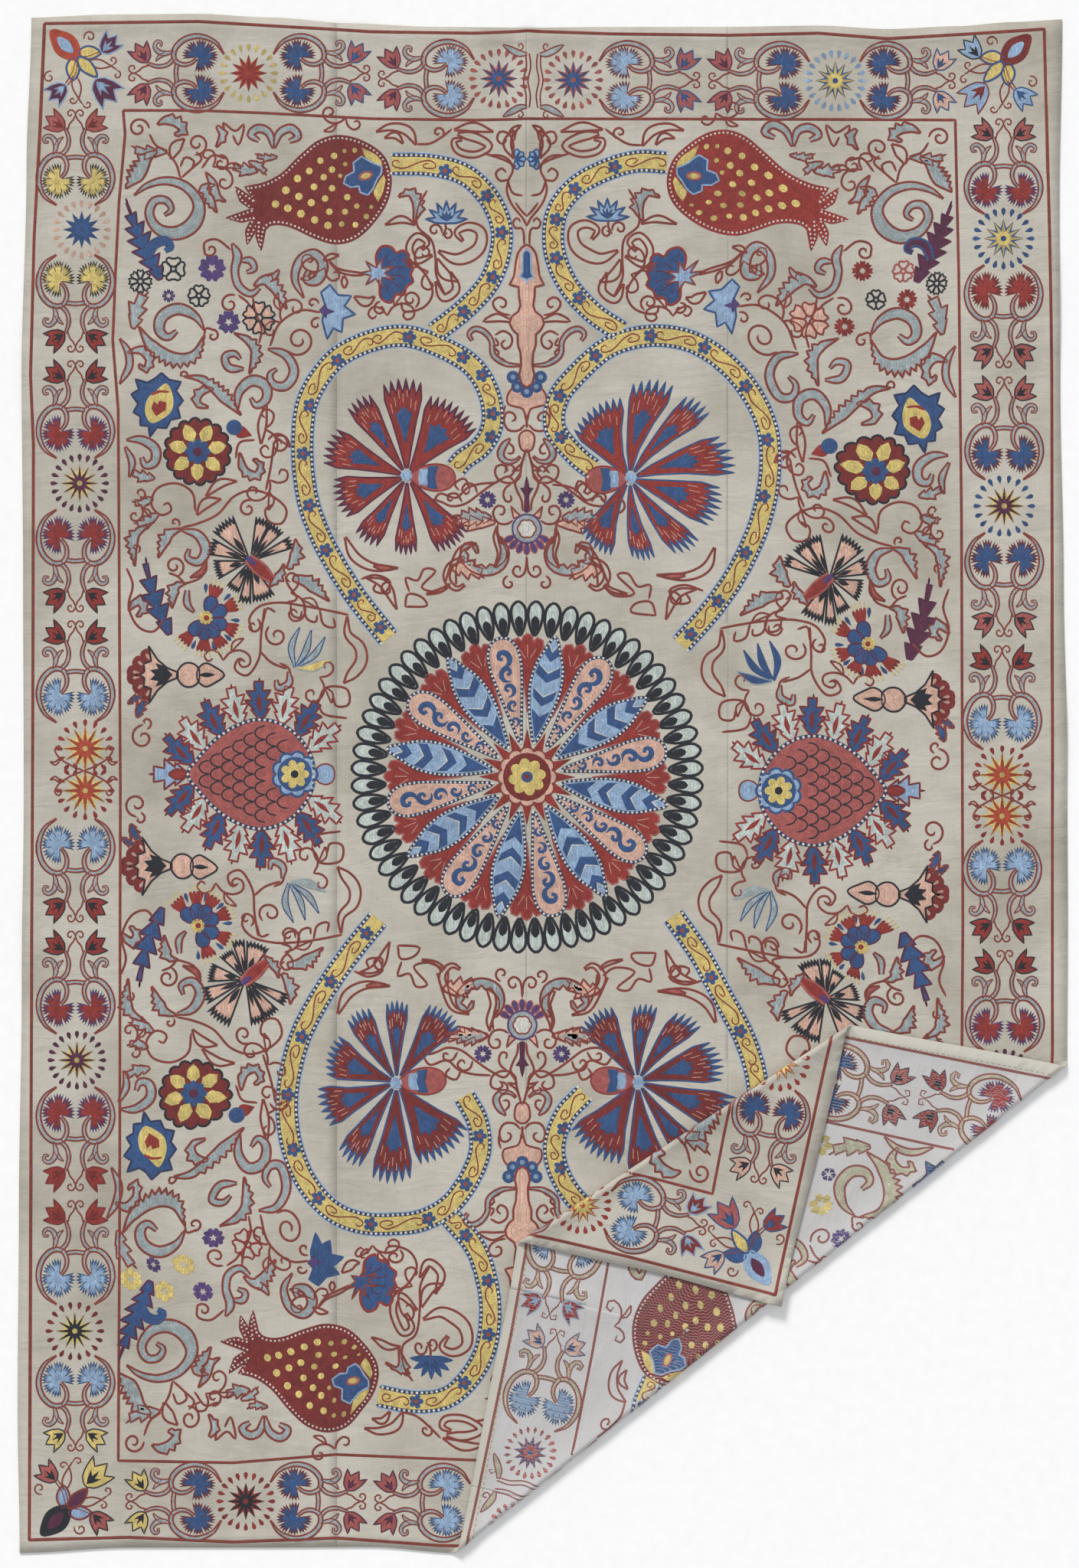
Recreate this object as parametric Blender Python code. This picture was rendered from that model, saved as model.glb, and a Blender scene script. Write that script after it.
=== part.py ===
"""A suzani: a hand-embroidered cotton hanging, laid face up, one corner folded over and its tip folded back.

The cloth is four loom panels sewn edge to edge, with a narrow hem turned to the back all round.
Each panel is drawn flat as a grid, scored along lines parallel to the two folds, and then carried
to its laid place by one function. Metres, +Z up, face up, +Y towards the top of the design.
The origin is on the floor, at the middle of the laid cloth.
"""

import math

import bmesh
import bpy
import numpy as np

# Driving sizes, in metres
CM = 0.01
CLOTH_THICK = 0.0015
HEM_WIDE = 0.019
HEM_EXTRA = 0.0007
HEM_RAMP = 0.002
SEAM_GAP = 0.0003
GRID_STEP = 0.085
NORMAL_STEP = 0.0002

# The middle of the laid cloth's box, in the frame in which the outline is drawn
DRAWN_MIDDLE_X = 0.0
DRAWN_MIDDLE_Y = 0.0075

# The outline of the flat cloth, in centimetres: each edge as (place along the edge, where the edge is)
LEFT_EDGE = ((111.8, -74.2), (90, -74.9), (60, -75.6), (30, -75.4), (0, -75.3), (-30, -75.6),
             (-60, -76.0), (-90, -76.2), (-111, -75.9))
RIGHT_EDGE = ((111.6, 75.3), (85, 74.9), (58, 75.0), (30, 75.5), (5, 76.0), (-20, 76.1),
              (-40, 76.0), (-75, 75.0), (-114.9, 73.1))
TOP_EDGE = ((-76, 111.8), (-62, 112.3), (-50, 112.4), (-40, 111.9), (-28, 111.0), (-15, 110.5),
            (-2.4, 110.4), (12, 110.5), (26, 110.5), (40, 110.7), (50, 110.2), (60, 110.6),
            (68, 111.2), (76, 111.6))
BOTTOM_EDGE = ((-76, -110.9), (-60, -110.1), (-40, -110.1), (-25, -110.0), (-12.3, -110.9),
               (20, -111.8), (50, -113.2), (76, -114.9))
# The three seams that join the four loom panels, as centimetres across
SEAMS = (-29.9, -2.4, 26.8)
PANEL_NAMES = ("panel_left", "panel_inner_left", "panel_inner_right", "panel_right")

# Soft ridges in the laid cloth: start and end in centimetres, height and half-width in metres
RIDGES = (
    {"start": (-2.4, 112.0), "end": (-2.4, 58.0), "high": 0.0050, "half": 0.022},
    {"start": (-76.0, 60.0), "end": (-40.0, 48.0), "high": 0.0030, "half": 0.110},
    {"start": (-76.0, -20.0), "end": (-50.0, -26.0), "high": 0.0025, "half": 0.100},
    {"start": (76.0, 70.0), "end": (48.0, 64.0), "high": 0.0030, "half": 0.110},
    {"start": (76.0, 8.0), "end": (56.0, 4.0), "high": 0.0025, "half": 0.100},
    {"start": (-30.0, 112.0), "end": (-34.0, 96.0), "high": 0.0025, "half": 0.100},
)
FLAP_RIDGE = {"start": (-6.0, -72.3), "end": (29.0, -79.9), "high": 0.0035, "half": 0.036}
SEAM_RIDGE_COLUMNS = (0.0, 0.007, 0.015, 0.023)

# The first fold carries the lower right corner over the face, the second turns its tip back
FOLD_ONE = {"edge_start": (-12.3, -110.5), "edge_end": (76.0, -40.0), "radius": 0.0055,
            "overshoot": math.radians(20), "level": 0.0042}
FOLD_TWO = {"edge_start": (-3.0, -65.4), "edge_end": (42.0, -35.8), "radius": 0.0050,
            "overshoot": math.radians(20), "level": 0.0044}
ROLL_ANGLES = 10
SETTLE_LINES = 4

CLOTH_COLOUR = (0.56, 0.53, 0.46, 1.0)
CLOTH_ROUGHNESS = 0.9


def edge_at(table, along):
    """Where an edge is at each place along it: a smooth step between the table's rows, in metres."""
    rows = np.array(sorted(table), float) * CM
    index = np.clip(np.searchsorted(rows[:, 0], along) - 1, 0, len(rows) - 2)
    share = np.clip((along - rows[index, 0]) / (rows[index + 1, 0] - rows[index, 0]), 0, 1)
    ease = share * share * (3 - 2 * share)
    return rows[index, 1] * (1 - ease) + rows[index + 1, 1] * ease


def fold_frame(fold, turn):
    """The crease line of a fold: a point on it, its direction and the way its roll stands out.

    The roll stands out past the crease by its radius and half the cloth, up to the edge that shows.
    """
    start = np.array(fold["edge_start"]) * CM
    run = np.array(fold["edge_end"]) * CM - start
    along = run / np.linalg.norm(run)
    out = turn * np.array((along[1], -along[0]))
    return start - out * (fold["radius"] + CLOTH_THICK / 2), along, out


def settle_radius(fold):
    """The radius on which a folded layer comes down from its roll to its level."""
    lean = math.cos(fold["overshoot"])
    return (fold["radius"] * (1 + lean) - fold["level"]) / (1 - lean)


def fold_stages(fold):
    """How far along the cloth the roll ends, and where the layer lies level again."""
    roll_end = (math.pi + fold["overshoot"]) * fold["radius"]
    return roll_end, roll_end + fold["overshoot"] * settle_radius(fold)


def fold_profile(past, fold):
    """How far out and how high a point is that lies this far past the crease along the cloth.

    The section is an arc of half a turn and a bit, then a wide arc the other way down to the level.
    """
    radius, lean, wide = fold["radius"], fold["overshoot"], settle_radius(fold)
    roll_end, level_from = fold_stages(fold)
    turned = np.clip(past, 0, roll_end) / radius
    out = np.where(past < 0, past, radius * np.sin(turned))
    high = radius * (1 - np.cos(turned))
    back = math.pi + lean - (np.clip(past, roll_end, level_from) - roll_end) / wide
    out = out - wide * (np.sin(back) - math.sin(math.pi + lean))
    high = high + wide * (np.cos(back) - math.cos(math.pi + lean))
    return out - np.maximum(past - level_from, 0), high


def bulge_at(out, fold):
    """How high the upper layer stands above its level at this distance out from the crease."""
    wide = settle_radius(fold)
    level_out, _ = fold_profile(np.array(fold_stages(fold)[1]), fold)
    rise = np.maximum(out - level_out, 0)
    arc = wide - np.sqrt(wide * wide - np.minimum(rise, wide / 2) ** 2)
    return np.minimum(arc, 2 * fold["radius"] - fold["level"])


def ridge_height(x, y, ridges):
    """Soft ridges in a laid layer: each a cosine bump across its line, fading towards its end."""
    total = np.zeros_like(x)
    for ridge in ridges:
        start, end = np.array(ridge["start"]) * CM, np.array(ridge["end"]) * CM
        run = end - start
        share = np.clip(((x - start[0]) * run[0] + (y - start[1]) * run[1]) / (run @ run), 0, 1)
        away = np.hypot(x - start[0] - share * run[0], y - start[1] - share * run[1])
        bump = 0.5 + 0.5 * np.cos(math.pi * np.minimum(away / ridge["half"], 1))
        total = total + ridge["high"] * bump * (1 - share * share)
    return total


def hem_extra(u, v):
    """The second thickness of the hem: whole within its width of an outer edge, none further in."""
    inside = np.minimum.reduce([
        u - edge_at(LEFT_EDGE, v), edge_at(RIGHT_EDGE, v) - u,
        v - edge_at(BOTTOM_EDGE, u), edge_at(TOP_EDGE, u) - v,
    ])
    return HEM_EXTRA * (1 - np.clip((inside - HEM_WIDE) / HEM_RAMP, 0, 1))


def laid_middle(u, v):
    """The middle of the cloth's thickness at a point of the flat cloth, once it is laid and folded."""
    base, along, out = fold_frame(FOLD_ONE, 1)
    past = (u - base[0]) * out[0] + (v - base[1]) * out[1]
    run = (u - base[0]) * along[0] + (v - base[1]) * along[1]
    far, high = fold_profile(past, FOLD_ONE)
    x = base[0] + run * along[0] + far * out[0]
    y = base[1] + run * along[1] + far * out[1]
    ground = 1 - np.clip(past / fold_stages(FOLD_ONE)[1], 0, 1)
    flap = past > fold_stages(FOLD_ONE)[1]
    ridges = np.where(past < 0, ridge_height(x, y, RIDGES), flap * ridge_height(x, y, (FLAP_RIDGE,)))
    z = CLOTH_THICK / 2 + high + hem_extra(u, v) * ground + ridges

    base_two, along_two, out_two = fold_frame(FOLD_TWO, -1)
    past_two = (x - base_two[0]) * out_two[0] + (y - base_two[1]) * out_two[1]
    run_two = (x - base_two[0]) * along_two[0] + (y - base_two[1]) * along_two[1]
    far_two, high_two = fold_profile(past_two, FOLD_TWO)
    x_two = base_two[0] + run_two * along_two[0] + far_two * out_two[0]
    y_two = base_two[1] + run_two * along_two[1] + far_two * out_two[1]
    over = (x_two - base[0]) * out[0] + (y_two - base[1]) * out[1]
    tip = flap & (past_two > 0)
    z = np.where(tip, z + high_two + bulge_at(over, FOLD_ONE), z)
    x, y = np.where(tip, x_two, x), np.where(tip, y_two, y)
    return np.stack([x - DRAWN_MIDDLE_X, y - DRAWN_MIDDLE_Y, z], axis=-1)


def laid_faces(u, v):
    """The cloth's front and back at each flat point: half the thickness along the normal each way."""
    middle = laid_middle(u, v)
    across = laid_middle(u + NORMAL_STEP, v) - laid_middle(u - NORMAL_STEP, v)
    upward = laid_middle(u, v + NORMAL_STEP) - laid_middle(u, v - NORMAL_STEP)
    normal = np.cross(across, upward)
    normal /= np.linalg.norm(normal, axis=-1, keepdims=True)
    half = CLOTH_THICK / 2
    front = middle + normal * half
    back = middle - normal * (half + hem_extra(u, v))[..., None]
    return front, back


def panel_sides(index, v):
    """The left and right sides of one loom panel at each height, half a seam gap in from a seam."""
    half_gap = SEAM_GAP / 2
    left = edge_at(LEFT_EDGE, v) if index == 0 else np.full_like(v, SEAMS[index - 1] * CM + half_gap)
    last = index == len(SEAMS)
    right = edge_at(RIGHT_EDGE, v) if last else np.full_like(v, SEAMS[index] * CM - half_gap)
    return left, right


def spaced(width, near_start, near_end):
    """Distances across a width: the given ones in from each side, and even steps between them."""
    first, last = near_start[-1], width - near_end[-1]
    count = max(2, math.ceil((last - first) / GRID_STEP))
    between = np.linspace(first, last, count + 1)[1:-1]
    return np.array([*near_start, *between, *(width - np.array(near_end[::-1]))])


def panel_grid(index):
    """The flat grid of one panel as arrays of u and v, with lines along its hems and its seam ridge."""
    hem = (0.0, HEM_WIDE, HEM_WIDE + HEM_RAMP)
    ridge_at_left, ridge_at_right = index == 2, index == 1
    left_lines = hem if index == 0 else SEAM_RIDGE_COLUMNS if ridge_at_left else (0.0,)
    right_lines = hem if index == len(SEAMS) else SEAM_RIDGE_COLUMNS if ridge_at_right else (0.0,)
    middle_left, middle_right = panel_sides(index, np.zeros(1))
    width = float(middle_right[0] - middle_left[0])
    shares = spaced(width, left_lines, right_lines) / width
    height = 2.22
    rows = spaced(height, hem, hem) / height
    across, upward = np.meshgrid(shares, rows)
    u = middle_left[0] + across * width
    for _ in range(3):
        low, top = edge_at(BOTTOM_EDGE, u), edge_at(TOP_EDGE, u)
        v = low + upward * (top - low)
        left, right = panel_sides(index, v)
        u = left + across * (right - left)
    return u, v


def flat_panel(index):
    """One panel as a flat bmesh, its grid scored along the lines on which the folds bend it."""
    u, v = panel_grid(index)
    rows, columns = u.shape
    flat = bmesh.new()
    points = [flat.verts.new((x, y, 0.0)) for x, y in zip(u.ravel(), v.ravel())]
    for row in range(rows - 1):
        for column in range(columns - 1):
            corner = row * columns + column
            ring = (corner, corner + 1, corner + columns + 1, corner + columns)
            flat.faces.new([points[i] for i in ring])
    for place, direction in score_lines():
        bmesh.ops.bisect_plane(
            flat, geom=flat.verts[:] + flat.edges[:] + flat.faces[:], dist=1e-6,
            plane_co=(*place, 0.0), plane_no=(*direction, 0.0),
        )
    bmesh.ops.remove_doubles(flat, verts=flat.verts[:], dist=2e-5)
    bmesh.ops.triangulate(flat, faces=flat.faces[:])
    return flat


def bend_places(fold):
    """Distances past the crease at which the section is scored: even turns, then even settling."""
    roll_end, level_from = fold_stages(fold)
    return [*np.linspace(0, roll_end, ROLL_ANGLES), *np.linspace(roll_end, level_from, SETTLE_LINES)[1:]]


def score_lines():
    """Points and directions, in the flat cloth, of every line on which the cloth bends."""
    base, along, out = fold_frame(FOLD_ONE, 1)
    lines = [(base + out * past, out) for past in bend_places(FOLD_ONE)]
    base_two, _, out_two = fold_frame(FOLD_TWO, -1)
    lift_from = float(fold_profile(np.array(fold_stages(FOLD_ONE)[1]), FOLD_ONE)[0])
    spent = fold_stages(FOLD_ONE)[1] + lift_from

    def unfold_one(point, direction):
        """Carries a line of the level flap back to the flat cloth, mirrored and past the roll."""
        away = (point - base) @ out
        return point + out * (spent - 2 * away), direction - 2 * (direction @ out) * out

    for past in bend_places(FOLD_TWO):
        lines.append(unfold_one(base_two + out_two * past, out_two))
    ridge_start, ridge_end = (np.array(FLAP_RIDGE[end]) * CM for end in ("start", "end"))
    ridge_run = (ridge_end - ridge_start) / np.linalg.norm(ridge_end - ridge_start)
    ridge_side = np.array((-ridge_run[1], ridge_run[0]))
    for share in (-1.0, -0.5, 0.0, 0.5, 1.0):
        lines.append(unfold_one(ridge_start + ridge_side * share * FLAP_RIDGE["half"], ridge_side))
    level_two = fold_stages(FOLD_TWO)[1]
    far_two = float(fold_profile(np.array(level_two), FOLD_TWO)[0])
    for rise in np.linspace(0, 1, 4):
        place = base + out * (lift_from + rise * (FOLD_ONE["radius"] - lift_from))
        away = (place - base_two) @ out_two
        mirrored = place + out_two * (-2 * away + level_two + far_two)
        turned = out - 2 * (out @ out_two) * out_two
        lines.append(unfold_one(mirrored, turned))
    return lines


def cloth_material(name):
    """Undyed cotton, dulled by use, as one Principled surface."""
    material = bpy.data.materials.new(name + "_cotton")
    material.use_nodes = True
    surface = material.node_tree.nodes["Principled BSDF"]
    surface.inputs["Base Color"].default_value = CLOTH_COLOUR
    surface.inputs["Roughness"].default_value = CLOTH_ROUGHNESS
    surface.inputs["Metallic"].default_value = 0.0
    return material


def solid_panel(index):
    """One laid panel as a closed solid: its front, its back and the walls round its rim."""
    flat = flat_panel(index)
    flat.verts.ensure_lookup_table()
    flat.verts.index_update()
    flat_at = np.array([vert.co[:2] for vert in flat.verts])
    front, back = laid_faces(flat_at[:, 0], flat_at[:, 1])
    solid = bmesh.new()
    front_verts = [solid.verts.new(point) for point in front]
    back_verts = [solid.verts.new(point) for point in back]
    for face in flat.faces:
        ring = [vert.index for vert in face.verts]
        if face.normal.z < 0:
            ring.reverse()
        solid.faces.new([front_verts[i] for i in ring])
        solid.faces.new([back_verts[i] for i in reversed(ring)])
    for edge in flat.edges:
        if edge.is_boundary:
            face = edge.link_faces[0]
            loop = next(loop for loop in face.loops if loop.edge == edge)
            first, second = loop.vert.index, loop.link_loop_next.vert.index
            if face.normal.z < 0:
                first, second = second, first
            solid.faces.new([front_verts[second], front_verts[first], back_verts[first], back_verts[second]])
    bmesh.ops.triangulate(solid, faces=solid.faces[:])
    mesh = bpy.data.meshes.new(PANEL_NAMES[index])
    solid.to_mesh(mesh)
    solid.free()
    flat.free()
    mesh.materials.append(cloth_material(PANEL_NAMES[index]))
    panel = bpy.data.objects.new(PANEL_NAMES[index], mesh)
    bpy.context.scene.collection.objects.link(panel)
    return panel


def main():
    """Clears the scene and builds the four panels."""
    for thing in list(bpy.data.objects):
        bpy.data.objects.remove(thing)
    for index in range(len(PANEL_NAMES)):
        solid_panel(index)


main()
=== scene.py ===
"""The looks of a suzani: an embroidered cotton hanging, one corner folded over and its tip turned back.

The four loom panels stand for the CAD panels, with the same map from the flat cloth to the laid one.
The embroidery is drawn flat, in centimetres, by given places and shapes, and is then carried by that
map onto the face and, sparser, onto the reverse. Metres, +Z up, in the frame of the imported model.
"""

import logging
import math
from collections.abc import Callable, Sequence
from dataclasses import dataclass, field, replace
from enum import Enum

import bmesh
import bpy
import numpy as np
from mathutils.geometry import delaunay_2d_cdt
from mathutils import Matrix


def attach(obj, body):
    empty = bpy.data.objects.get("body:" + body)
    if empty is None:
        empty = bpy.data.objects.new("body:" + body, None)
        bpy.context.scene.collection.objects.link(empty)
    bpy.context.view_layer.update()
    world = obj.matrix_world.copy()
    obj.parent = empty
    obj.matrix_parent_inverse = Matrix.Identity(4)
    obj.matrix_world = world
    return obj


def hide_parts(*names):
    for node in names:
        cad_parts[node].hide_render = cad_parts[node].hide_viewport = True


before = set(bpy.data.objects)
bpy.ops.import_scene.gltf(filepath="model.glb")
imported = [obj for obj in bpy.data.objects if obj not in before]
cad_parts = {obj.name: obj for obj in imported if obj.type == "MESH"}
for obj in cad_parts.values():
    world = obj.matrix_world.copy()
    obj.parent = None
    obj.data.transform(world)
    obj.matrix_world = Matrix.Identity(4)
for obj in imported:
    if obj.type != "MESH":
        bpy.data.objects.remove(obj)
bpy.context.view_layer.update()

CM = 0.01
LOG = logging.getLogger("suzani")
Points = Sequence[tuple[float, float]]


class Side(Enum):
    """A side of the cloth: which way its surface faces from the middle of the thickness."""

    FACE = 1
    REVERSE = -1


@dataclass(frozen=True)
class Fold:
    """One fold: the edge that shows, in centimetres, and the shape of its roll, in metres and radians."""

    edge_start: tuple[float, float]
    edge_end: tuple[float, float]
    radius: float
    level: float
    turn: int
    overshoot: float = math.radians(20)

    def crease(self, half_thick: float) -> tuple[np.ndarray, np.ndarray, np.ndarray]:
        """The crease line: a point on it, its direction and the way its roll stands out.

        Args:
            half_thick: half the cloth's thickness.

        Returns:
            The base point, the unit direction along and the unit direction out.
        """
        start = np.array(self.edge_start) * CM
        run = np.array(self.edge_end) * CM - start
        along = run / np.linalg.norm(run)
        out = self.turn * np.array((along[1], -along[0]))
        return start - out * (self.radius + half_thick), along, out

    @property
    def wide(self) -> float:
        """The radius on which the folded layer comes down from its roll to its level."""
        lean = math.cos(self.overshoot)
        return (self.radius * (1 + lean) - self.level) / (1 - lean)

    @property
    def stages(self) -> tuple[float, float]:
        """How far along the cloth the roll ends, and where the layer lies level again."""
        roll_end = (math.pi + self.overshoot) * self.radius
        return roll_end, roll_end + self.overshoot * self.wide

    def profile(self, past: np.ndarray) -> tuple[np.ndarray, np.ndarray]:
        """How far out and how high points are: an arc of over half a turn, then a wide arc back to level.

        Args:
            past: distances past the crease along the cloth.

        Returns:
            The distances out and the heights.
        """
        roll_end, level_from = self.stages
        turned = np.clip(past, 0, roll_end) / self.radius
        out = np.where(past < 0, past, self.radius * np.sin(turned))
        high = self.radius * (1 - np.cos(turned))
        last = math.pi + self.overshoot
        back = last - (np.clip(past, roll_end, level_from) - roll_end) / self.wide
        out = out - self.wide * (np.sin(back) - math.sin(last))
        high = high + self.wide * (np.cos(back) - math.cos(last))
        return out - np.maximum(past - level_from, 0), high

    def bulge(self, out: np.ndarray) -> np.ndarray:
        """How high the upper layer stands above its level at these distances out from the crease."""
        level_out, _ = self.profile(np.array(self.stages[1]))
        rise = np.maximum(out - level_out, 0)
        arc = self.wide - np.sqrt(self.wide * self.wide - np.minimum(rise, self.wide / 2) ** 2)
        return np.minimum(arc, 2 * self.radius - self.level)


@dataclass(frozen=True)
class Ridge:
    """A soft ridge in a laid layer: its line in centimetres, its height and half-width in metres."""

    start: tuple[float, float]
    end: tuple[float, float]
    high: float
    half: float

    def height(self, x: np.ndarray, y: np.ndarray) -> np.ndarray:
        """The height at each place: a cosine bump across the line, fading towards the line's end."""
        start, end = np.array(self.start) * CM, np.array(self.end) * CM
        run = end - start
        share = np.clip(((x - start[0]) * run[0] + (y - start[1]) * run[1]) / (run @ run), 0, 1)
        away = np.hypot(x - start[0] - share * run[0], y - start[1] - share * run[1])
        near = np.minimum(away / self.half, 1)
        return self.high * (0.5 + 0.5 * np.cos(math.pi * near)) * (1 - share * share)


@dataclass(frozen=True)
class Cloth:
    """The whole cloth: its outline, seams, hem, folds and ridges, and the map from flat to laid."""

    thick: float = 0.0015
    hem_wide: float = 0.019
    hem_extra: float = 0.0007
    hem_ramp: float = 0.002
    seam_gap: float = 0.0001
    middle: tuple[float, float] = (0.0, 0.0075)
    left_edge: Points = (
        (111.8, -74.2), (90, -74.9), (60, -75.6), (30, -75.4), (0, -75.3), (-30, -75.6), (-60, -76.0),
        (-90, -76.2), (-111, -75.9),
    )
    right_edge: Points = (
        (111.6, 75.3), (85, 74.9), (58, 75.0), (30, 75.5), (5, 76.0), (-20, 76.1), (-40, 76.0), (-75, 75.0),
        (-114.9, 73.1),
    )
    top_edge: Points = (
        (-76, 111.8), (-62, 112.3), (-50, 112.4), (-40, 111.9), (-28, 111.0), (-15, 110.5), (-2.4, 110.4),
        (12, 110.5), (26, 110.5), (40, 110.7), (50, 110.2), (60, 110.6), (68, 111.2), (76, 111.6),
    )
    bottom_edge: Points = (
        (-76, -110.9), (-60, -110.1), (-40, -110.1), (-25, -110.0), (-12.3, -110.9), (20, -111.8),
        (50, -113.2), (76, -114.9),
    )
    seams: tuple[float, ...] = (-29.9, -2.4, 26.8)
    panels: tuple[str, ...] = ("panel_left", "panel_inner_left", "panel_inner_right", "panel_right")
    ridges: tuple[Ridge, ...] = (
        Ridge((-2.4, 112.0), (-2.4, 58.0), 0.0050, 0.022),
        Ridge((-76.0, 60.0), (-40.0, 48.0), 0.0030, 0.110),
        Ridge((-76.0, -20.0), (-50.0, -26.0), 0.0025, 0.100),
        Ridge((76.0, 70.0), (48.0, 64.0), 0.0030, 0.110),
        Ridge((76.0, 8.0), (56.0, 4.0), 0.0025, 0.100),
        Ridge((-30.0, 112.0), (-34.0, 96.0), 0.0025, 0.100),
    )
    flap_ridge: Ridge = Ridge((-6.0, -72.3), (29.0, -79.9), 0.0035, 0.036)
    first: Fold = Fold((-12.3, -110.5), (76.0, -40.0), 0.0055, 0.0042, 1)
    second: Fold = Fold((-3.0, -65.4), (42.0, -35.8), 0.0050, 0.0044, -1)
    normal_step: float = 0.0002
    near_roll: float = 0.004

    def edge_at(self, table: Points, along: np.ndarray) -> np.ndarray:
        """Where an edge is at each place along it: a smooth step between the table's rows, in metres."""
        rows = np.array(sorted(table), float) * CM
        index = np.clip(np.searchsorted(rows[:, 0], along) - 1, 0, len(rows) - 2)
        share = np.clip((along - rows[index, 0]) / (rows[index + 1, 0] - rows[index, 0]), 0, 1)
        ease = share * share * (3 - 2 * share)
        return rows[index, 1] * (1 - ease) + rows[index + 1, 1] * ease

    def inside(self, u: np.ndarray, v: np.ndarray) -> np.ndarray:
        """How far in from the nearest edge each flat point is."""
        return np.minimum.reduce([
            u - self.edge_at(self.left_edge, v), self.edge_at(self.right_edge, v) - u,
            v - self.edge_at(self.bottom_edge, u), self.edge_at(self.top_edge, u) - v,
        ])

    def hem(self, u: np.ndarray, v: np.ndarray) -> np.ndarray:
        """The second thickness of the hem: whole within its width of an outer edge, none further in."""
        return self.hem_extra * (1 - np.clip((self.inside(u, v) - self.hem_wide) / self.hem_ramp, 0, 1))

    def past_folds(self, u: np.ndarray, v: np.ndarray) -> tuple[np.ndarray, np.ndarray]:
        """How far past each crease, along the cloth, flat points lie.

        Args:
            u: places across, in metres.
            v: places up, in metres.

        Returns:
            The distances past the first crease, and past the second where the point is on the flap.
        """
        base, along, out = self.first.crease(self.thick / 2)
        past = (u - base[0]) * out[0] + (v - base[1]) * out[1]
        run = (u - base[0]) * along[0] + (v - base[1]) * along[1]
        far, _ = self.first.profile(past)
        x = base[0] + run * along[0] + far * out[0]
        y = base[1] + run * along[1] + far * out[1]
        base_two, _, out_two = self.second.crease(self.thick / 2)
        past_two = (x - base_two[0]) * out_two[0] + (y - base_two[1]) * out_two[1]
        return past, np.where(past > self.first.stages[1], past_two, -1.0)

    def laid(self, u: np.ndarray, v: np.ndarray) -> np.ndarray:
        """The middle of the cloth's thickness once it is laid: rolled over the first crease, then the second.

        Args:
            u: places across, in metres.
            v: places up, in metres.

        Returns:
            The laid points.
        """
        first, second = self.first, self.second
        base, along, out = first.crease(self.thick / 2)
        past = (u - base[0]) * out[0] + (v - base[1]) * out[1]
        run = (u - base[0]) * along[0] + (v - base[1]) * along[1]
        far, high = first.profile(past)
        x = base[0] + run * along[0] + far * out[0]
        y = base[1] + run * along[1] + far * out[1]
        ground = 1 - np.clip(past / first.stages[1], 0, 1)
        flap = past > first.stages[1]
        lying = sum(ridge.height(x, y) for ridge in self.ridges)
        soft = np.where(past < 0, lying, flap * self.flap_ridge.height(x, y))
        z = self.thick / 2 + high + self.hem(u, v) * ground + soft
        base_two, along_two, out_two = second.crease(self.thick / 2)
        past_two = (x - base_two[0]) * out_two[0] + (y - base_two[1]) * out_two[1]
        run_two = (x - base_two[0]) * along_two[0] + (y - base_two[1]) * along_two[1]
        far_two, high_two = second.profile(past_two)
        x_two = base_two[0] + run_two * along_two[0] + far_two * out_two[0]
        y_two = base_two[1] + run_two * along_two[1] + far_two * out_two[1]
        over = (x_two - base[0]) * out[0] + (y_two - base[1]) * out[1]
        tip = flap & (past_two > 0)
        z = np.where(tip, z + high_two + first.bulge(over), z)
        x, y = np.where(tip, x_two, x), np.where(tip, y_two, y)
        return np.stack([x - self.middle[0], y - self.middle[1], z], axis=-1)

    def surface(self, flat: np.ndarray, lift: np.ndarray | float, side: Side) -> np.ndarray:
        """Points on one side of the laid cloth, lifted off it along its normal.

        Args:
            flat: flat places in metres, one a row.
            lift: how far off the cloth, in metres.
            side: the side of the cloth.

        Returns:
            The laid points.
        """
        u, v = flat[:, 0], flat[:, 1]
        step = self.normal_step
        across = self.laid(u + step, v) - self.laid(u - step, v)
        upward = self.laid(u, v + step) - self.laid(u, v - step)
        normal = np.cross(across, upward)
        normal /= np.linalg.norm(normal, axis=-1, keepdims=True)
        extra = self.hem(u, v) if side is Side.REVERSE else np.zeros_like(u)
        return self.laid(u, v) + side.value * normal * (self.thick / 2 + extra + lift)[:, None]

    def bends(self, flat: np.ndarray) -> bool:
        """Whether any of these flat places, in metres, lies where the cloth rolls over."""
        past, past_two = self.past_folds(flat[:, 0], flat[:, 1])
        near = self.near_roll
        rolls = (past > -near) & (past < self.first.stages[1] + near)
        rolls_two = (past_two > -near) & (past_two < self.second.stages[1] + near)
        return bool((rolls | rolls_two).any())

    def score_lines(self) -> list[tuple[np.ndarray, np.ndarray]]:
        """A point and a normal, in the flat cloth, of every line on which the cloth bends."""
        base, _, out = self.first.crease(self.thick / 2)
        base_two, _, out_two = self.second.crease(self.thick / 2)
        lines = [(base + out * past, out) for past in bend_places(self.first)]
        lift_from = float(self.first.profile(np.array(self.first.stages[1]))[0])
        spent = self.first.stages[1] + lift_from

        def unfold(point: np.ndarray, direction: np.ndarray) -> tuple[np.ndarray, np.ndarray]:
            """Carries a line of the level flap back to the flat cloth, mirrored and past the roll."""
            away = (point - base) @ out
            return point + out * (spent - 2 * away), direction - 2 * (direction @ out) * out

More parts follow.
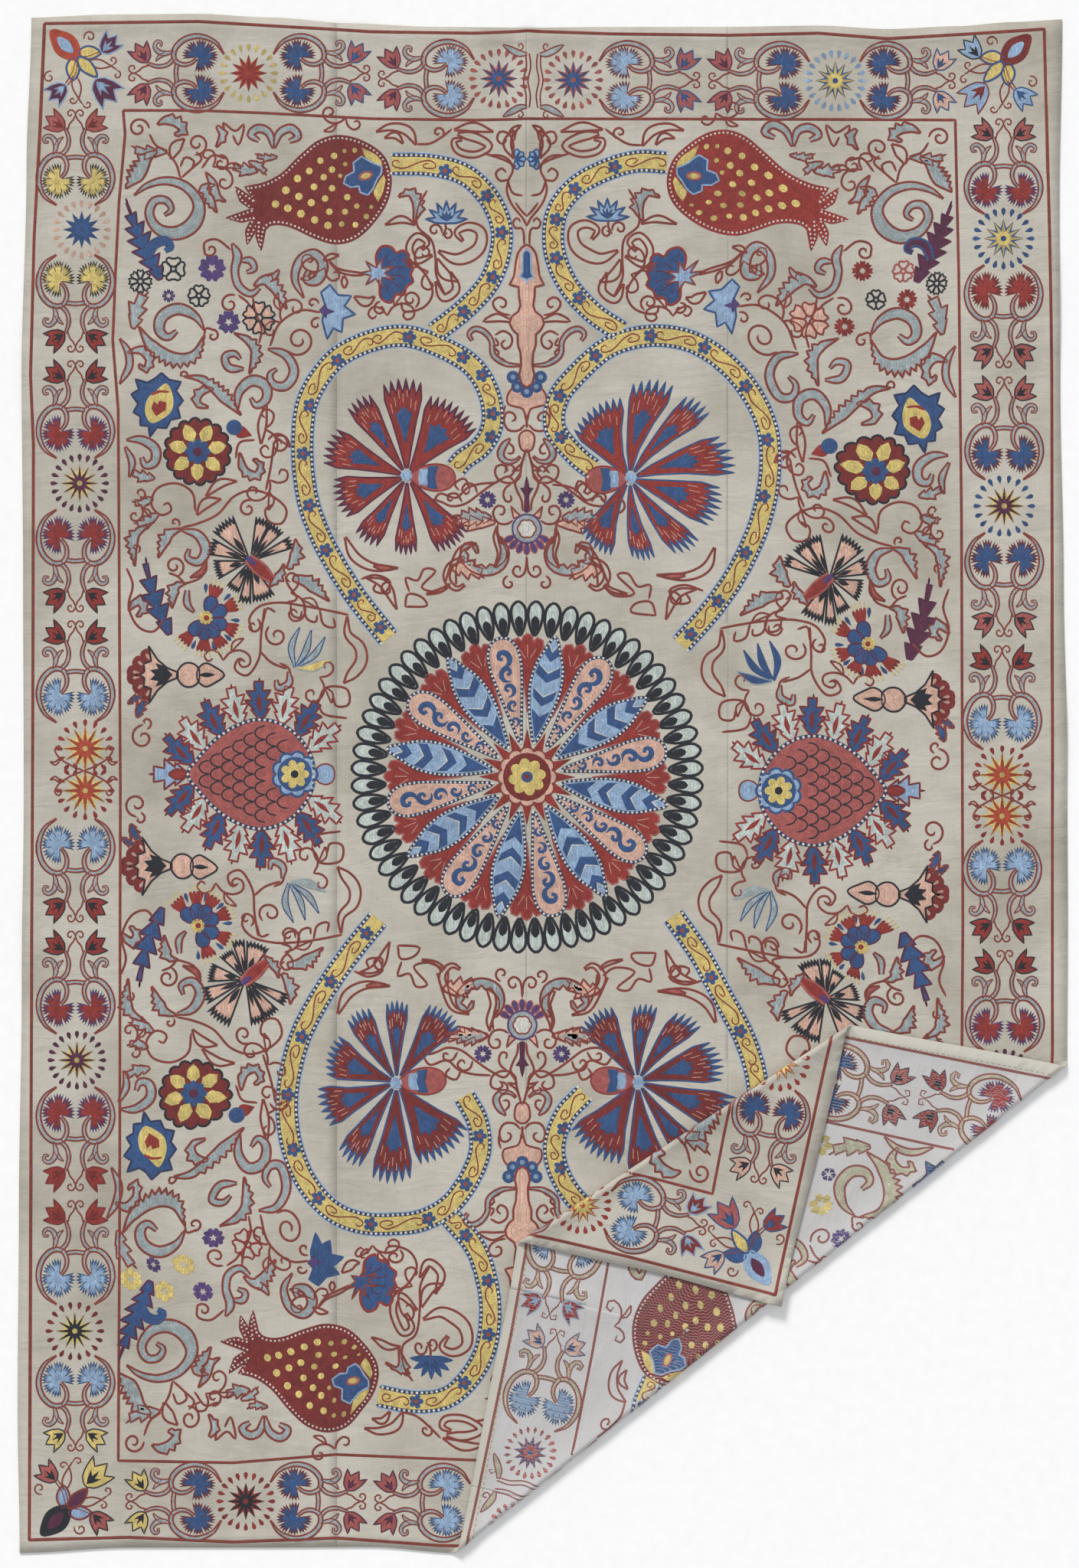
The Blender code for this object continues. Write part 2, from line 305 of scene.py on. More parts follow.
        lines += [unfold(base_two + out_two * past, out_two) for past in bend_places(self.second)]
        start, end = np.array(self.flap_ridge.start) * CM, np.array(self.flap_ridge.end) * CM
        run = (end - start) / np.linalg.norm(end - start)
        side = np.array((-run[1], run[0]))
        lines += [unfold(start + side * share * self.flap_ridge.half,
                         side) for share in np.linspace(-1, 1, 13)]
        level_two = self.second.stages[1]
        far_two = float(self.second.profile(np.array(level_two))[0])
        for rise in np.linspace(0, 1, 7):
            place = base + out * (lift_from + rise * (self.first.radius - lift_from))
            away = (place - base_two) @ out_two
            mirrored = place + out_two * (-2 * away + level_two + far_two)
            lines.append(unfold(mirrored, out - 2 * (out @ out_two) * out_two))
        return lines


def bend_places(fold: Fold) -> list[float]:
    """Distances past the crease at which the section is scored: even turns, then even settling."""
    roll_end, level_from = fold.stages
    return [*np.linspace(0, roll_end, 25), *np.linspace(roll_end, level_from, 9)[1:]]


CLOTH = Cloth()


class Thread(Enum):
    """The embroidery threads, each with its colour as screen values from 0 to 255."""

    MADDER = ("madder", (128, 54, 44))
    RED = ("red", (140, 44, 38))
    DEEP = ("deep_red", (116, 36, 34))
    ROSE = ("rose", (162, 84, 80))
    PINK = ("pink", (208, 168, 150))
    ORANGE = ("orange_red", (168, 66, 44))
    YELLOW = ("yellow", (208, 186, 112))
    BLUE = ("indigo", (46, 78, 126))
    SKY = ("sky_blue", (142, 168, 198))
    MIST = ("grey_blue", (152, 162, 164))
    PALE = ("pale_green", (188, 197, 192))
    NIGHT = ("dark_blue", (36, 46, 84))
    VIOLET = ("violet", (80, 58, 112))
    PLUM = ("plum", (84, 32, 62))
    BLACK = ("black", (26, 28, 38))
    WHITE = ("white", (208, 206, 198))

    @property
    def title(self) -> str:
        """The thread's plain name."""
        return self.value[0]

    @property
    def colour(self) -> tuple[float, float, float, float]:
        """The thread's colour as linear values."""
        return linear(self.value[1])


def linear(screen: tuple[float, float, float]) -> tuple[float, float, float, float]:
    """Screen values from 0 to 255 as a linear colour with alpha.

    Args:
        screen: red, green and blue.

    Returns:
        The linear colour.
    """
    shares = [value / 255 for value in screen]
    steep = [((share + 0.055) / 1.055) ** 2.4 if share > 0.04 else share / 12.92 for share in shares]
    return (*steep, 1.0)


@dataclass(frozen=True)
class Surface:
    """A sewn surface: flat places and stitch places in metres, lifts in metres, and triangles."""

    flat: np.ndarray
    lift: np.ndarray
    stitch: np.ndarray
    faces: np.ndarray


def curve(points: np.ndarray, closed: bool = False, samples: int = 8) -> np.ndarray:
    """A smooth curve through points, by centripetal Catmull-Rom segments worked out all at once.

    Args:
        points: the points it passes, one a row.
        closed: whether it comes back to its start.
        samples: points on each segment.

    Returns:
        The curve's points, the first repeated at the end where it is closed.
    """
    if closed:
        padded = np.vstack([points[-1:], points, points[:2]])
    else:
        padded = np.vstack([2 * points[:1] - points[1:2], points, 2 * points[-1:] - points[-2:-1]])
    p0, p1, p2, p3 = (padded[k:len(padded) - 3 + k, None, :] for k in range(4))
    gaps = [np.maximum(np.linalg.norm(b - a, axis=-1, keepdims=True), 1e-6) ** 0.5
            for a, b in ((p0, p1), (p1, p2), (p2, p3))]
    t1, t2, t3 = gaps[0], gaps[0] + gaps[1], gaps[0] + gaps[1] + gaps[2]
    share = (np.arange(samples) / samples)[None, :, None]
    t = t1 + (t2 - t1) * share
    a1 = (t1 - t) / t1 * p0 + t / t1 * p1
    a2 = (t2 - t) / (t2 - t1) * p1 + (t - t1) / (t2 - t1) * p2
    a3 = (t3 - t) / (t3 - t2) * p2 + (t - t2) / (t3 - t2) * p3
    b1 = (t2 - t) / t2 * a1 + t / t2 * a2
    b2 = (t3 - t) / (t3 - t1) * a2 + (t - t1) / (t3 - t1) * a3
    path = ((t2 - t) / (t2 - t1) * b1 + (t - t1) / (t2 - t1) * b2).reshape(-1, 2)
    return np.vstack([path, path[:1] if closed else points[-1:]])


def evenly(path: np.ndarray, step: float, *others: np.ndarray) -> tuple[np.ndarray, ...]:
    """Points at even steps along a path that keep its sharp corners, with other values carried along.

    Args:
        path: the path's points.
        step: the longest step.
        others: values at the path's points.

    Returns:
        The even points, the distances along, and the other values there.
    """
    run = np.diff(path, axis=0)
    lengths = np.concatenate([[0.0], np.cumsum(np.linalg.norm(run, axis=1))])
    heading = np.unwrap(np.arctan2(run[:, 1], run[:, 0]))
    sharp = np.abs(np.diff(heading)) > 0.7
    stops = np.concatenate([[0.0], lengths[1:-1][sharp], lengths[-1:]])
    stops = stops[np.concatenate([[True], np.diff(stops) > 1e-6])]
    gaps = np.diff(stops)
    counts = np.maximum(np.ceil(gaps / step), 1).astype(int)
    order = np.arange(counts.sum()) - np.repeat(np.cumsum(counts) - counts, counts)
    along = np.append(np.repeat(stops[:-1], counts) + order * np.repeat(gaps / counts, counts), lengths[-1])
    even = np.stack([np.interp(along, lengths, path[:, k]) for k in range(2)], axis=1)
    return (even, along, *(np.interp(along, lengths, other) for other in others))


def within(points: np.ndarray, ring: np.ndarray) -> np.ndarray:
    """Which points lie inside a closed outline, by counting the sides crossed on the way out.

    Args:
        points: the points, one a row.
        ring: the outline's points, one a row.

    Returns:
        True for each point inside.
    """
    after = np.roll(ring, -1, axis=0)
    x, y = points[:, :1], points[:, 1:]
    rises = (ring[:, 1] > y) != (after[:, 1] > y)
    slope = (after[:, 0] - ring[:, 0]) / np.where(after[:, 1] == ring[:, 1], 1e-12, after[:, 1] - ring[:, 1])
    return (rises & (x < ring[:, 0] + slope * (y - ring[:, 1]))).sum(axis=1) % 2 == 1


def rim_distance(points: np.ndarray, ring: np.ndarray) -> np.ndarray:
    """How far each point lies from the nearest side of a closed outline."""
    after = np.roll(ring, -1, axis=0)
    run = after - ring
    long = np.maximum((run * run).sum(axis=1), 1e-12)
    share = np.clip(((points[:, None] - ring) * run).sum(axis=2) / long, 0, 1)
    return np.linalg.norm(points[:, None] - ring - share[..., None] * run, axis=2).min(axis=1)


def leftward(path: np.ndarray) -> np.ndarray:
    """The unit direction to the left of a path at each of its points."""
    tangent = np.gradient(path, axis=0)
    tangent /= np.maximum(np.linalg.norm(tangent, axis=1, keepdims=True), 1e-9)
    return np.stack([-tangent[:, 1], tangent[:, 0]], axis=1)


def doubled_areas(flat: np.ndarray, faces: np.ndarray) -> np.ndarray:
    """Twice the area of each flat triangle, less than nothing where its corners run clockwise."""
    one, two = flat[faces[:, 1]] - flat[faces[:, 0]], flat[faces[:, 2]] - flat[faces[:, 0]]
    return one[:, 0] * two[:, 1] - one[:, 1] * two[:, 0]


@dataclass
class Needlework:
    """The sewn surfaces of one side of the cloth, kept by thread."""

    cloth: Cloth
    side: Side
    coarse: float = 1.0
    thin: float = 1.0
    raised: float = 0.00034
    rim: float = -0.00005
    level_step: float = 0.00026
    step_on_roll: float = 0.16
    step_flat: float = 0.46
    thinnest: float = 0.02
    patch_gap: float = 0.3
    row_share: float = 0.87
    rim_clear: float = 0.45
    patch_rim: float = 0.00012
    patch_slope: float = 0.22
    surfaces: dict[Thread, list[Surface]] = field(default_factory=lambda: {thread: [] for thread in Thread})

    def step(self, path: np.ndarray) -> float:
        """The longest step in centimetres: short where the cloth rolls over, longer elsewhere."""
        return self.step_on_roll if self.cloth.bends(path * CM) else self.step_flat * self.coarse

    def ribbon(self, path: np.ndarray, half: np.ndarray, thread: Thread, level: int, across: Points) -> None:
        """A sewn band along a path: at each point a section across it, low at the rims and high inside.

        Args:
            path: the middle line in centimetres.
            half: the half-width at each point in centimetres.
            thread: its thread.
            level: how many layers of thread it lies on.
            across: the section, as places from -1 to 1 across and shares of the full height.
        """
        even, along, wide = evenly(path, self.step(path), half)
        normal = leftward(even)
        places = np.array([place for place, _ in across])
        shares = np.array([share for _, share in across])
        flat = even[:, None] + normal[:, None] * (wide[:, None] * places)[..., None]
        high = self.rim + shares * (self.raised - self.rim)
        height = np.where(wide[:, None] > self.thinnest, high, self.rim)
        stitch = np.stack(np.broadcast_arrays(along[:, None], wide[:, None] * places), axis=-1)
        rows, columns = len(even), len(across)
        corner = (np.arange(rows - 1)[:, None] * columns + np.arange(columns - 1)).ravel()
        ring = np.stack([corner, corner + 1, corner + columns + 1, corner + columns], axis=1)
        faces = np.vstack([ring[:, [0, 1, 2]], ring[:, [0, 2, 3]]])
        self.surfaces[thread].append(Surface(flat.reshape(-1, 2) * CM,
                                             height.ravel() + level * self.level_step,
                                             stitch.reshape(-1, 2) * CM, faces))

    def patch(self, ring: np.ndarray, thread: Thread, level: int, grain: float) -> None:
        """A sewn area: its outline, points inside in staggered rows, joined into triangles.

        The rows of stitches follow the outline, so the place across them is the distance from it.

        Args:
            ring: the outline in centimetres.
            thread: its thread.
            level: how many layers of thread it lies on.
            grain: the direction in which stitches run, in radians.
        """
        step = self.step(ring)
        ring = evenly(np.vstack([ring, ring[:1]]), step)[0][:-1]
        gap = max(step, self.patch_gap)
        low, high = ring.min(axis=0), ring.max(axis=0)
        rows = np.arange(low[1] + gap / 2, high[1], gap * self.row_share)
        columns = np.arange(low[0], high[0], gap)
        inner = np.stack(np.meshgrid(columns, rows), axis=-1)
        inner[1::2, :, 0] += gap / 2
        inner = inner.reshape(-1, 2)
        if len(inner):
            inner = inner[within(inner, ring)]
        if len(inner):
            inner = inner[rim_distance(inner, ring) > gap * self.rim_clear]
        everything = np.vstack([ring, inner])
        count = len(ring)
        sides = [(k, (k + 1) % count) for k in range(count)]
        points, _, faces, *_ = delaunay_2d_cdt([tuple(point) for point in everything], sides, [], 1, 1e-5)
        if not faces:
            return
        flat = np.array([tuple(point) for point in points])
        faces = np.array(faces)
        turned = doubled_areas(flat, faces) < 0
        faces[turned] = faces[turned][:, ::-1]
        away = rim_distance(flat, ring)
        rise = np.clip(away / self.patch_slope, 0, 1)
        height = self.patch_rim + (self.raised - self.patch_rim) * rise + level * self.level_step
        along = flat[:, 0] * math.cos(grain) + flat[:, 1] * math.sin(grain)
        self.surfaces[thread].append(Surface(flat * CM, height, np.stack([along, away], axis=1) * CM, faces))


THIN_SECTION = ((1.0, 0.0), (0.0, 1.0), (-1.0, 0.0))
BROAD_SECTION = ((1.0, 0.2), (0.55, 0.95), (0.0, 1.0), (-0.55, 0.95), (-1.0, 0.2))
LINE_WIDE = 0.4
TEETH_FROM = 0.3
TOOTH_HIGH = 1.45
TOOTH_LOW = 0.6


@dataclass(frozen=True)
class Hand:
    """A place to draw at on one side of the cloth: it carries its own centimetres to the flat cloth's."""

    work: Needlework
    carry: Callable[[np.ndarray], np.ndarray]
    size: float = 1.0
    lay: int = 0

    def at(self, x: float, y: float, turn: float = 0.0, size: float = 1.0, mirror: bool = False,
           stretch: float = 1.0, lay: int = 0) -> "Hand":
        """A hand at a new place: stretched along its own x, mirrored, sized, turned and then moved.

        Args:
            x: the place across in this hand's centimetres.
            y: the place up in this hand's centimetres.
            turn: the turn in degrees.
            size: the size in both directions.
            mirror: whether its own y runs the other way.
            stretch: the size along its own x alone.
            lay: layers of thread already under it.

        Returns:
            The new hand.
        """
        cos, sin = math.cos(math.radians(turn)), math.sin(math.radians(turn))
        spin = np.array(((cos, sin), (-sin, cos)))
        scale = np.array((size * stretch, -size if mirror else size))
        carry = self.carry

        def carried(points: np.ndarray) -> np.ndarray:
            """The new hand's places as places on the flat cloth."""
            return carry(points * scale @ spin + (x, y))

        return Hand(self.work, carried, self.size * size, self.lay + lay)

    def line(self, points: Points | np.ndarray, thread: Thread = Thread.MADDER, wide: float = LINE_WIDE,
             closed: bool = False, level: int = 1, curved: bool = True) -> None:
        """A line of stitches through points, a little narrower at its two ends.

        Args:
            points: the places it passes.
            thread: its thread.
            wide: its width in centimetres on the cloth.
            closed: whether it comes back to its start.
            level: how many layers of thread it lies on.
            curved: whether it bends smoothly.
        """
        path = np.array(points, float)
        if curved and len(path) > 2:
            path = curve(path, closed)
        elif closed:
            path = np.vstack([path, path[:1]])
        path = self.carry(path)
        half = np.full(len(path), wide / 2 * self.work.thin)
        if not closed:
            half[[0, -1]] *= 0.5
        self.work.ribbon(path, half, thread, level + self.lay, THIN_SECTION)

    def leaf(self, points: Points | np.ndarray, widths: Sequence[float], thread: Thread | None,
             edge: Thread | None = Thread.MADDER, level: int = 0, edge_wide: float = 0.34) -> None:
        """A tapering band through points, with an outline along both its sides.

        Args:
            points: the places its middle passes.
            widths: its full width at even places along it, in this hand's centimetres.
            thread: the thread that fills it, or None.
            edge: the thread of its outline, or None.
            level: how many layers of thread it lies on.
            edge_wide: the outline's width in centimetres on the cloth.
        """
        path = self.carry(curve(np.array(points, float)))
        even, along = evenly(path, 0.3)
        share = along / along[-1]
        spots = np.linspace(0, 1, len(widths))
        smooth = curve(np.stack([spots, np.array(widths, float)], axis=1))
        half = np.maximum(np.interp(share, smooth[:, 0], smooth[:, 1]), 0) * self.size / 2
        if thread is not None:
            self.work.ribbon(even, half, thread, level + self.lay, BROAD_SECTION)
        if edge is not None:
            normal = leftward(even)
            for sign in (1, -1):
                side = even + sign * normal * half[:, None]
                wide = np.full(len(side), edge_wide / 2 * self.work.thin)
                self.work.ribbon(side, wide, edge, level + self.lay + 1, THIN_SECTION)

    def saw(self, points: Points | np.ndarray, widths: Sequence[float], teeth: int, thread: Thread | None,
            edge: Thread = Thread.MADDER, outward: float = 1.0) -> None:
        """A tapering band in outline, with saw teeth along one side beyond its plain first part.

        Args:
            points: the places its middle passes.
            widths: its full width at even places along it.
            teeth: how many teeth it has.
            thread: the thread that fills it, or None for an open band.
            edge: the thread of its outline.
            outward: the side the teeth are on, 1 for the right of the path and -1 for the left.
        """
        path = curve(np.array(points, float))
        share = np.linspace(0, 1, 2 * teeth + 1)
        even, along = evenly(path, 0.05)
        middle = np.stack([np.interp(share, along / along[-1], even[:, k]) for k in range(2)], axis=1)
        half = np.interp(share, np.linspace(0, 1, len(widths)), np.array(widths, float)) / 2
        tooth = np.where(np.arange(2 * teeth + 1) % 2 == 1, TOOTH_HIGH, TOOTH_LOW)
        tooth = np.where(share < TEETH_FROM, 1.0, tooth)
        tooth[[0, -1]] = TOOTH_LOW
        smooth = beside(middle, half * outward)
        ragged_side = beside(middle, -half * tooth * outward)
        ring = np.vstack([smooth, ragged_side[::-1]])
        if thread is not None:
            self.fill(ring, thread)
        self.line(ring, edge, 0.34, closed=True, curved=False)

    def fill(self, points: Points | np.ndarray, thread: Thread, level: int = 0, curved: bool = False,
             grain: float = 0.0, edge: Thread | None = None, edge_wide: float = LINE_WIDE) -> None:
        """An area of thread inside an outline.

        Args:
            points: the outline's places.
            thread: its thread.
            level: how many layers of thread it lies on.
            curved: whether the outline bends smoothly.
            grain: the direction of its stitches in degrees.
            edge: the thread of its outline, or None.
            edge_wide: the outline's width in centimetres on the cloth.
        """
        ring = np.array(points, float)
        if curved:
            ring = curve(ring, True)[:-1]
        self.work.patch(self.carry(ring), thread, level + self.lay, math.radians(grain))
        if edge is not None:
            self.line(ring, edge, edge_wide, closed=True, level=level + 1, curved=False)

    def disc(self, x: float, y: float, radius: float, thread: Thread, level: int = 1,
             edge: Thread | None = None, edge_wide: float = 0.26) -> None:
        """A round spot of thread, with an outline where one is named."""
        self.fill(ring_points(x, y, radius, 8 if radius < 0.6 else 14), thread, level, edge=edge,
                  edge_wide=edge_wide)

    def spiral(self, x: float, y: float, outer: float, inner: float, start: float, sweep: float,
               thread: Thread = Thread.MADDER, wide: float = LINE_WIDE) -> None:
        """A curl of one line that winds in from its outer radius to its inner one.

        Args:
            x: its middle across.
            y: its middle up.
            outer: its first radius.
            inner: its last radius.
            start: the angle at which it starts, in degrees.
            sweep: how far it winds, in degrees, less than nothing where it winds clockwise.
            thread: its thread.
            wide: its width in centimetres on the cloth.
        """
        self.line(curl(x, y, outer, inner, start, sweep), thread, wide)

    def drop(self, x: float, y: float, turn: float, long: float, wide: float, thread: Thread,
             edge: Thread | None = None, level: int = 0, blunt: float = 0.3) -> None:
        """A drop: its point at the place, its round end this far off in the direction of its turn.

        Args:
            x: the point's place across.
            y: the point's place up.
            turn: its direction in degrees.
            long: its length.
            wide: its greatest width.
            thread: its thread.
            edge: the thread of its outline, or None.
            level: how many layers of thread it lies on.
            blunt: where its widest place is, as a share of its length in from the round end.
        """
        ring = drop_ring(long, wide, blunt)
        self.at(x, y, turn).fill(ring, thread, level, edge=edge, edge_wide=0.26)


def ring_points(x: float, y: float, radius: float, count: int = 14) -> np.ndarray:
    """Points round a circle."""
    angles = np.arange(count) * math.tau / count
    return np.stack([x + radius * np.cos(angles), y + radius * np.sin(angles)], axis=1)


def curl(x: float, y: float, outer: float, inner: float, start: float, sweep: float) -> np.ndarray:
    """Points of a spiral that winds about a middle while its radius goes from outer to inner."""
    share = np.linspace(0, 1, max(6, int(abs(sweep) / 30)))
    angle = np.radians(start + sweep * share)
    radius = outer + (inner - outer) * share ** 0.85
    return np.stack([x + radius * np.cos(angle), y + radius * np.sin(angle)], axis=1)


def drop_ring(long: float, wide: float, blunt: float = 0.3) -> np.ndarray:
    """The outline of a drop along x from its point at nought: sides that swell, then a round end."""
    share = np.array((0.0, 0.18, 0.4, 0.62, 0.8, 0.93, 1.0))
    swell = np.array((0.0, 0.34, 0.74, 0.98, 0.92, 0.56, 0.0)) if blunt >= 0.3 else \
        np.array((0.0, 0.22, 0.52, 0.84, 1.0, 0.72, 0.0))
    upper = np.stack([share * long, swell * wide / 2], axis=1)
    lower = np.stack([share[-2:0:-1] * long, -swell[-2:0:-1] * wide / 2], axis=1)
    return np.vstack([upper, lower])


def jagged_fan(inner: float, outer: float, start: float, end: float, teeth: int, notch: float,
               base: Points = ((0.0, 0.0),)) -> np.ndarray:
    """A fan outline: a base, then a toothed arc whose radius swings between outer and a notch below it.

    Args:
        inner: the radius at which the arc's first and last places lie.
        outer: the radius of the teeth's tips.
        start: the first angle in degrees.
        end: the last angle in degrees.
        teeth: how many teeth.
        notch: how deep the notches are.
        base: the places that close the fan.

    Returns:
        The outline's points.
    """
    count = 2 * teeth + 1
    angles = np.radians(np.linspace(start, end, count))
    radii = np.where(np.arange(count) % 2 == 1, outer, outer - notch)
    radii[[0, -1]] = inner
    arc = np.stack([radii * np.cos(angles), radii * np.sin(angles)], axis=1)
    return np.vstack([np.array(base, float), arc])


def star(outer: float, inner: float, points: int, turn: float = 0.0) -> np.ndarray:
    """A star outline: points whose radius swings between outer and inner."""
    angles = np.radians(turn) + np.arange(2 * points) * math.pi / points
    radii = np.where(np.arange(2 * points) % 2 == 0, outer, inner)
    return np.stack([radii * np.cos(angles), radii * np.sin(angles)], axis=1)


def lobed(outer: float, inner: float, lobes: int, turn: float = 0.0) -> np.ndarray:
    """A flower outline of round lobes: the radius swells as a lifted cosine between inner and outer."""
    angles = np.arange(lobes * 8) * math.tau / (lobes * 8)
    swell = np.abs(np.cos(lobes / 2 * (angles - math.radians(turn)))) ** 0.6
    radii = inner + (outer - inner) * swell
    return np.stack([radii * np.cos(angles), radii * np.sin(angles)], axis=1)


@dataclass(frozen=True)
class Rosette:
    """A rosette of the border: its place, its three threads, its drops, its size and its star's."""

    x: float
    y: float
    star: Thread
    rays: Thread
    ring: Thread
    drops: int = 20
    size: float = 1.0
    star_size: float = 1.0

    def sew(self, hand: Hand) -> None:
        """Sews the rosette: a star of narrow points, thinner rays on it, an eye, and drops round them."""
        here = hand.at(self.x, self.y, size=self.size)
        here.at(0, 0, size=self.star_size).fill(star(2.75, 1.5, 12), self.star, grain=30)
        here.at(0, 0, size=self.star_size).fill(star(2.7, 0.95, 12), self.rays, level=1)
        here.disc(0, 0, 0.4, self.star, level=2)
        for k in range(self.drops):
            here.at(0, 0, 360 * k / self.drops).drop(3.1, 0, 0, 1.2, 0.66, self.ring)


def ragged(outer: float, petals: int, teeth: int, start: float, end: float, notch: float, gap: float,
           base: Points) -> np.ndarray:
    """A fan outline of petals with thin teeth: deep gaps between the petals, shallow notches within them.

    Args:
        outer: the radius of the teeth's tips.
        petals: how many petals.
        teeth: how many teeth each petal has.
        start: the first angle in degrees.
        end: the last angle in degrees.
        notch: how deep the notches are.
        gap: how deep the gaps are.
        base: the places that close the fan.

    Returns:
        The outline's points.
    """
    count = np.arange(petals * teeth * 2 + 1)
    angles = np.radians(np.linspace(start, end, len(count)))
    radii = np.where(count % 2 == 1, outer, outer - notch)
    radii = np.where(count % (2 * teeth) == 0, outer - gap, radii)
    arc = np.stack([radii * np.cos(angles), radii * np.sin(angles)], axis=1)
    return np.vstack([np.array(base, float), arc])


@dataclass(frozen=True)
class HalfRun:
    """Half a run of the border, from a rosette to mid-gap: its place, turn, length and threads."""

    x: float
    y: float
    turn: float
    long: float
    pink: Thread
    fringe: Thread
    cup: Thread
    seed: Thread
    band: Thread | None = Thread.MIST
    drawn_long: float = 18.2

    def sew(self, hand: Hand) -> None:
        """Sews both sides of the run: a pinked carnation in a curl, a cross bar, stems and a tulip."""
        run = hand.at(self.x, self.y, self.turn, 0.92, stretch=self.long / self.drawn_long / 0.92)
        for mirror in (False, True):
            side = run.at(0, 0, mirror=mirror)
            self.carnation(side.at(7.1, 2.75, -42))
            self.curl_round(side)
            self.stems(side)
            tulip(side.at(14.9, 1.75, 60, 0.98), self.cup, self.seed)
        run.leaf(((10.5, -1.5), (10.65, 0), (10.5, 1.5)), (0.5, 0.5, 0.5), self.band, edge_wide=0.28)

    def carnation(self, here: Hand) -> None:
        """A pinked carnation of three quarters of a circle, its fringe of another thread showing round it."""
        here.fill(ragged(2.72, 7, 4, 26, 334, 0.6, 1.35, ((0.3, 0),)), self.fringe, grain=20)
        here.fill(ragged(2.3, 7, 4, 30, 330, 0.6, 1.4, ((0.45, 0),)), self.pink, level=1)

    def curl_round(self, side: Hand) -> None:
        """The curl round a carnation: a tapering band from its free tip round to the carnation's mouth."""
        path = ((3.6, 3.0), (4.9, 4.9), (7.3, 5.85), (9.6, 5.2), (10.9, 3.6), (10.8, 2.0), (9.6, 1.35),
                (8.4, 1.6), (7.6, 2.3))
        side.leaf(path, (0.05, 0.4, 0.6, 0.7, 0.7, 0.6, 0.5, 0.3), self.band, edge_wide=0.3)

    def stems(self, side: Hand) -> None:
        """The stem from the curl to the tulip, a thin one to the middle, and a forked leaf with a hook."""
        side.leaf(((10.9, 2.4), (11.8, 1.4), (13.3, 1.05), (14.9, 1.6)), (0.5, 0.5, 0.46, 0.3), self.band,
                  edge_wide=0.28)
        side.line(((14.6, 1.2), (15.5, 0.95), (16.2, 0.3), (16.9, 0.0)), wide=0.24)
        side.spiral(17.0, 0.78, 0.75, 0.22, -100, 370, wide=0.24)
        side.leaf(((11.0, 3.5), (12.1, 3.1), (13.1, 3.3), (13.8, 4.2), (13.4, 5.0), (12.8, 4.8),
                   (12.9, 4.2)), (0.1, 0.55, 0.75, 0.62, 0.5, 0.4, 0.2), self.band, edge_wide=0.22)
        side.leaf(((12.3, 3.05), (13.1, 2.6), (13.6, 1.9)), (0.5, 0.5, 0.05), self.band, edge_wide=0.2)


def tulip(here: Hand, cup: Thread, seed: Thread) -> None:
    """A tulip along x: a round foot, a mouth of three points, an outline and a flame of another thread."""
    here.fill(((0, 0.25), (0.5, 0.95), (1.5, 1.4), (3.0, 1.7), (2.25, 0.75), (3.5, 0.0), (2.25, -0.75),
               (3.0, -1.7), (1.5, -1.4), (0.5, -0.95), (0, -0.25)), cup, edge=seed, edge_wide=0.2)
    here.fill(((0.2, 0), (0.8, 0.42), (1.75, 0.8), (1.3, 0.22), (2.3, 0), (1.3, -0.22), (1.75, -0.8),
               (0.8, -0.42)), seed, level=1)


@dataclass(frozen=True)
class CornerThreads:
    """The threads of one corner: its almond, the kernel and ring in it, its leaves and its three tulips."""

    almond: Thread
    kernel: Thread
    leaves: Thread
    small: Thread
    tulips: tuple[tuple[Thread, Thread], ...]
    edge: Thread = Thread.BLUE

    def sew(self, here: Hand) -> None:
        """Sews the corner; the hand stands at its middle, with the corner up and to the left."""
        bud = here.at(-2.2, 3.3, 135)
        bud.fill(((-2.7, 0), (-1.5, 1.15), (0.1, 1.6), (1.7, 1.05), (3.0, 0), (1.7, -1.05), (0.1, -1.6),
                  (-1.5, -1.15)), self.almond, curved=True, edge=self.almond)
        bud.fill(((-1.5, 0), (-0.6, 0.62), (0.2, 0.78), (1.1, 0.5), (1.8, 0), (1.1, -0.5), (0.2, -0.78),
                  (-0.6, -0.62)), self.kernel, 1, True)
        for sign in (1, -1):
            bud.at(-2.0, 0.6 * sign, 180 - 44 * sign).fill(
                ((0, 0), (0.8, 0.8), (1.9, 0.9), (3.2, 0.0), (1.9, -0.9), (0.8, -0.8)), self.leaves, 0,
                True, edge=self.edge, edge_wide=0.3)
        bud.at(-2.4, 0, 180).fill(((0, 0), (1.0, 0.75), (2.1, 0.85), (4.0, 0.0), (2.1, -0.85),
                                   (1.0, -0.75)), self.small, 1, True, edge=self.edge, edge_wide=0.3)
        places = ((3.0, 2.3, 48, 0.98), (-2.2, -2.4, 222, 0.98), (2.0, -1.7, -45, 1.3))
        for (x, y, turn, size), (cup, seed) in zip(places, self.tulips):
            tulip(here.at(x, y, turn, size), cup, seed)
        here.leaf(((-0.4, 1.4), (1.4, 1.6), (2.9, 2.3)), (0.3, 0.5, 0.4), None, edge_wide=0.2)
        here.leaf(((-0.6, 1.2), (-1.1, -0.8), (-2.1, -2.3)), (0.3, 0.5, 0.4), None, edge_wide=0.2)
        for mirror in (False, True):
            half = here.at(0, 0, 0) if not mirror else here.at(0, 0, -90, mirror=True)
            half.spiral(1.3, 4.6, 0.95, 0.25, 200, -400, wide=0.24)
            half.line(((1.0, 1.2), (2.6, 1.3), (4.3, 0.4), (5.2, -0.2)), wide=0.24)
            half.spiral(4.6, 1.2, 0.65, 0.2, -90, 360, wide=0.24)
            half.spiral(5.2, -0.95, 0.7, 0.2, 90, -360, wide=0.24)
            half.line(((1.2, 0.6), (2.6, 0.0), (4.0, 0.2), (4.6, 0.5)), wide=0.24)


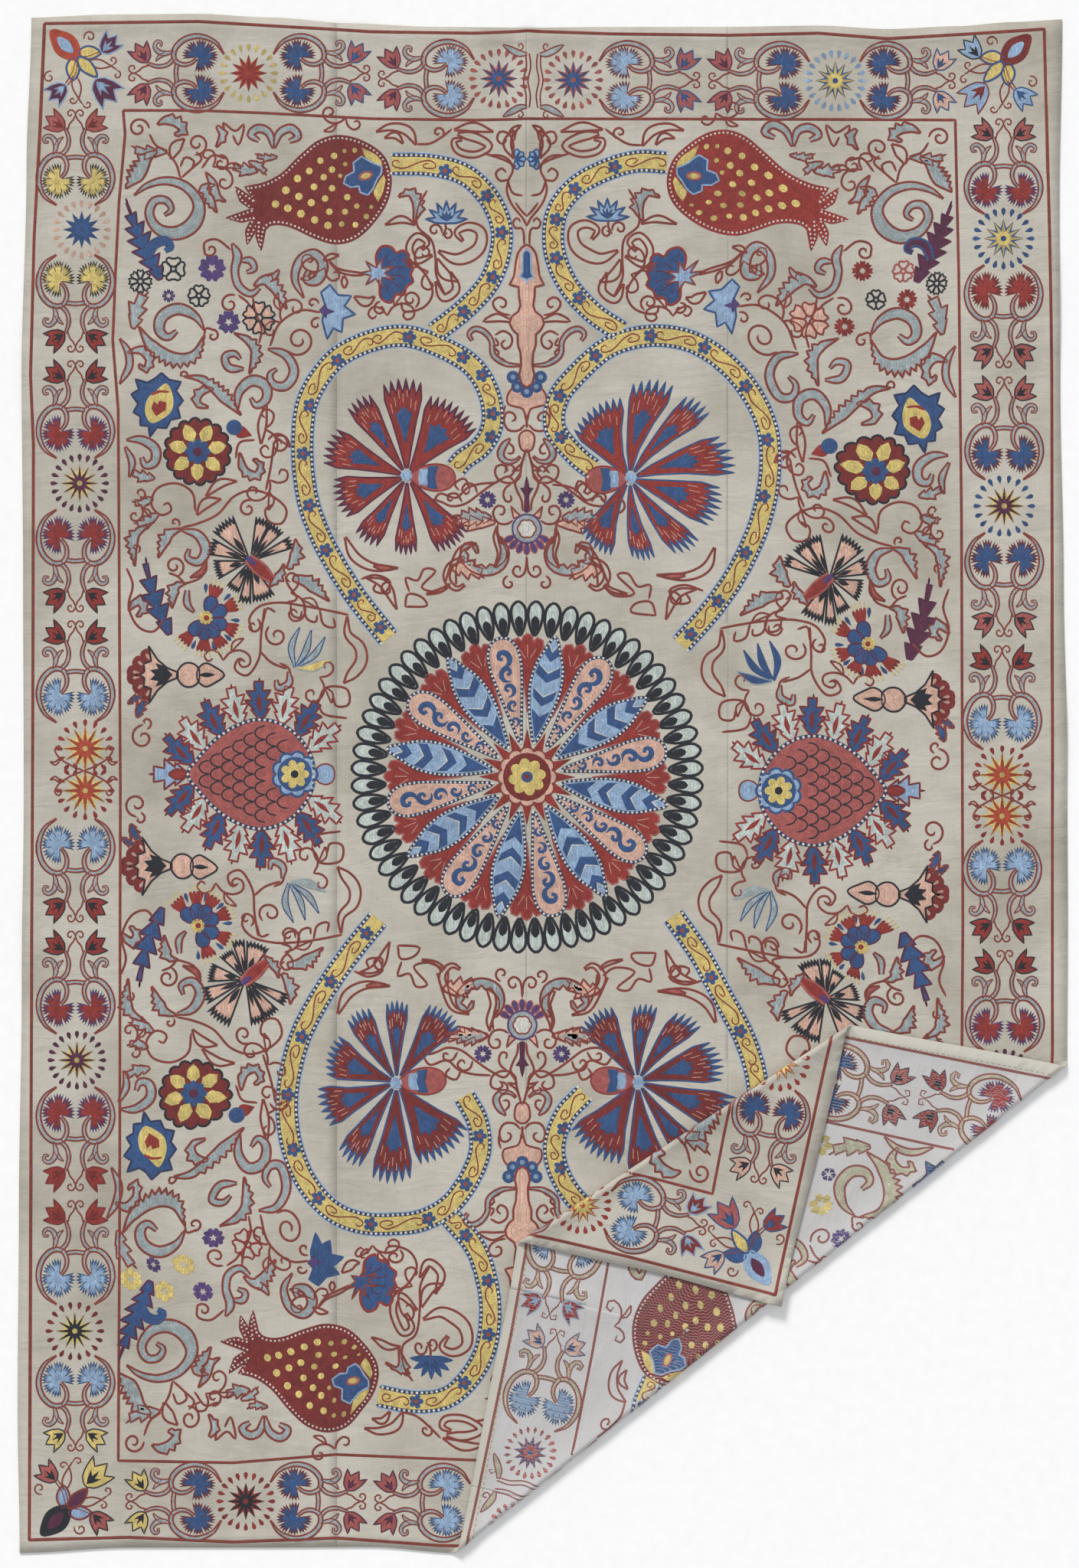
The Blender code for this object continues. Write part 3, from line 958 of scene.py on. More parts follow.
T = Thread
ROSETTES: tuple[Rosette, ...] = (
    Rosette(-42.7, 103.8, T.ORANGE, T.RED, T.YELLOW),
    Rosette(-6.4, 103.0, T.ROSE, T.BLUE, T.ROSE, 20, 1.02),
    Rosette(4.4, 102.8, T.ROSE, T.BLUE, T.ROSE, 20, 1.02),
    Rosette(42.4, 102.7, T.BLUE, T.YELLOW, T.SKY, 22, 1.05),
    Rosette(-66.9, 81.1, T.BLUE, T.BLUE, T.PINK),
    Rosette(-67.2, 44.3, T.YELLOW, T.PLUM, T.PLUM, 20),
    Rosette(-66.4, 5.8, T.YELLOW, T.ORANGE, T.RED, 16, 1.0, 1.22),
    Rosette(-66.4, -0.3, T.YELLOW, T.ORANGE, T.RED, 16, 1.0, 1.22),
    Rosette(-67.6, -39.4, T.YELLOW, T.PLUM, T.PLUM, 20),
    Rosette(-67.9, -78.7, T.YELLOW, T.BLACK, T.DEEP, 18),
    Rosette(66.8, 79.8, T.BLUE, T.YELLOW, T.BLUE, 20, 1.05),
    Rosette(66.9, 41.0, T.YELLOW, T.PLUM, T.BLUE, 18, 1.05),
    Rosette(66.6, 2.0, T.YELLOW, T.ORANGE, T.RED, 16, 1.0, 1.22),
    Rosette(66.6, -4.0, T.YELLOW, T.ORANGE, T.RED, 16, 1.0, 1.22),
    Rosette(67.0, -42.0, T.YELLOW, T.PLUM, T.PLUM, 20),
    Rosette(66.5, -80.0, T.ORANGE, T.YELLOW, T.RED, 18),
    Rosette(-43.1, -103.4, T.RED, T.BLACK, T.RED, 20),
    Rosette(-7.0, -103.6, T.BLUE, T.ROSE, T.ROSE, 20, 0.9),
    Rosette(4.2, -103.9, T.BLUE, T.ROSE, T.ROSE, 20, 0.9),
    Rosette(42.0, -105.6, T.ORANGE, T.YELLOW, T.RED, 20),
)
HALF_RUNS: tuple[HalfRun, ...] = (
    HalfRun(-42.7, 103.8, 180, 18.0, T.BLUE, T.DEEP, T.ROSE, T.PLUM),
    HalfRun(-42.7, 103.8, 0, 18.2, T.BLUE, T.DEEP, T.ROSE, T.BLUE),
    HalfRun(-6.4, 103.0, 180, 18.1, T.SKY, T.DEEP, T.ROSE, T.PLUM),
    HalfRun(4.4, 102.8, 0, 19.0, T.SKY, T.DEEP, T.ROSE, T.BLUE),
    HalfRun(42.4, 102.7, 180, 19.0, T.BLUE, T.DEEP, T.ROSE, T.PLUM),
    HalfRun(42.4, 102.7, 0, 18.0, T.BLUE, T.DEEP, T.PINK, T.BLUE),
    HalfRun(-67.8, 81.1, 90, 18.0, T.YELLOW, T.BLACK, T.ROSE, T.DEEP),
    HalfRun(-67.8, 81.1, -90, 18.4, T.YELLOW, T.BLACK, T.RED, T.BLACK),
    HalfRun(-67.8, 44.3, 90, 18.4, T.RED, T.VIOLET, T.RED, T.BLACK),
    HalfRun(-67.8, 44.3, -90, 19.3, T.RED, T.VIOLET, T.RED, T.BLACK),
    HalfRun(-67.8, 5.8, 90, 19.2, T.SKY, T.BLUE, T.RED, T.BLACK),
    HalfRun(-67.8, -0.5, -90, 19.5, T.SKY, T.BLUE, T.RED, T.BLACK),
    HalfRun(-67.8, -39.4, 90, 19.4, T.RED, T.VIOLET, T.RED, T.BLACK),
    HalfRun(-67.8, -39.4, -90, 19.6, T.RED, T.VIOLET, T.RED, T.DEEP),
    HalfRun(-67.8, -78.7, 90, 19.6, T.SKY, T.BLUE, T.RED, T.DEEP),
    HalfRun(-67.8, -78.7, -90, 18.0, T.SKY, T.BLUE, T.YELLOW, T.BLACK),
    HalfRun(66.8, 79.8, 90, 18.0, T.RED, T.VIOLET, T.ROSE, T.BLACK),
    HalfRun(66.8, 79.8, -90, 19.4, T.RED, T.DEEP, T.ROSE, T.BLACK),
    HalfRun(66.9, 41.0, 90, 19.4, T.BLUE, T.DEEP, T.ROSE, T.BLACK),
    HalfRun(66.9, 41.0, -90, 19.6, T.BLUE, T.DEEP, T.ROSE, T.BLACK),
    HalfRun(66.6, 1.8, 90, 19.6, T.SKY, T.BLUE, T.RED, T.BLACK),
    HalfRun(66.6, -3.7, -90, 19.2, T.SKY, T.BLUE, T.RED, T.BLACK),
    HalfRun(67.0, -42.0, 90, 19.2, T.RED, T.VIOLET, T.RED, T.BLACK),
    HalfRun(67.0, -42.0, -90, 19.0, T.RED, T.VIOLET, T.RED, T.BLACK),
    HalfRun(66.5, -80.0, 90, 19.0, T.BLUE, T.DEEP, T.ROSE, T.BLACK),
    HalfRun(66.5, -80.0, -90, 18.5, T.BLUE, T.DEEP, T.PINK, T.BLACK),
    HalfRun(-43.1, -103.4, 180, 18.0, T.BLUE, T.DEEP, T.YELLOW, T.BLACK),
    HalfRun(-43.1, -103.4, 0, 18.0, T.BLUE, T.DEEP, T.ROSE, T.PLUM),
    HalfRun(-7.0, -103.6, 180, 18.0, T.SKY, T.BLUE, T.ROSE, T.PLUM),
    HalfRun(4.2, -103.9, 0, 19.0, T.SKY, T.BLUE, T.PINK, T.BLUE),
    HalfRun(42.0, -105.6, 180, 19.0, T.SKY, T.BLUE, T.RED, T.SKY),
    HalfRun(42.0, -105.6, 0, 19.0, T.SKY, T.BLUE, T.DEEP, T.SKY),
)
OUTER_LINE: Points = (
    (-72.3, 111.0), (-73.0, 95.0), (-73.8, 80.0), (-74.3, 60.0), (-73.9, 50.0), (-74.0, 10.0),
    (-74.3, -60.0), (-74.5, -109.0), (-60.0, -108.6), (-45.0, -109.3), (-30.0, -108.7), (-15.0, -109.8),
    (20.0, -110.4), (50.0, -111.8), (71.9, -113.3), (72.9, -80.0), (73.6, -50.0), (73.9, -38.0),
    (73.9, 0.0), (73.8, 60.0), (73.5, 80.0), (72.7, 110.2), (62.0, 109.5), (50.0, 108.8), (40.0, 109.6),
    (27.0, 109.3), (10.0, 109.5), (-2.0, 109.9), (-10.0, 109.6), (-25.0, 109.8), (-40.0, 110.7),
    (-50.0, 111.3),
)
INNER_LINE: Points = (
    (-60.9, 98.4), (-60.6, 95.0), (-61.5, 85.0), (-62.0, 75.0), (-62.4, 65.0), (-61.6, 55.0),
    (-61.3, 0.0), (-61.4, -60.0), (-61.6, -97.5), (-45.0, -97.8), (-30.0, -96.6), (-8.0, -97.5),
    (20.0, -98.3), (45.0, -99.5), (60.3, -100.6), (60.6, -60.0), (60.9, -20.0), (60.7, 40.0),
    (60.3, 75.0), (59.8, 97.0), (40.0, 97.1), (0.0, 97.2), (-10.0, 97.0), (-25.0, 97.2), (-40.0, 98.0),
    (-50.0, 98.4),
)
CORNERS: tuple[tuple[float, float, float, bool, CornerThreads], ...] = (
    (-67.0, 104.5, 0, False,
     CornerThreads(T.ORANGE, T.SKY, T.YELLOW, T.YELLOW,
                   ((T.PLUM, T.SKY), (T.PLUM, T.SKY), (T.PLUM, T.SKY)))),
    (66.3, 103.8, 180, True,
     CornerThreads(T.DEEP, T.SKY, T.YELLOW, T.YELLOW,
                   ((T.SKY, T.BLACK), (T.SKY, T.BLUE), (T.SKY, T.DEEP)))),
    (-68.4, -102.8, 0, True,
     CornerThreads(T.BLACK, T.PLUM, T.SKY, T.PLUM,
                   ((T.ROSE, T.BLACK), (T.ROSE, T.BLACK), (T.YELLOW, T.BLACK)), T.MADDER)),
    (66.4, -106.5, 180, False,
     CornerThreads(T.SKY, T.PLUM, T.BLUE, T.YELLOW, ((T.PINK, T.BLUE), (T.RED, T.BLUE), (T.ROSE, T.BLUE)))),
)


@dataclass(frozen=True)
class Border:
    """The border: its two framing lines, the rosettes, the runs between them, and the corners."""

    rosettes: tuple[Rosette, ...] = ROSETTES
    runs: tuple[HalfRun, ...] = HALF_RUNS

    def sew(self, hand: Hand) -> None:
        """Sews the whole border."""
        hand.line(OUTER_LINE, T.MADDER, 0.44, closed=True, curved=False)
        hand.line(INNER_LINE, T.MADDER, 0.4, closed=True, curved=False)
        for rosette in self.rosettes:
            rosette.sew(hand)
        for run in self.runs:
            run.sew(hand)
        for x, y, turn, mirror, threads in CORNERS:
            threads.sew(hand.at(x, y, turn, mirror=mirror))
        for y in (102.7, -103.8):
            self.middle_bars(hand.at(-1.4, y))
        for x, y in ((-66.6, 2.6), (66.6, -1.0)):
            self.crossing(hand.at(x, y, 0, 0.84))

    def crossing(self, here: Hand) -> None:
        """Sews the two crossing lines between a side's middle rosettes, each with a hook at its end."""
        for sign in (1, -1):
            for mirror in (False, True):
                half = here.at(0, 0, 0 if sign > 0 else 180, mirror=mirror)
                half.line(((0.0, 0.0), (2.2, 0.9), (4.4, 2.4), (5.0, 3.8), (4.2, 4.3), (3.8, 3.4)),
                          wide=0.26)
                half.leaf(((4.0, 2.2), (5.0, 1.2), (5.8, 1.6)), (0.1, 0.5, 0.05), None, edge_wide=0.24)

    def middle_bars(self, here: Hand) -> None:
        """Sews the two wavy bars between a side's two middle rosettes, with a leaf and a hook at each end."""
        for sign in (1, -1):
            bar = here.at(0, 0, 0 if sign > 0 else 180)
            bar.leaf(((0.85, -3.9), (0.7, -2.0), (1.1, 0.0), (0.75, 2.2), (0.85, 3.9)),
                     (0.5, 0.6, 0.6, 0.6, 0.5), None, edge_wide=0.22)
            for mirror in (False, True):
                end = bar.at(0, 0, mirror=mirror)
                end.leaf(((0.9, 3.8), (1.9, 3.9), (3.0, 4.4), (4.4, 5.2)), (0.3, 0.9, 0.8, 0.05), T.MIST,
                         edge_wide=0.22)
                end.spiral(1.9, 5.0, 0.62, 0.2, -90, -330, wide=0.22)


def bead_row(hand: Hand, path: np.ndarray, gap: float, radius: float, thread: Thread, level: int = 2,
             start: float = 0.0) -> None:
    """Small round stitches at even steps along a path: each a six-sided cap with a raised middle.

    Args:
        hand: where the path is drawn.
        path: the path's points.
        gap: the step from bead to bead.
        radius: a bead's radius.
        thread: the thread.
        level: how many layers of thread the beads lie on.
        start: how far along the first bead lies.
    """
    carried = hand.carry(path)
    lengths = np.concatenate([[0.0], np.cumsum(np.linalg.norm(np.diff(carried, axis=0), axis=1))])
    along = np.arange(start, lengths[-1], gap)
    middles = np.stack([np.interp(along, lengths, carried[:, k]) for k in range(2)], axis=1)
    angles = np.arange(6) * math.tau / 6
    ring = np.stack([np.cos(angles), np.sin(angles)], axis=1) * radius
    flat = np.concatenate([middles[:, None], middles[:, None] + ring], axis=1)
    high = np.concatenate([[hand.work.raised],
                           np.full(6, 0.0001)]) + (level + hand.lay) * hand.work.level_step
    fan = np.array([(0, 1 + k, 1 + (k + 1) % 6) for k in range(6)])
    faces = (np.arange(len(middles))[:, None, None] * 7 + fan).reshape(-1, 3)
    flat = flat.reshape(-1, 2) * CM
    hand.work.surfaces[thread].append(Surface(flat, np.tile(high, len(middles)), flat * 1.0, faces))


def beside(path: np.ndarray, offset: float | np.ndarray) -> np.ndarray:
    """A path moved sideways, to the left where the offset is more than nothing."""
    return path + np.reshape(offset, (-1, 1)) * leftward(path)


@dataclass(frozen=True)
class Stem:
    """A broad yellow stem: its middle line and the places of its flowers, in the flat cloth's centimetres."""

    points: Points
    flowers: Points
    wide: float = 2.3
    band: Thread = Thread.YELLOW
    scroll: Points = (
        (0.14, 0.2), (0.06, 0.62), (-0.04, 0.3), (0.02, -0.4), (0.2, -0.6), (0.42, -0.2), (0.62, 0.35),
        (0.82, 0.65), (0.98, 0.2), (0.92, -0.45), (0.74, -0.5), (0.7, 0.05), (0.82, 0.2),
    )

    def sew(self, hand: Hand) -> None:
        """Sews the band, its two beaded rims, its flowers and the scrolls between them."""
        path = evenly(curve(np.array(self.points, float)), 0.4)[0]
        half = np.full(len(path), self.wide / 2)
        hand.work.ribbon(hand.carry(path), half, self.band, hand.lay, BROAD_SECTION)
        for sign in (1, -1):
            hand.line(beside(path, sign * (self.wide / 2 + 0.48)), Thread.SKY, 0.3, curved=False, level=0)
            rim = beside(path, sign * (self.wide / 2 + 0.18))
            hand.line(rim, Thread.NIGHT, 0.5, curved=False, level=1)
            bead_row(hand, rim, 0.72, 0.21, Thread.WHITE, 2)
        _, along = evenly(path, 0.4)
        distance = np.linalg.norm(path[:, None] - np.array(self.flowers)[None], axis=2)
        stops = np.sort(along[distance.argmin(axis=0)])
        starts = np.concatenate([[-0.8], stops])
        ends = np.concatenate([stops, [along[-1] + 0.8]])
        for start, end in zip(starts + 1.2, ends - 1.2):
            count = max(1, round((end - start) / 5.0))
            for k in range(count if end - start > 1.6 else 0):
                self.curls(hand, path, along, start + (end - start) * k / count, (end - start) / count)
        for x, y in self.flowers:
            bloom = hand.at(x, y)
            bloom.fill(lobed(1.1, 0.66, 5), Thread.BLUE, level=1)
            bloom.disc(0, 0, 0.36, Thread.ROSE, level=2)

    def curls(self, hand: Hand, path: np.ndarray, along: np.ndarray, start: float, long: float) -> None:
        """Sews one scroll along the stem, a line that hooks at one end and winds in at the other."""
        share, aside = curve(np.array(self.scroll)).T
        places = start + share * long * 0.96
        middle = np.stack([np.interp(places, along, path[:, k]) for k in range(2)], axis=1)
        ahead = np.stack([np.interp(places + 0.2, along, path[:, k]) for k in range(2)], axis=1)
        back = np.stack([np.interp(places - 0.2, along, path[:, k]) for k in range(2)], axis=1)
        run = (ahead - back) / np.maximum(np.linalg.norm(ahead - back, axis=1, keepdims=True), 1e-9)
        side = np.stack([-run[:, 1], run[:, 0]], axis=1)
        hand.line(middle + side * aside[:, None], Thread.MADDER, 0.3, curved=False)


@dataclass(frozen=True)
class Pomegranate:
    """The pomegranate at the end of a stem: round body, crown, spots and the flower at its mouth."""

    body: Points = (
        (-40.3, 81.1), (-39.7, 81.7), (-38.3, 81.9), (-36.5, 81.5), (-33.0, 79.9), (-30.0, 79.1),
        (-27.2, 79.8), (-24.4, 82.4), (-22.5, 85.6), (-22.1, 88.9), (-23.2, 91.8), (-26.2, 93.9),
        (-29.8, 94.7), (-32.6, 93.9), (-35.2, 91.8), (-38.0, 89.1), (-40.6, 87.8), (-43.2, 87.3),
    )
    crown: Points = (
        (-41.8, 85.4), (-44.6, 87.3), (-43.9, 85.2), (-42.2, 84.1), (-45.9, 82.8), (-43.6, 82.2),
        (-42.2, 82.7), (-43.1, 80.9), (-42.9, 79.0), (-41.9, 80.6), (-41.4, 82.2), (-41.6, 80.2),
        (-40.9, 78.1),
    )
    spots: tuple[tuple[float, float, float], ...] = (
        (-30.3, 91.8, 0.5), (-28.8, 92.5, 0.32), (-27.3, 92.6, 0.38), (-32.3, 91.1, 0.5),
        (-28.7, 90.6, 0.34), (-33.9, 89.6, 0.52), (-30.6, 89.8, 0.5), (-29.4, 88.9, 0.32),
        (-31.8, 88.7, 0.5), (-35.6, 88.5, 0.56), (-33.2, 87.3, 0.52), (-30.6, 87.1, 0.5),
        (-37.3, 86.8, 0.6), (-35.4, 85.9, 0.56), (-28.4, 85.8, 0.5), (-31.6, 85.6, 0.5),
        (-33.6, 85.0, 0.56), (-38.8, 84.8, 0.58), (-37.0, 84.2, 0.58), (-27.0, 84.5, 0.4),
        (-24.9, 84.4, 0.3), (-35.1, 83.4, 0.6), (-31.0, 83.7, 0.5), (-28.7, 83.7, 0.46), (-25.6, 83.0, 0.42),
        (-33.1, 82.5, 0.56), (-31.2, 81.7, 0.56), (-29.2, 81.9, 0.42), (-27.2, 81.8, 0.46),
    )

    def sew(self, hand: Hand, body: Thread = Thread.DEEP) -> None:
        """Sews the body with its white row inside the rim, the spots and the flower."""
        ring = np.vstack([curve(np.array(self.body), samples=5), np.array(self.crown)])
        hand.fill(ring, body, grain=0, edge=body, edge_wide=0.3)
        closed = np.vstack([ring, ring[:1]])
        bead_row(hand, beside(closed, 0.3), 0.62, 0.16, Thread.WHITE, 1)
        for x, y, radius in self.spots:
            hand.disc(x, y, radius, Thread.YELLOW)
        for leaf in (((-26.3, 93.0), (-25.2, 92.5), (-24.1, 91.9), (-23.4, 91.0), (-23.3, 90.4),
                      (-24.5, 90.6), (-25.8, 91.6)),
                     ((-23.1, 89.1), (-22.8, 88.3), (-23.2, 86.5), (-23.9, 85.1), (-24.5, 86.1),
                      (-24.6, 86.6),
                      (-24.1, 87.6))):
            hand.fill(leaf, Thread.YELLOW, level=1)
        hand.fill(((-23.4, 90.3), (-24.8, 90.8), (-26.3, 91.7), (-27.5, 90.8), (-27.4, 89.5),
                   (-28.6, 88.8), (-28.9, 87.8), (-27.8, 87.2), (-26.7, 87.4), (-26.5, 86.5),
                   (-25.4, 86.1), (-24.7, 86.9), (-24.1, 88.3), (-23.4, 89.3)), Thread.BLUE, 2,
                  edge=Thread.SKY, edge_wide=0.24)
        eye = hand.at(-25.7, 88.9, 15)
        eye.fill(ring_points(0, 0, 0.85, 12) * (1.3, 0.8), Thread.ROSE, 3)
        eye.fill(ring_points(0, 0, 0.56, 10) * (1.4, 0.75), Thread.YELLOW, 4)


@dataclass(frozen=True)
class GreatCarnation:
    """A great pinked carnation: for each petal its angle, length, half-width in degrees and teeth."""

    petals: tuple[tuple[float, float, float, int], ...] = (
        (56, 12.6, 21.5, 9), (95, 14.2, 13.5, 6), (125, 13.4, 10, 5), (160.5, 12.6, 14.5, 6),
        (200, 10.9, 18, 7), (239, 11.3, 11.5, 5), (271, 11.3, 9.5, 5), (307, 12.2, 14, 7),
    )

    def petal(self, here: Hand, shape: tuple[float, float, int], red: Thread, tip: Thread) -> None:
        """Sews one petal: a toothed wedge in blue outline, blue teeth, a jagged blue tear and pale flecks."""
        long, half, teeth = shape
        count = np.arange(2 * teeth + 1)
        turns = np.radians(half * (1 - count / teeth))
        radii = np.where(count % 2 == 0, 0.85, 1.0) * long * (1 - 0.05 * (1 - count / teeth) ** 2)
        rim = np.stack([radii * np.cos(turns), radii * np.sin(turns)], axis=1)
        sides = self.polar(long, half, ((0.09, 0.75), (0.3, 0.84), (0.58, 0.92)))
        here.fill(np.vstack([sides, rim, sides[::-1] * (1, -1)]), red, edge=tip, edge_wide=0.24)
        for k in range(1, 2 * teeth, 2):
            here.at(0, 0, math.degrees(turns[k])).leaf(
                ((long * 0.9, 0), (radii[k] - 0.3, 0), (radii[k] + 0.15, 0)), (0.2, 0.42, 0.05), tip,
                None, 1)
        tear = self.polar(long, half, ((0.34, 0.06), (0.5, 0.36), (0.67, 0.58), (0.65, 0.3), (0.72, 0.2)))
        here.fill(np.vstack([tear, ((long * 0.68, 0),), tear[::-1] * (1, -1)]), Thread.BLUE, 1)
        for share, first, last in ((0.0, 0.76, 0.84), (0.45, 0.72, 0.82), (-0.45, 0.7, 0.8),
                                   (0.72, 0.66, 0.76), (-0.72, 0.68, 0.78), (0.2, 0.8, 0.88),
                                   (-0.22, 0.81, 0.88)):
            here.at(0, 0, half * share).line(((long * first, 0), (long * last, 0)), Thread.PINK, 0.26,
                                             level=1)

    def polar(self, long: float, half: float, places: Points) -> np.ndarray:
        """Places on a petal, given as shares of its length and of its half-width in degrees."""
        share, aside = np.array(places).T
        turn = np.radians(half * aside)
        return np.stack([share * long * np.cos(turn), share * long * np.sin(turn)], axis=1)

    def sew(self, here: Hand, red: Thread, tip: Thread, calyx: Thread) -> None:
        """Sews the petals, the knob they spring from, and the calyx with its two chevrons.

        Args:
            here: a hand at the base of the petals.
            red: the petals' thread.
            tip: the thread of the teeth's tips.
            calyx: the calyx's thread.
        """
        for angle, *shape in self.petals:
            self.petal(here.at(0.3, 0, angle), tuple(shape), red, tip)
        body = here.at(4.0, 0)
        body.fill(((3.3, 0), (2.7, 1.3), (0.9, 1.95), (-1.4, 1.6), (-3.0, 0.6), (-3.5, 0), (-3.0, -0.6),
                   (-1.4, -1.6), (0.9, -1.95), (2.7, -1.3)), calyx, 1, True, edge=Thread.RED,
                  edge_wide=0.22)
        for x, wide, thread in ((-2.1, 1.15, Thread.SKY), (-0.9, 1.6, Thread.BLUE)):
            body.fill(((x, 0), (x + 0.2, wide), (x + 1.7, wide + 0.1), (x + 1.3, 0),
                       (x + 1.7, -wide - 0.1), (x + 0.2, -wide)), thread, 2)
        here.disc(0.2, 0.1, 0.85, Thread.SKY, 2)


@dataclass(frozen=True)
class Medallion:
    """The great round at the middle: its place, its ring of drops and its sixteen petals."""

    x: float = -2.3
    y: float = 1.7
    drops: int = 60
    petals: int = 16

    def sew(self, hand: Hand) -> None:
        """Sews the ring, the petals, the hearts between them and the flower in the middle."""
        here = hand.at(self.x, self.y)
        for k in range(self.drops):
            spoke = here.at(0, 0, 360 * (k + 0.5) / self.drops)
            spoke.fill(((20.5, 0), (21.6, 0.66), (23.2, 1.04), (24.7, 0.92), (25.5, 0), (24.7, -0.92),
                        (23.2, -1.04), (21.6, -0.66)), Thread.PALE, 0, True, edge=Thread.BLACK,
                       edge_wide=0.44)
            spoke.fill(((20.8, 0), (21.6, 0.42), (22.7, 0.62), (23.4, 0), (22.7, -0.62), (21.6, -0.42)),
                       Thread.BLACK, 1, True)
        for k in range(self.petals):
            turn = 101 + 360 * k / self.petals
            self.heart(here.at(0, 0, turn + 180 / self.petals))
            self.petal(here.at(0, 0, turn), k % 2 == 0)
        here.fill(star(7.0, 3.9, 16, 101 + 180 / 16), Thread.RED, 1)
        here.fill(lobed(4.3, 3.75, 12), Thread.PINK, 2, edge=Thread.MADDER, edge_wide=0.24)
        here.fill(ring_points(0, 0, 3.5, 24), Thread.DEEP, 3)
        here.fill(lobed(2.75, 1.9, 8, 10), Thread.YELLOW, 4)
        here.disc(0, 0, 0.85, Thread.BLUE, 5)
        here.disc(0, 0, 0.4, Thread.RED, 6)

    def petal(self, spoke: Hand, pale: bool) -> None:
        """Sews one petal: pink with blue commas, or light blue with chevrons, inside a dark beaded rim."""
        broad = ((5.0, 0), (8.0, 0.7), (11.0, 1.35), (14.0, 1.95), (16.6, 2.3), (18.8, 2.1), (20.1, 1.2),
                 (20.5, 0))
        narrow = ((5.0, 0), (7.5, 1.0), (10.5, 1.85), (13.5, 2.25), (16.2, 2.0), (18.4, 1.2), (20.7, 0))
        shape = np.array(broad if pale else narrow)
        ring = curve(np.vstack([shape, shape[-2:0:-1] * (1, -1)]), True, 6)[:-1]
        spoke.fill(ring, Thread.PINK if pale else Thread.SKY, 1)
        closed = np.vstack([ring, ring[:1]])
        spoke.line(closed, Thread.NIGHT, 0.46, curved=False, level=2)
        bead_row(spoke, closed, 0.66, 0.19, Thread.WHITE, 3)
        if pale:
            for k, x in enumerate((8.1, 10.4, 12.7, 15.0, 17.3)):
                comma = spoke.at(x, 0.1, 0, 0.6 + 0.13 * k, k % 2 == 0)
                comma.leaf(((-1.0, -0.5), (-0.7, 0.5), (0.15, 0.8), (0.9, 0.35), (0.9, -0.45),
                            (0.25, -0.6), (0.1, -0.1)), (0.08, 0.5, 0.8, 0.85, 0.8, 0.6, 0.5),
                           Thread.BLUE, None, 2)
            return
        spoke.fill(((5.6, 0), (8.4, 0.95), (9.9, 1.3), (8.9, 0), (9.9, -1.3), (8.4, -0.95)), Thread.BLUE, 2)
        for x, wide, far in ((10.4, 1.5, 1.75), (13.9, 1.85, 1.6), (17.0, 1.25, 0.7)):
            spoke.fill(((x, 0), (x + 1.2, wide), (x + 2.6, far), (x + 1.5, 0), (x + 2.6, -far),
                        (x + 1.2, -wide)), Thread.BLUE, 2)
            spoke.line(((x + 2.5, far * 0.9), (x + 1.45, 0), (x + 2.5, -far * 0.9)), Thread.WHITE, 0.2,
                       curved=False, level=3)

    def heart(self, spoke: Hand) -> None:
        """Sews the three-lobed red heart between two petals' ends, with pale lines on it."""
        half = np.array(((9.4, 0), (13.0, 0.42), (16.0, 0.95), (17.6, 1.75), (18.8, 2.35), (19.8, 2.2),
                         (20.2, 1.4), (19.6, 0.85), (20.4, 0.65), (20.8, 0)))
        ring = np.vstack([half, half[-2:0:-1] * (1, -1)])
        spoke.fill(ring, Thread.RED, 0, edge=Thread.ROSE, edge_wide=0.24)
        for sign in (1, -1):
            spoke.line(((17.2, 0.35 * sign), (18.6, 1.25 * sign)), Thread.PINK, 0.26)
        spoke.line(((17.4, 0), (19.2, 0)), Thread.PINK, 0.26)


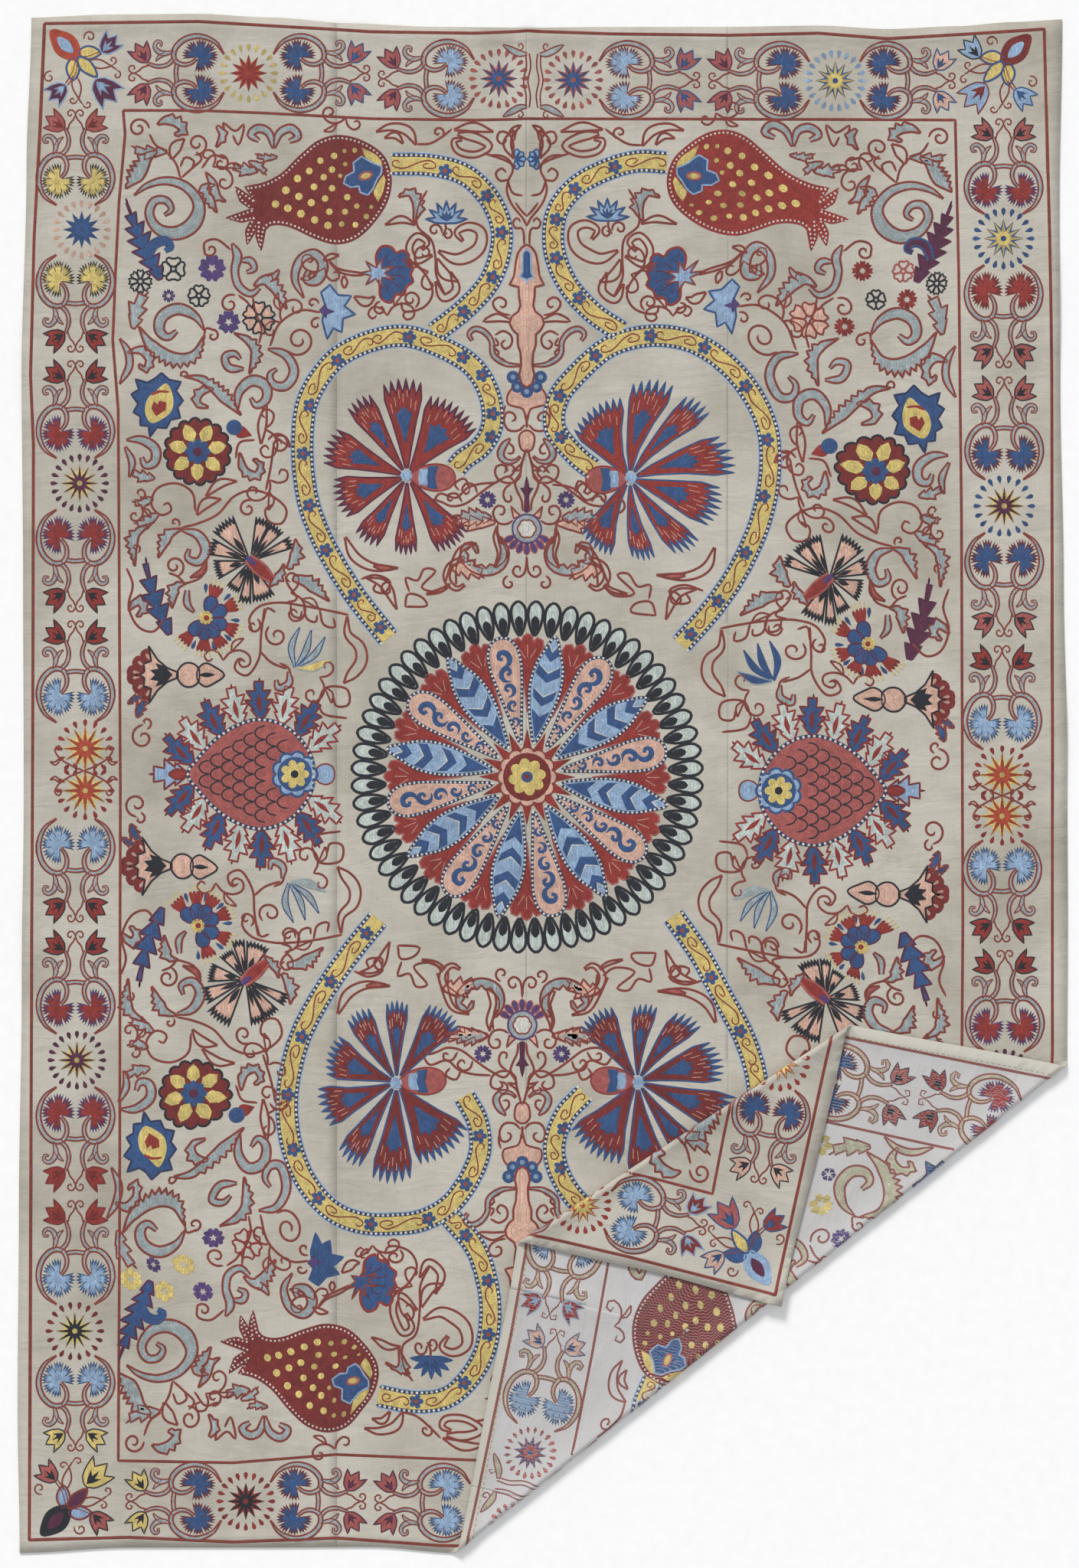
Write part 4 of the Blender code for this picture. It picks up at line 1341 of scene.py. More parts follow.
@dataclass(frozen=True)
class Pinecone:
    """A cone at the side of the medallion, with its tip along minus x: its half-widths and its leaves."""

    shape: Points = (
        (0.0, 0.0), (1.5, 2.3), (4.0, 5.0), (6.8, 6.9), (10.0, 7.9), (13.4, 7.3), (16.2, 5.2), (18.0, 2.2),
        (18.2, 0.0),
    )
    leaves: tuple[tuple[float, float, float], ...] = (
        (0.6, 1.6, 132), (2.4, 3.6, 124), (4.8, 5.7, 114), (7.6, 7.3, 103), (10.6, 8.1, 92), (13.6, 7.4, 76),
        (16.0, 5.7, 58), (17.6, 3.5, 38),
    )

    def sew(self, here: Hand, body: Thread) -> None:
        """Sews the leaves, the cone with its scales and beaded rim, and the yellow flower at its foot.

        Args:
            here: a hand at the cone's tip.
            body: the cone's thread.
        """
        for sign in (1, -1):
            for k, (x, y, turn) in enumerate(self.leaves):
                leaf, edge = ((Thread.BLUE, Thread.DEEP), (Thread.PALE, Thread.RED))[k % 2]
                jagged_leaf(here.at(x, y * sign, turn * sign), 6.0, 4.2, leaf, edge, 4, 0.04)
                here.at(x, y * sign, turn * sign).leaf(
                    ((0.8, 0.1), (2.2, 0.2), (3.6, 0.1)), (0.1, 0.8, 0.1), edge, None, 1)
        jagged_leaf(here.at(-0.3, 0, 180), 5.4, 4.6, Thread.SKY, Thread.DEEP, 3, 0.0)
        here.leaf(((-0.3, 0), (-1.3, 0), (-2.8, 0)), (0.5, 1.5, 0.1), Thread.RED, Thread.DEEP, 1)
        here.drop(-0.6, 0, 180, 2.2, 0.9, Thread.RED, level=1)
        half = np.array(self.shape)
        ring = curve(np.vstack([half, half[-2:0:-1] * (1, -1)]), True)[:-1]
        here.fill(ring, body, edge=Thread.NIGHT, edge_wide=0.56)
        bead_row(here, np.vstack([ring, ring[:1]]), 0.8, 0.22, Thread.WHITE, 2)
        inner = np.array((9.4, 0)) + (ring - (9.4, 0)) * 0.93
        for row in range(11):
            x = 1.6 + row * 1.62
            for column in range(-4, 5):
                y = 2.0 * (column + 0.5 * (row % 2))
                arc = np.array([(x - 1.6 * math.cos(a), y + 1.0 * math.sin(a))
                                for a in np.radians((-88, -52, -18, 18, 52, 88))])
                if within(arc[1:-1], inner).all() and math.hypot(x - 15.4, y) > 3.6:
                    here.line(arc, Thread.BLACK, 0.34, level=1)
        foot = here.at(15.5, 0)
        foot.fill(lobed(3.3, 2.75, 9), Thread.SKY, 1, edge=Thread.BLUE, edge_wide=0.36)
        foot.fill(ring_points(0, 0, 2.55, 18), Thread.BLUE, 2)
        foot.fill(lobed(2.1, 1.35, 7), Thread.YELLOW, 3)
        foot.disc(0, 0, 0.6, Thread.BLACK, 4)
        foot.fill(((3.2, 0.9), (4.6, 1.5), (5.6, 0.9), (5.6, -0.9), (4.6, -1.5), (3.2, -0.9)), Thread.SKY,
                  0, True, edge=Thread.MADDER, edge_wide=0.24)


def jagged_leaf(here: Hand, long: float, wide: float, thread: Thread, edge: Thread, teeth: int = 3,
                bow: float = 0.12, valley: float = 0.45) -> None:
    """A leaf along x with sharp saw teeth on both sides, bowed a little, and a thin outline.

    Args:
        here: a hand at its foot.
        long: its length.
        wide: its width over the teeth.
        thread: its thread.
        edge: the thread of its outline.
        teeth: how many teeth a side.
        bow: how far its middle swings aside, as a share of its length.
        valley: the width between the teeth, as a share of the width over them.
    """
    share = np.linspace(0, 1, 2 * teeth + 2)
    reach = np.where(np.arange(2 * teeth + 2) % 2 == 0, valley,
                     1.0) * np.sin(math.pi * np.minimum(share + 0.12, 1))
    reach[0], reach[-1] = 0.18, 0.0
    lean = np.where(np.arange(2 * teeth + 2) % 2 == 1, 0.6 / (teeth + 1), 0.0)
    middle = bow * long * np.sin(math.pi * share)
    upper = np.stack([(share + lean) * long, middle + reach * wide / 2], axis=1)
    lower = np.stack([(share + lean) * long, middle - reach * wide / 2], axis=1)
    upper[-1] = lower[-1] = (long, 0.0)
    here.fill(np.vstack([upper, lower[-2::-1]]), thread, edge=edge, edge_wide=0.3)


@dataclass(frozen=True)
class Scroll:
    """A tapering scroll of the field, drawn in the upper left quarter: places, widths, its thread."""

    points: Points
    widths: tuple[float, ...]
    thread: Thread | None = Thread.MIST

    def sew(self, hand: Hand) -> None:
        """Sews the scroll in red outline; a broad short one has saw teeth on its outer side."""
        steps = np.diff(np.array(self.points), axis=0)
        if self.thread is None or max(self.widths) < 1.15 or len(self.points) > 5:
            hand.leaf(self.points, self.widths, self.thread)
            return
        turned = np.sum(steps[:-1, 0] * steps[1:, 1] - steps[:-1, 1] * steps[1:, 0])
        teeth = max(4, round(np.linalg.norm(steps, axis=1).sum() / 0.85))
        hand.saw(self.points, self.widths, teeth, self.thread, outward=1.0 if turned > 0 else -1.0)


SCROLLS: tuple[Scroll, ...] = (
    Scroll(((-55.9, 96.4), (-54.6, 97.0), (-52.9, 96.6), (-52.1, 95.4), (-53.4, 94.9)),
           (0.2, 1.3, 1.4, 1.2, 0.3)),
    Scroll(((-56.0, 92.5), (-57.6, 91.4), (-58.6, 89.6), (-60.5, 87.1)), (0.3, 1.9, 2.3, 0.05)),
    Scroll(((-53.9, 91.3), (-53.3, 93.0), (-52.0, 94.3)), (0.2, 1.6, 0.05), None),
    Scroll(((-48.9, 89.4), (-47.9, 87.8), (-47.4, 86.0), (-46.0, 85.2)), (0.1, 1.1, 1.3, 0.05)),
    Scroll(((-47.6, 87.6), (-49.2, 87.2), (-48.6, 85.9), (-47.3, 83.6)), (0.2, 1.1, 1.3, 0.05)),
    Scroll(((-59.3, 86.1), (-57.4, 87.5), (-54.6, 88.2), (-51.6, 87.2), (-49.9, 84.6), (-50.7, 82.0),
            (-53.1, 80.6), (-55.8, 81.2), (-57.1, 83.4), (-56.3, 85.3), (-54.6, 85.3), (-53.9, 84.0),
            (-54.9, 83.2)), (0.05, 0.7, 1.0, 1.2, 1.3, 1.7, 2.1, 1.9, 1.5, 1.2, 1.1, 0.9, 0.3)),
    Scroll(((-47.2, 96.1), (-46.4, 94.8), (-47.4, 93.1)), (0.5, 1.2, 0.1)),
    Scroll(((-41.2, 94.0), (-42.4, 94.9), (-41.3, 95.8), (-39.8, 95.2), (-39.1, 92.9)),
           (0.4, 1.0, 1.1, 0.9, 0.2)),
    Scroll(((-36.8, 93.9), (-35.5, 94.6), (-36.5, 95.8), (-38.2, 95.1), (-39.0, 92.9)),
           (0.4, 1.0, 1.1, 0.9, 0.2)),
    Scroll(((-45.1, 79.1), (-44.3, 77.3), (-44.7, 75.2), (-44.1, 72.9), (-42.3, 71.8), (-41.1, 72.7)),
           (0.1, 1.2, 1.0, 1.0, 0.9, 0.4)),
    Scroll(((-43.9, 76.6), (-42.4, 76.6), (-41.9, 75.4), (-43.0, 74.9)), (0.2, 0.9, 0.8, 0.3)),
    Scroll(((-41.9, 73.0), (-40.3, 73.8), (-38.8, 72.7), (-37.2, 69.6)), (0.3, 1.7, 1.4, 0.05)),
    Scroll(((-39.8, 73.9), (-38.9, 74.4), (-38.3, 75.3)), (0.9, 0.8, 0.05)),
    Scroll(((-49.1, 66.5), (-50.4, 68.5), (-53.0, 69.6), (-55.3, 68.4), (-55.6, 66.4), (-54.4, 65.5),
            (-53.1, 66.4)), (0.05, 0.9, 1.5, 1.6, 1.5, 1.1, 0.4)),
    Scroll(((-58.6, 67.0), (-56.8, 64.3), (-53.5, 62.3), (-50.6, 62.8), (-49.1, 65.8)),
           (0.1, 1.6, 1.9, 1.4, 0.05)),
    Scroll(((-61.4, 65.3), (-60.2, 63.4), (-60.0, 61.3), (-61.4, 58.7)), (0.05, 0.9, 0.9, 0.05)),
    Scroll(((-60.2, 63.3), (-58.3, 63.6), (-57.0, 62.2), (-57.7, 60.8), (-58.6, 61.5)),
           (0.3, 1.0, 1.2, 1.0, 0.3)),
    Scroll(((-39.9, 63.8), (-37.3, 62.9), (-36.1, 60.5), (-37.4, 58.4), (-39.2, 58.7), (-39.6, 60.1),
            (-38.6, 60.9)), (0.1, 1.0, 1.2, 1.3, 1.2, 0.9, 0.3)),
    Scroll(((-44.8, 66.1), (-42.4, 64.8), (-41.6, 63.2), (-42.6, 60.2)), (0.05, 1.2, 1.4, 0.05)),
    Scroll(((-43.4, 60.9), (-45.6, 61.1), (-46.1, 62.7), (-44.7, 63.1), (-43.9, 62.3)),
           (0.2, 1.0, 1.0, 0.9, 0.3)),
    Scroll(((-52.0, 59.8), (-49.4, 59.4), (-47.0, 57.6), (-43.8, 54.2)), (0.1, 1.2, 1.7, 0.05)),
    Scroll(((-48.6, 55.3), (-50.2, 55.9), (-49.8, 57.5), (-47.8, 58.0)), (0.3, 1.0, 1.2, 0.2)),
    Scroll(((-44.3, 55.0), (-44.1, 57.5), (-42.2, 59.2), (-40.2, 58.4), (-40.2, 56.4), (-41.6, 55.6),
            (-42.4, 56.7)), (0.1, 1.0, 1.4, 1.5, 1.3, 1.0, 0.3)),
    Scroll(((-40.2, 55.6), (-40.7, 53.0), (-40.9, 50.0)), (0.3, 1.2, 0.1), None),
    Scroll(((-60.4, 50.6), (-58.2, 50.6), (-56.2, 49.2), (-56.4, 47.3), (-57.7, 46.9), (-58.2, 48.1)),
           (0.1, 1.0, 1.3, 1.3, 1.0, 0.4)),
    Scroll(((-60.6, 49.6), (-59.6, 47.4), (-60.0, 45.2)), (0.2, 0.9, 0.1)),
    Scroll(((-50.2, 39.7), (-48.9, 41.4), (-46.7, 42.0)), (0.1, 1.4, 0.05), None),
    Scroll(((-48.9, 42.4), (-46.8, 44.3), (-44.4, 44.6)), (0.1, 1.2, 0.05), None),
    Scroll(((-44.0, 48.7), (-43.3, 46.1), (-41.5, 45.4), (-40.9, 46.9), (-42.0, 47.8)),
           (0.2, 1.1, 1.2, 1.0, 0.3)),
    Scroll(((-52.4, 37.7), (-54.4, 36.8), (-55.8, 33.5)), (0.2, 1.7, 0.05)),
    Scroll(((-52.3, 37.5), (-50.0, 36.8), (-48.9, 34.6), (-50.0, 32.9), (-51.6, 33.5), (-51.3, 34.8)),
           (0.2, 1.1, 1.4, 1.2, 0.9, 0.3)),
    Scroll(((-48.9, 33.2), (-49.3, 31.6), (-51.2, 30.6)), (0.1, 0.8, 0.05), Thread.ROSE),
    Scroll(((-51.8, 29.8), (-53.4, 29.3), (-53.8, 26.2)), (0.1, 1.7, 0.05)),
    Scroll(((-56.8, 38.5), (-59.4, 36.6), (-59.2, 32.3)), (0.1, 1.7, 0.05)),
    Scroll(((-60.1, 25.9), (-58.7, 27.3), (-57.8, 26.2), (-58.9, 25.0)), (0.2, 1.3, 1.2, 0.3)),
    Scroll(((-51.6, 28.8), (-51.6, 26.8), (-50.6, 25.6)), (0.5, 0.9, 0.2)),
    Scroll(((-35.9, 36.2), (-35.8, 33.8), (-37.0, 31.9)), (0.1, 1.8, 0.5)),
    Scroll(((-39.8, 29.2), (-38.0, 31.2), (-37.6, 32.6)), (0.1, 1.3, 0.1)),
    Scroll(((-36.2, 30.6), (-34.0, 29.9), (-31.0, 27.2)), (0.9, 1.9, 0.05)),
    Scroll(((-36.9, 17.0), (-36.8, 15.3), (-38.4, 14.6), (-38.7, 15.8)), (0.2, 0.9, 0.9, 0.3)),
    Scroll(((-28.4, 25.0), (-28.3, 22.4), (-26.6, 20.6), (-26.4, 18.4), (-28.9, 15.3)),
           (0.1, 1.0, 1.5, 1.6, 0.05), None),
    Scroll(((-28.7, 36.5), (-27.3, 33.7), (-24.8, 32.2), (-21.0, 32.0)), (0.2, 1.3, 1.0, 0.05), None),
    Scroll(((-25.6, 30.6), (-23.0, 29.6), (-21.2, 26.0)), (0.1, 1.3, 0.05), None),
    Scroll(((-24.6, 32.3), (-23.0, 32.0), (-21.6, 31.9)), (0.1, 0.7, 0.1), Thread.ROSE),
    Scroll(((-13.4, 29.8), (-12.9, 32.6), (-11.8, 34.8), (-9.6, 35.6)), (1.6, 0.9, 0.7, 0.1), None),
    Scroll(((-7.0, 32.0), (-5.9, 33.9), (-6.8, 36.6), (-6.7, 38.0)), (0.2, 1.3, 1.0, 0.05), None),
    Scroll(((-18.7, 82.2), (-18.1, 84.7), (-19.2, 86.5), (-20.9, 85.9)), (0.2, 1.5, 1.3, 0.2)),
    Scroll(((-18.5, 81.8), (-20.5, 82.6), (-22.9, 81.8)), (0.1, 1.0, 0.05), None),
    Scroll(((-16.0, 77.4), (-18.5, 76.6), (-19.4, 78.6), (-18.2, 80.2), (-16.8, 79.2), (-17.6, 78.2)),
           (0.2, 0.8, 0.9, 0.9, 0.8, 0.3), None),
    Scroll(((-15.2, 78.0), (-12.4, 76.8), (-9.3, 78.4), (-9.0, 80.8), (-10.8, 81.6), (-12.5, 80.7),
            (-11.6, 79.4)), (0.2, 1.3, 1.8, 1.6, 1.2, 0.9, 0.3), None),
    Scroll(((-15.4, 76.9), (-14.3, 74.7), (-12.3, 73.6)), (0.2, 1.4, 0.1), None),
    Scroll(((-15.6, 73.6), (-14.4, 71.2), (-12.6, 72.4), (-13.4, 75.0)), (0.1, 1.0, 1.0, 0.1), None),
    Scroll(((-27.4, 71.4), (-25.6, 70.6), (-24.4, 71.4)), (0.1, 1.3, 0.05), None),
    Scroll(((-34.7, 71.2), (-36.0, 74.0), (-35.1, 76.8), (-33.1, 77.6), (-31.9, 76.0), (-32.8, 73.7),
            (-34.3, 73.8), (-34.0, 75.3)), (0.05, 0.8, 1.1, 1.2, 1.3, 1.4, 1.1, 0.4)),
    Scroll(((-31.9, 76.6), (-30.8, 77.2), (-29.6, 77.4)), (0.1, 0.8, 0.05), None),
    Scroll(((-28.9, 74.4), (-28.8, 73.5), (-28.8, 72.6)), (0.1, 0.9, 0.1), None),
    Scroll(((-24.2, 95.3), (-22.0, 96.0), (-19.6, 95.4), (-18.4, 93.4)), (0.05, 1.0, 1.3, 0.1), None),
    Scroll(((-23.0, 94.4), (-21.4, 94.8), (-20.3, 93.6)), (0.05, 0.9, 0.1), None),
    Scroll(((-12.9, 95.6), (-10.2, 96.0), (-7.2, 95.3)), (0.1, 1.3, 0.05), None),
    Scroll(((-12.4, 95.0), (-9.6, 94.4), (-7.8, 93.2), (-9.8, 92.0), (-12.4, 92.6), (-12.9, 94.0),
            (-11.7, 94.2)), (0.3, 1.2, 1.0, 0.8, 0.9, 0.8, 0.3), None),
    Scroll(((-4.2, 95.6), (-5.2, 93.6), (-4.2, 91.4)), (0.1, 1.1, 0.1), None),
)
VINES: tuple[Points, ...] = (
    ((-54.6, 92.4), (-53.2, 90.6), (-52.6, 88.6)),
    ((-52.5, 88.6), (-50.8, 90.1), (-49.5, 91.4), (-50.3, 92.4)),
    ((-52.6, 90.2), (-51.9, 91.6), (-50.6, 91.0), (-50.9, 90.1)),
    ((-49.5, 90.0), (-47.9, 91.9), (-46.1, 91.4)),
    ((-57.1, 95.0), (-56.2, 93.4), (-54.6, 92.4)),
    ((-49.0, 77.4), (-49.1, 79.2), (-47.4, 79.7), (-45.3, 78.2)),
    ((-42.1, 71.4), (-41.7, 69.2), (-40.8, 66.6), (-41.2, 64.6)),
    ((-44.2, 71.6), (-42.9, 70.6), (-42.2, 69.6)),
    ((-32.3, 69.1), (-35.0, 69.4), (-38.2, 67.5), (-39.6, 64.2)),
    ((-49.1, 65.8), (-48.9, 66.8), (-47.4, 66.4)),
    ((-50.4, 40.2), (-50.9, 43.0), (-53.2, 44.3), (-56.0, 43.5), (-56.8, 41.2), (-55.4, 39.7),
     (-53.9, 40.4), (-54.4, 41.5), (-55.1, 41.1)),
    ((-52.4, 37.9), (-50.3, 38.4), (-47.2, 39.8), (-44.8, 42.4), (-42.2, 43.3), (-39.2, 42.4),
     (-37.2, 40.4), (-37.9, 38.5), (-39.7, 38.7), (-40.3, 40.4), (-39.3, 41.2)),
    ((-39.0, 50.3), (-39.5, 46.6), (-40.2, 43.3)),
    ((-44.6, 47.9), (-44.0, 50.2), (-41.8, 50.6)),
    ((-60.4, 32.0), (-59.5, 29.6), (-60.1, 26.4), (-58.6, 23.4), (-56.5, 22.8), (-54.9, 24.6)),
    ((-52.0, 29.7), (-49.6, 30.7), (-48.7, 33.0)),
    ((-52.0, 29.8), (-53.0, 30.8), (-54.3, 31.3)),
    ((-42.1, 22.7), (-42.6, 24.6), (-41.2, 26.4), (-38.2, 27.0), (-35.2, 26.6), (-31.4, 25.9),
     (-28.2, 25.2)),
    ((-40.4, 26.2), (-40.9, 22.2), (-41.2, 18.9), (-43.0, 16.4), (-44.7, 17.4), (-44.1, 18.9),
     (-43.2, 18.4)),
    ((-37.3, 27.0), (-35.7, 27.5), (-37.0, 29.6), (-37.4, 30.8)),
    ((-41.0, 19.9), (-39.4, 18.3), (-37.2, 17.4)),
    ((-36.6, 26.8), (-36.4, 25.2), (-35.2, 24.8), (-35.0, 25.8)),
    ((-34.7, 26.4), (-34.2, 24.6), (-32.9, 24.2), (-32.8, 25.2)),
    ((-32.4, 26.0), (-31.8, 23.8), (-30.2, 23.4), (-30.4, 24.8)),
    ((-40.6, 24.2), (-40.0, 26.2), (-38.8, 25.6)),
    ((-32.6, 12.4), (-31.6, 14.6), (-28.4, 14.4), (-28.2, 12.2), (-30.0, 12.0), (-30.4, 13.4)),
    ((-32.6, 12.4), (-31.9, 10.9), (-28.4, 10.2)),
    ((-20.0, 26.4), (-19.6, 28.2), (-17.6, 27.8), (-16.8, 26.6), (-20.0, 26.4)),
    ((-19.4, 28.6), (-19.9, 30.6), (-18.2, 30.2), (-17.2, 31.9), (-15.6, 31.6), (-17.6, 29.2),
     (-14.8, 28.6), (-13.4, 29.8)),
    ((-26.4, 30.4), (-24.3, 31.0), (-22.2, 30.0), (-23.0, 28.4), (-24.6, 28.8), (-24.2, 29.8)),
    ((-15.9, 41.6), (-15.0, 42.8), (-12.6, 42.2), (-11.0, 43.6), (-9.2, 44.2), (-6.6, 44.4)),
    ((-16.8, 86.8), (-18.1, 84.4), (-18.2, 81.6), (-16.2, 79.6), (-15.6, 77.0), (-15.5, 74.6),
     (-14.2, 71.6)),
    ((-31.0, 76.4), (-29.6, 75.0), (-27.8, 74.5), (-26.0, 74.5)),
    ((-31.2, 76.8), (-29.8, 75.5), (-26.2, 74.8)),
    ((-19.3, 76.6), (-17.2, 74.8), (-16.0, 72.0), (-17.2, 69.9), (-20.2, 69.3), (-20.6, 70.6)),
    ((-18.4, 93.5), (-16.4, 93.6), (-14.6, 94.6), (-13.2, 95.7)),
    ((-8.6, 92.2), (-5.6, 91.2), (-3.8, 90.2)),
    ((-14.2, 82.2), (-14.1, 81.2), (-14.6, 80.2)),
    ((-46.2, 95.6), (-46.4, 96.6), (-44.6, 95.4), (-43.4, 96.4), (-43.6, 94.8), (-44.2, 93.4),
     (-45.0, 94.8)),
    ((-10.6, 43.4), (-11.4, 45.0), (-12.8, 44.2), (-12.2, 43.3)),
    ((-38.2, 18.2), (-37.0, 17.6), (-36.6, 16.8)),
)
TENDRILS: tuple[tuple[float, float, float, float], ...] = (
    (-47.9, 90.2, -38, 0.95), (-31.6, 75.6, 170, 0.9), (-22.6, 68.6, 20, 1.0), (-16.6, 75.0, 118, 0.95),
    (-37.9, 67.6, 62, 1.0), (-40.4, 52.2, -70, 1.05), (-39.6, 44.8, -128, 1.0), (-58.9, 41.6, -84, 0.7),
    (-36.6, 28.4, -64, 1.05), (-46.4, 18.6, 12, 1.0), (-32.4, 16.2, -100, 0.95), (-28.6, 97.3, 176, 0.85),
)
CURLS: tuple[tuple[float, float, float, float, float], ...] = (
    (-58.7, 95.8, 1.6, 0, 480), (-50.2, 93.6, 1.7, -100, 480), (-46.7, 90.7, 1.3, 100, -430),
    (-48.2, 78.2, 1.1, 200, 360), (-45.4, 70.3, 1.5, 60, 430), (-47.9, 65.7, 1.0, 100, -380),
    (-35.4, 65.1, 2.4, -140, 520), (-32.9, 67.4, 1.0, 60, 330), (-33.4, 70.4, 0.9, 0, 330),
    (-52.2, 60.0, 0.8, -40, 330), (-38.3, 50.0, 1.7, 160, -520), (-42.8, 40.6, 1.4, 60, 440),
    (-53.5, 32.3, 1.6, -70, 480), (-53.4, 38.6, 0.8, -40, 330), (-59.1, 34.9, 0.8, -60, 330),
    (-42.0, 23.6, 1.2, 60, -400), (-38.6, 22.2, 1.8, 130, 440), (-15.2, 95.2, 1.0, -60, 400),
    (-15.7, 81.0, 1.1, -20, 420), (-13.9, 80.4, 0.9, 90, -380), (-19.2, 71.0, 1.4, -60, 460),
    (-23.6, 69.6, 1.1, 90, 400), (-15.7, 40.8, 1.0, 100, 360), (-5.0, 46.4, 1.1, -90, 360),
    (-58.0, 7.4, 1.9, 90, 430), (-57.6, 9.6, 1.0, -80, 300), (-22.6, 28.9, 1.2, 60, 380),
    (-4.9, 29.8, 1.1, 100, 360), (-9.6, 85.0, 0.0, 0, 0),
)
SAW_LEAVES: tuple[tuple[float, float, float, float, float, Thread], ...] = (
    (-54.6, 92.4, 170, 5.2, 2.2, Thread.MIST), (-41.4, 89.6, 162, 4.0, 2.2, Thread.MIST),
    (-42.6, 91.0, -40, 3.2, 1.6, Thread.MIST), (-38.6, 91.6, 170, 3.2, 1.3, Thread.MIST),
    (-59.5, 66.8, 66, 5.8, 3.0, Thread.MIST), (-56.4, 45.0, 158, 3.6, 2.0, Thread.MIST),
    (-56.6, 42.0, 186, 3.0, 1.8, Thread.MIST), (-55.8, 39.8, 200, 3.8, 2.0, Thread.MIST),
    (-7.0, 38.6, 170, 6.4, 2.4, Thread.PINK), (-13.2, 32.2, -20, 5.0, 3.2, Thread.PINK),
    (-58.9, 10.4, 56, 3.0, 1.8, Thread.BLUE), (-60.2, 12.4, 20, 2.6, 1.2, Thread.BLUE),
)


@dataclass(frozen=True)
class QuarterThreads:
    """The threads that differ from quarter to quarter of the field."""

    pomegranate: Thread = Thread.DEEP
    carnation: Thread = Thread.RED
    tip: Thread = Thread.BLUE
    sprig: Thread = Thread.BLUE
    pale: Thread = Thread.SKY
    lotus: Thread = Thread.BLUE
    tulip: tuple[Thread, Thread] = (Thread.MIST, Thread.YELLOW)
    flowers: tuple[tuple[float, float, float, int, Thread, bool], ...] = ()


def small_flower(here: Hand, radius: float, lobes: int, thread: Thread, open_work: bool) -> None:
    """A small flower of separate petals, solid or in outline, about a bare middle."""
    for k in range(lobes):
        petal = here.at(0, 0, 90 + 360 * k / lobes)
        wide = radius * math.tan(math.pi / lobes) * 1.2
        ring = ((radius * 0.18, 0), (radius * 0.6, wide * 0.5), (radius * 0.98, wide * 0.42),
                (radius * 0.86, 0),
                (radius * 0.98, -wide * 0.42), (radius * 0.6, -wide * 0.5))
        if open_work:
            petal.line(ring, thread, 0.3, closed=True)
            if radius > 2:
                petal.fill(ring, Thread.PINK, curved=True)
        else:
            petal.fill(ring, thread, curved=True)


def pink_carnation(here: Hand) -> None:
    """The open pink carnation: nine pinked petals in black outline, black tears and a red calyx along x."""
    for angle, long, half in ((169, 7.0, 15), (203, 6.4, 10.5), (237, 5.4, 14.5), (280, 5.1, 11),
                              (304, 6.3, 7.5), (331, 6.1, 15), (115, 6.4, 9.5), (93, 6.3, 9.5),
                              (66, 6.6, 7)):
        petal = here.at(0, 0, angle)
        count = 2 * max(3, round(half * 0.42)) + 1
        turns = np.radians(np.linspace(half, -half, count))
        radii = np.where(np.arange(count) % 2 == 0, 1.0, 0.83) * long
        rim = np.stack([radii * np.cos(turns), radii * np.sin(turns)], axis=1)
        petal.fill(np.vstack([((0.8, 0.12),), rim, ((0.8, -0.12),)]), Thread.PINK, edge=Thread.BLACK,
                   edge_wide=0.28)
        petal.leaf(((1.4, 0), (long * 0.36, 0), (long * 0.6, 0)), (0.1, 0.055 * half, 0.05), Thread.BLACK,
                   None, 2)
    here.leaf(((-0.5, 0), (1.2, 0), (4.2, 0)), (1.2, 1.8, 0.9), Thread.RED, Thread.ROSE, 2)
    here.leaf(((-0.8, 0), (0.2, 0), (1.0, 0)), (0.5, 0.9, 0.2), Thread.VIOLET, None, 3)


def tufted_fan(here: Hand) -> None:
    """The flower of blue petals, each with a red tuft at its end, about a yellow eye, open along x."""
    for turn in (-115, -76, -43, -6, 43, 89):
        here.at(0, 0, turn).fill(((0.8, 0.3), (1.6, 0.85), (2.6, 0.95), (3.2, 0.4), (3.2, -0.4),
                                  (2.6, -0.95), (1.6, -0.85), (0.8, -0.3)), Thread.BLUE, 0, True,
                                 edge=Thread.PLUM, edge_wide=0.2)
        tuft = here.at(0, 0, turn)
        turns = np.radians(np.linspace(14, -14, 9))
        radii = np.where(np.arange(9) % 2 == 0, 4.6, 5.3)
        rim = np.stack([radii * np.cos(turns), radii * np.sin(turns)], axis=1)
        tuft.fill(np.vstack([((3.1, 0.6),), rim, ((3.1, -0.6),)]), Thread.RED)
        for k in range(1, 9, 2):
            end = rim[k]
            tuft.line((end * 0.93, end * 1.08), Thread.YELLOW, 0.34, level=1)
        here.at(0, 0, turn + 19).drop(3.5, 0, 0, 1.5, 0.62, Thread.BLUE)
    here.disc(0, 0, 1.0, Thread.YELLOW, 1)
    here.disc(0.1, 0, 0.42, Thread.RED, 2)


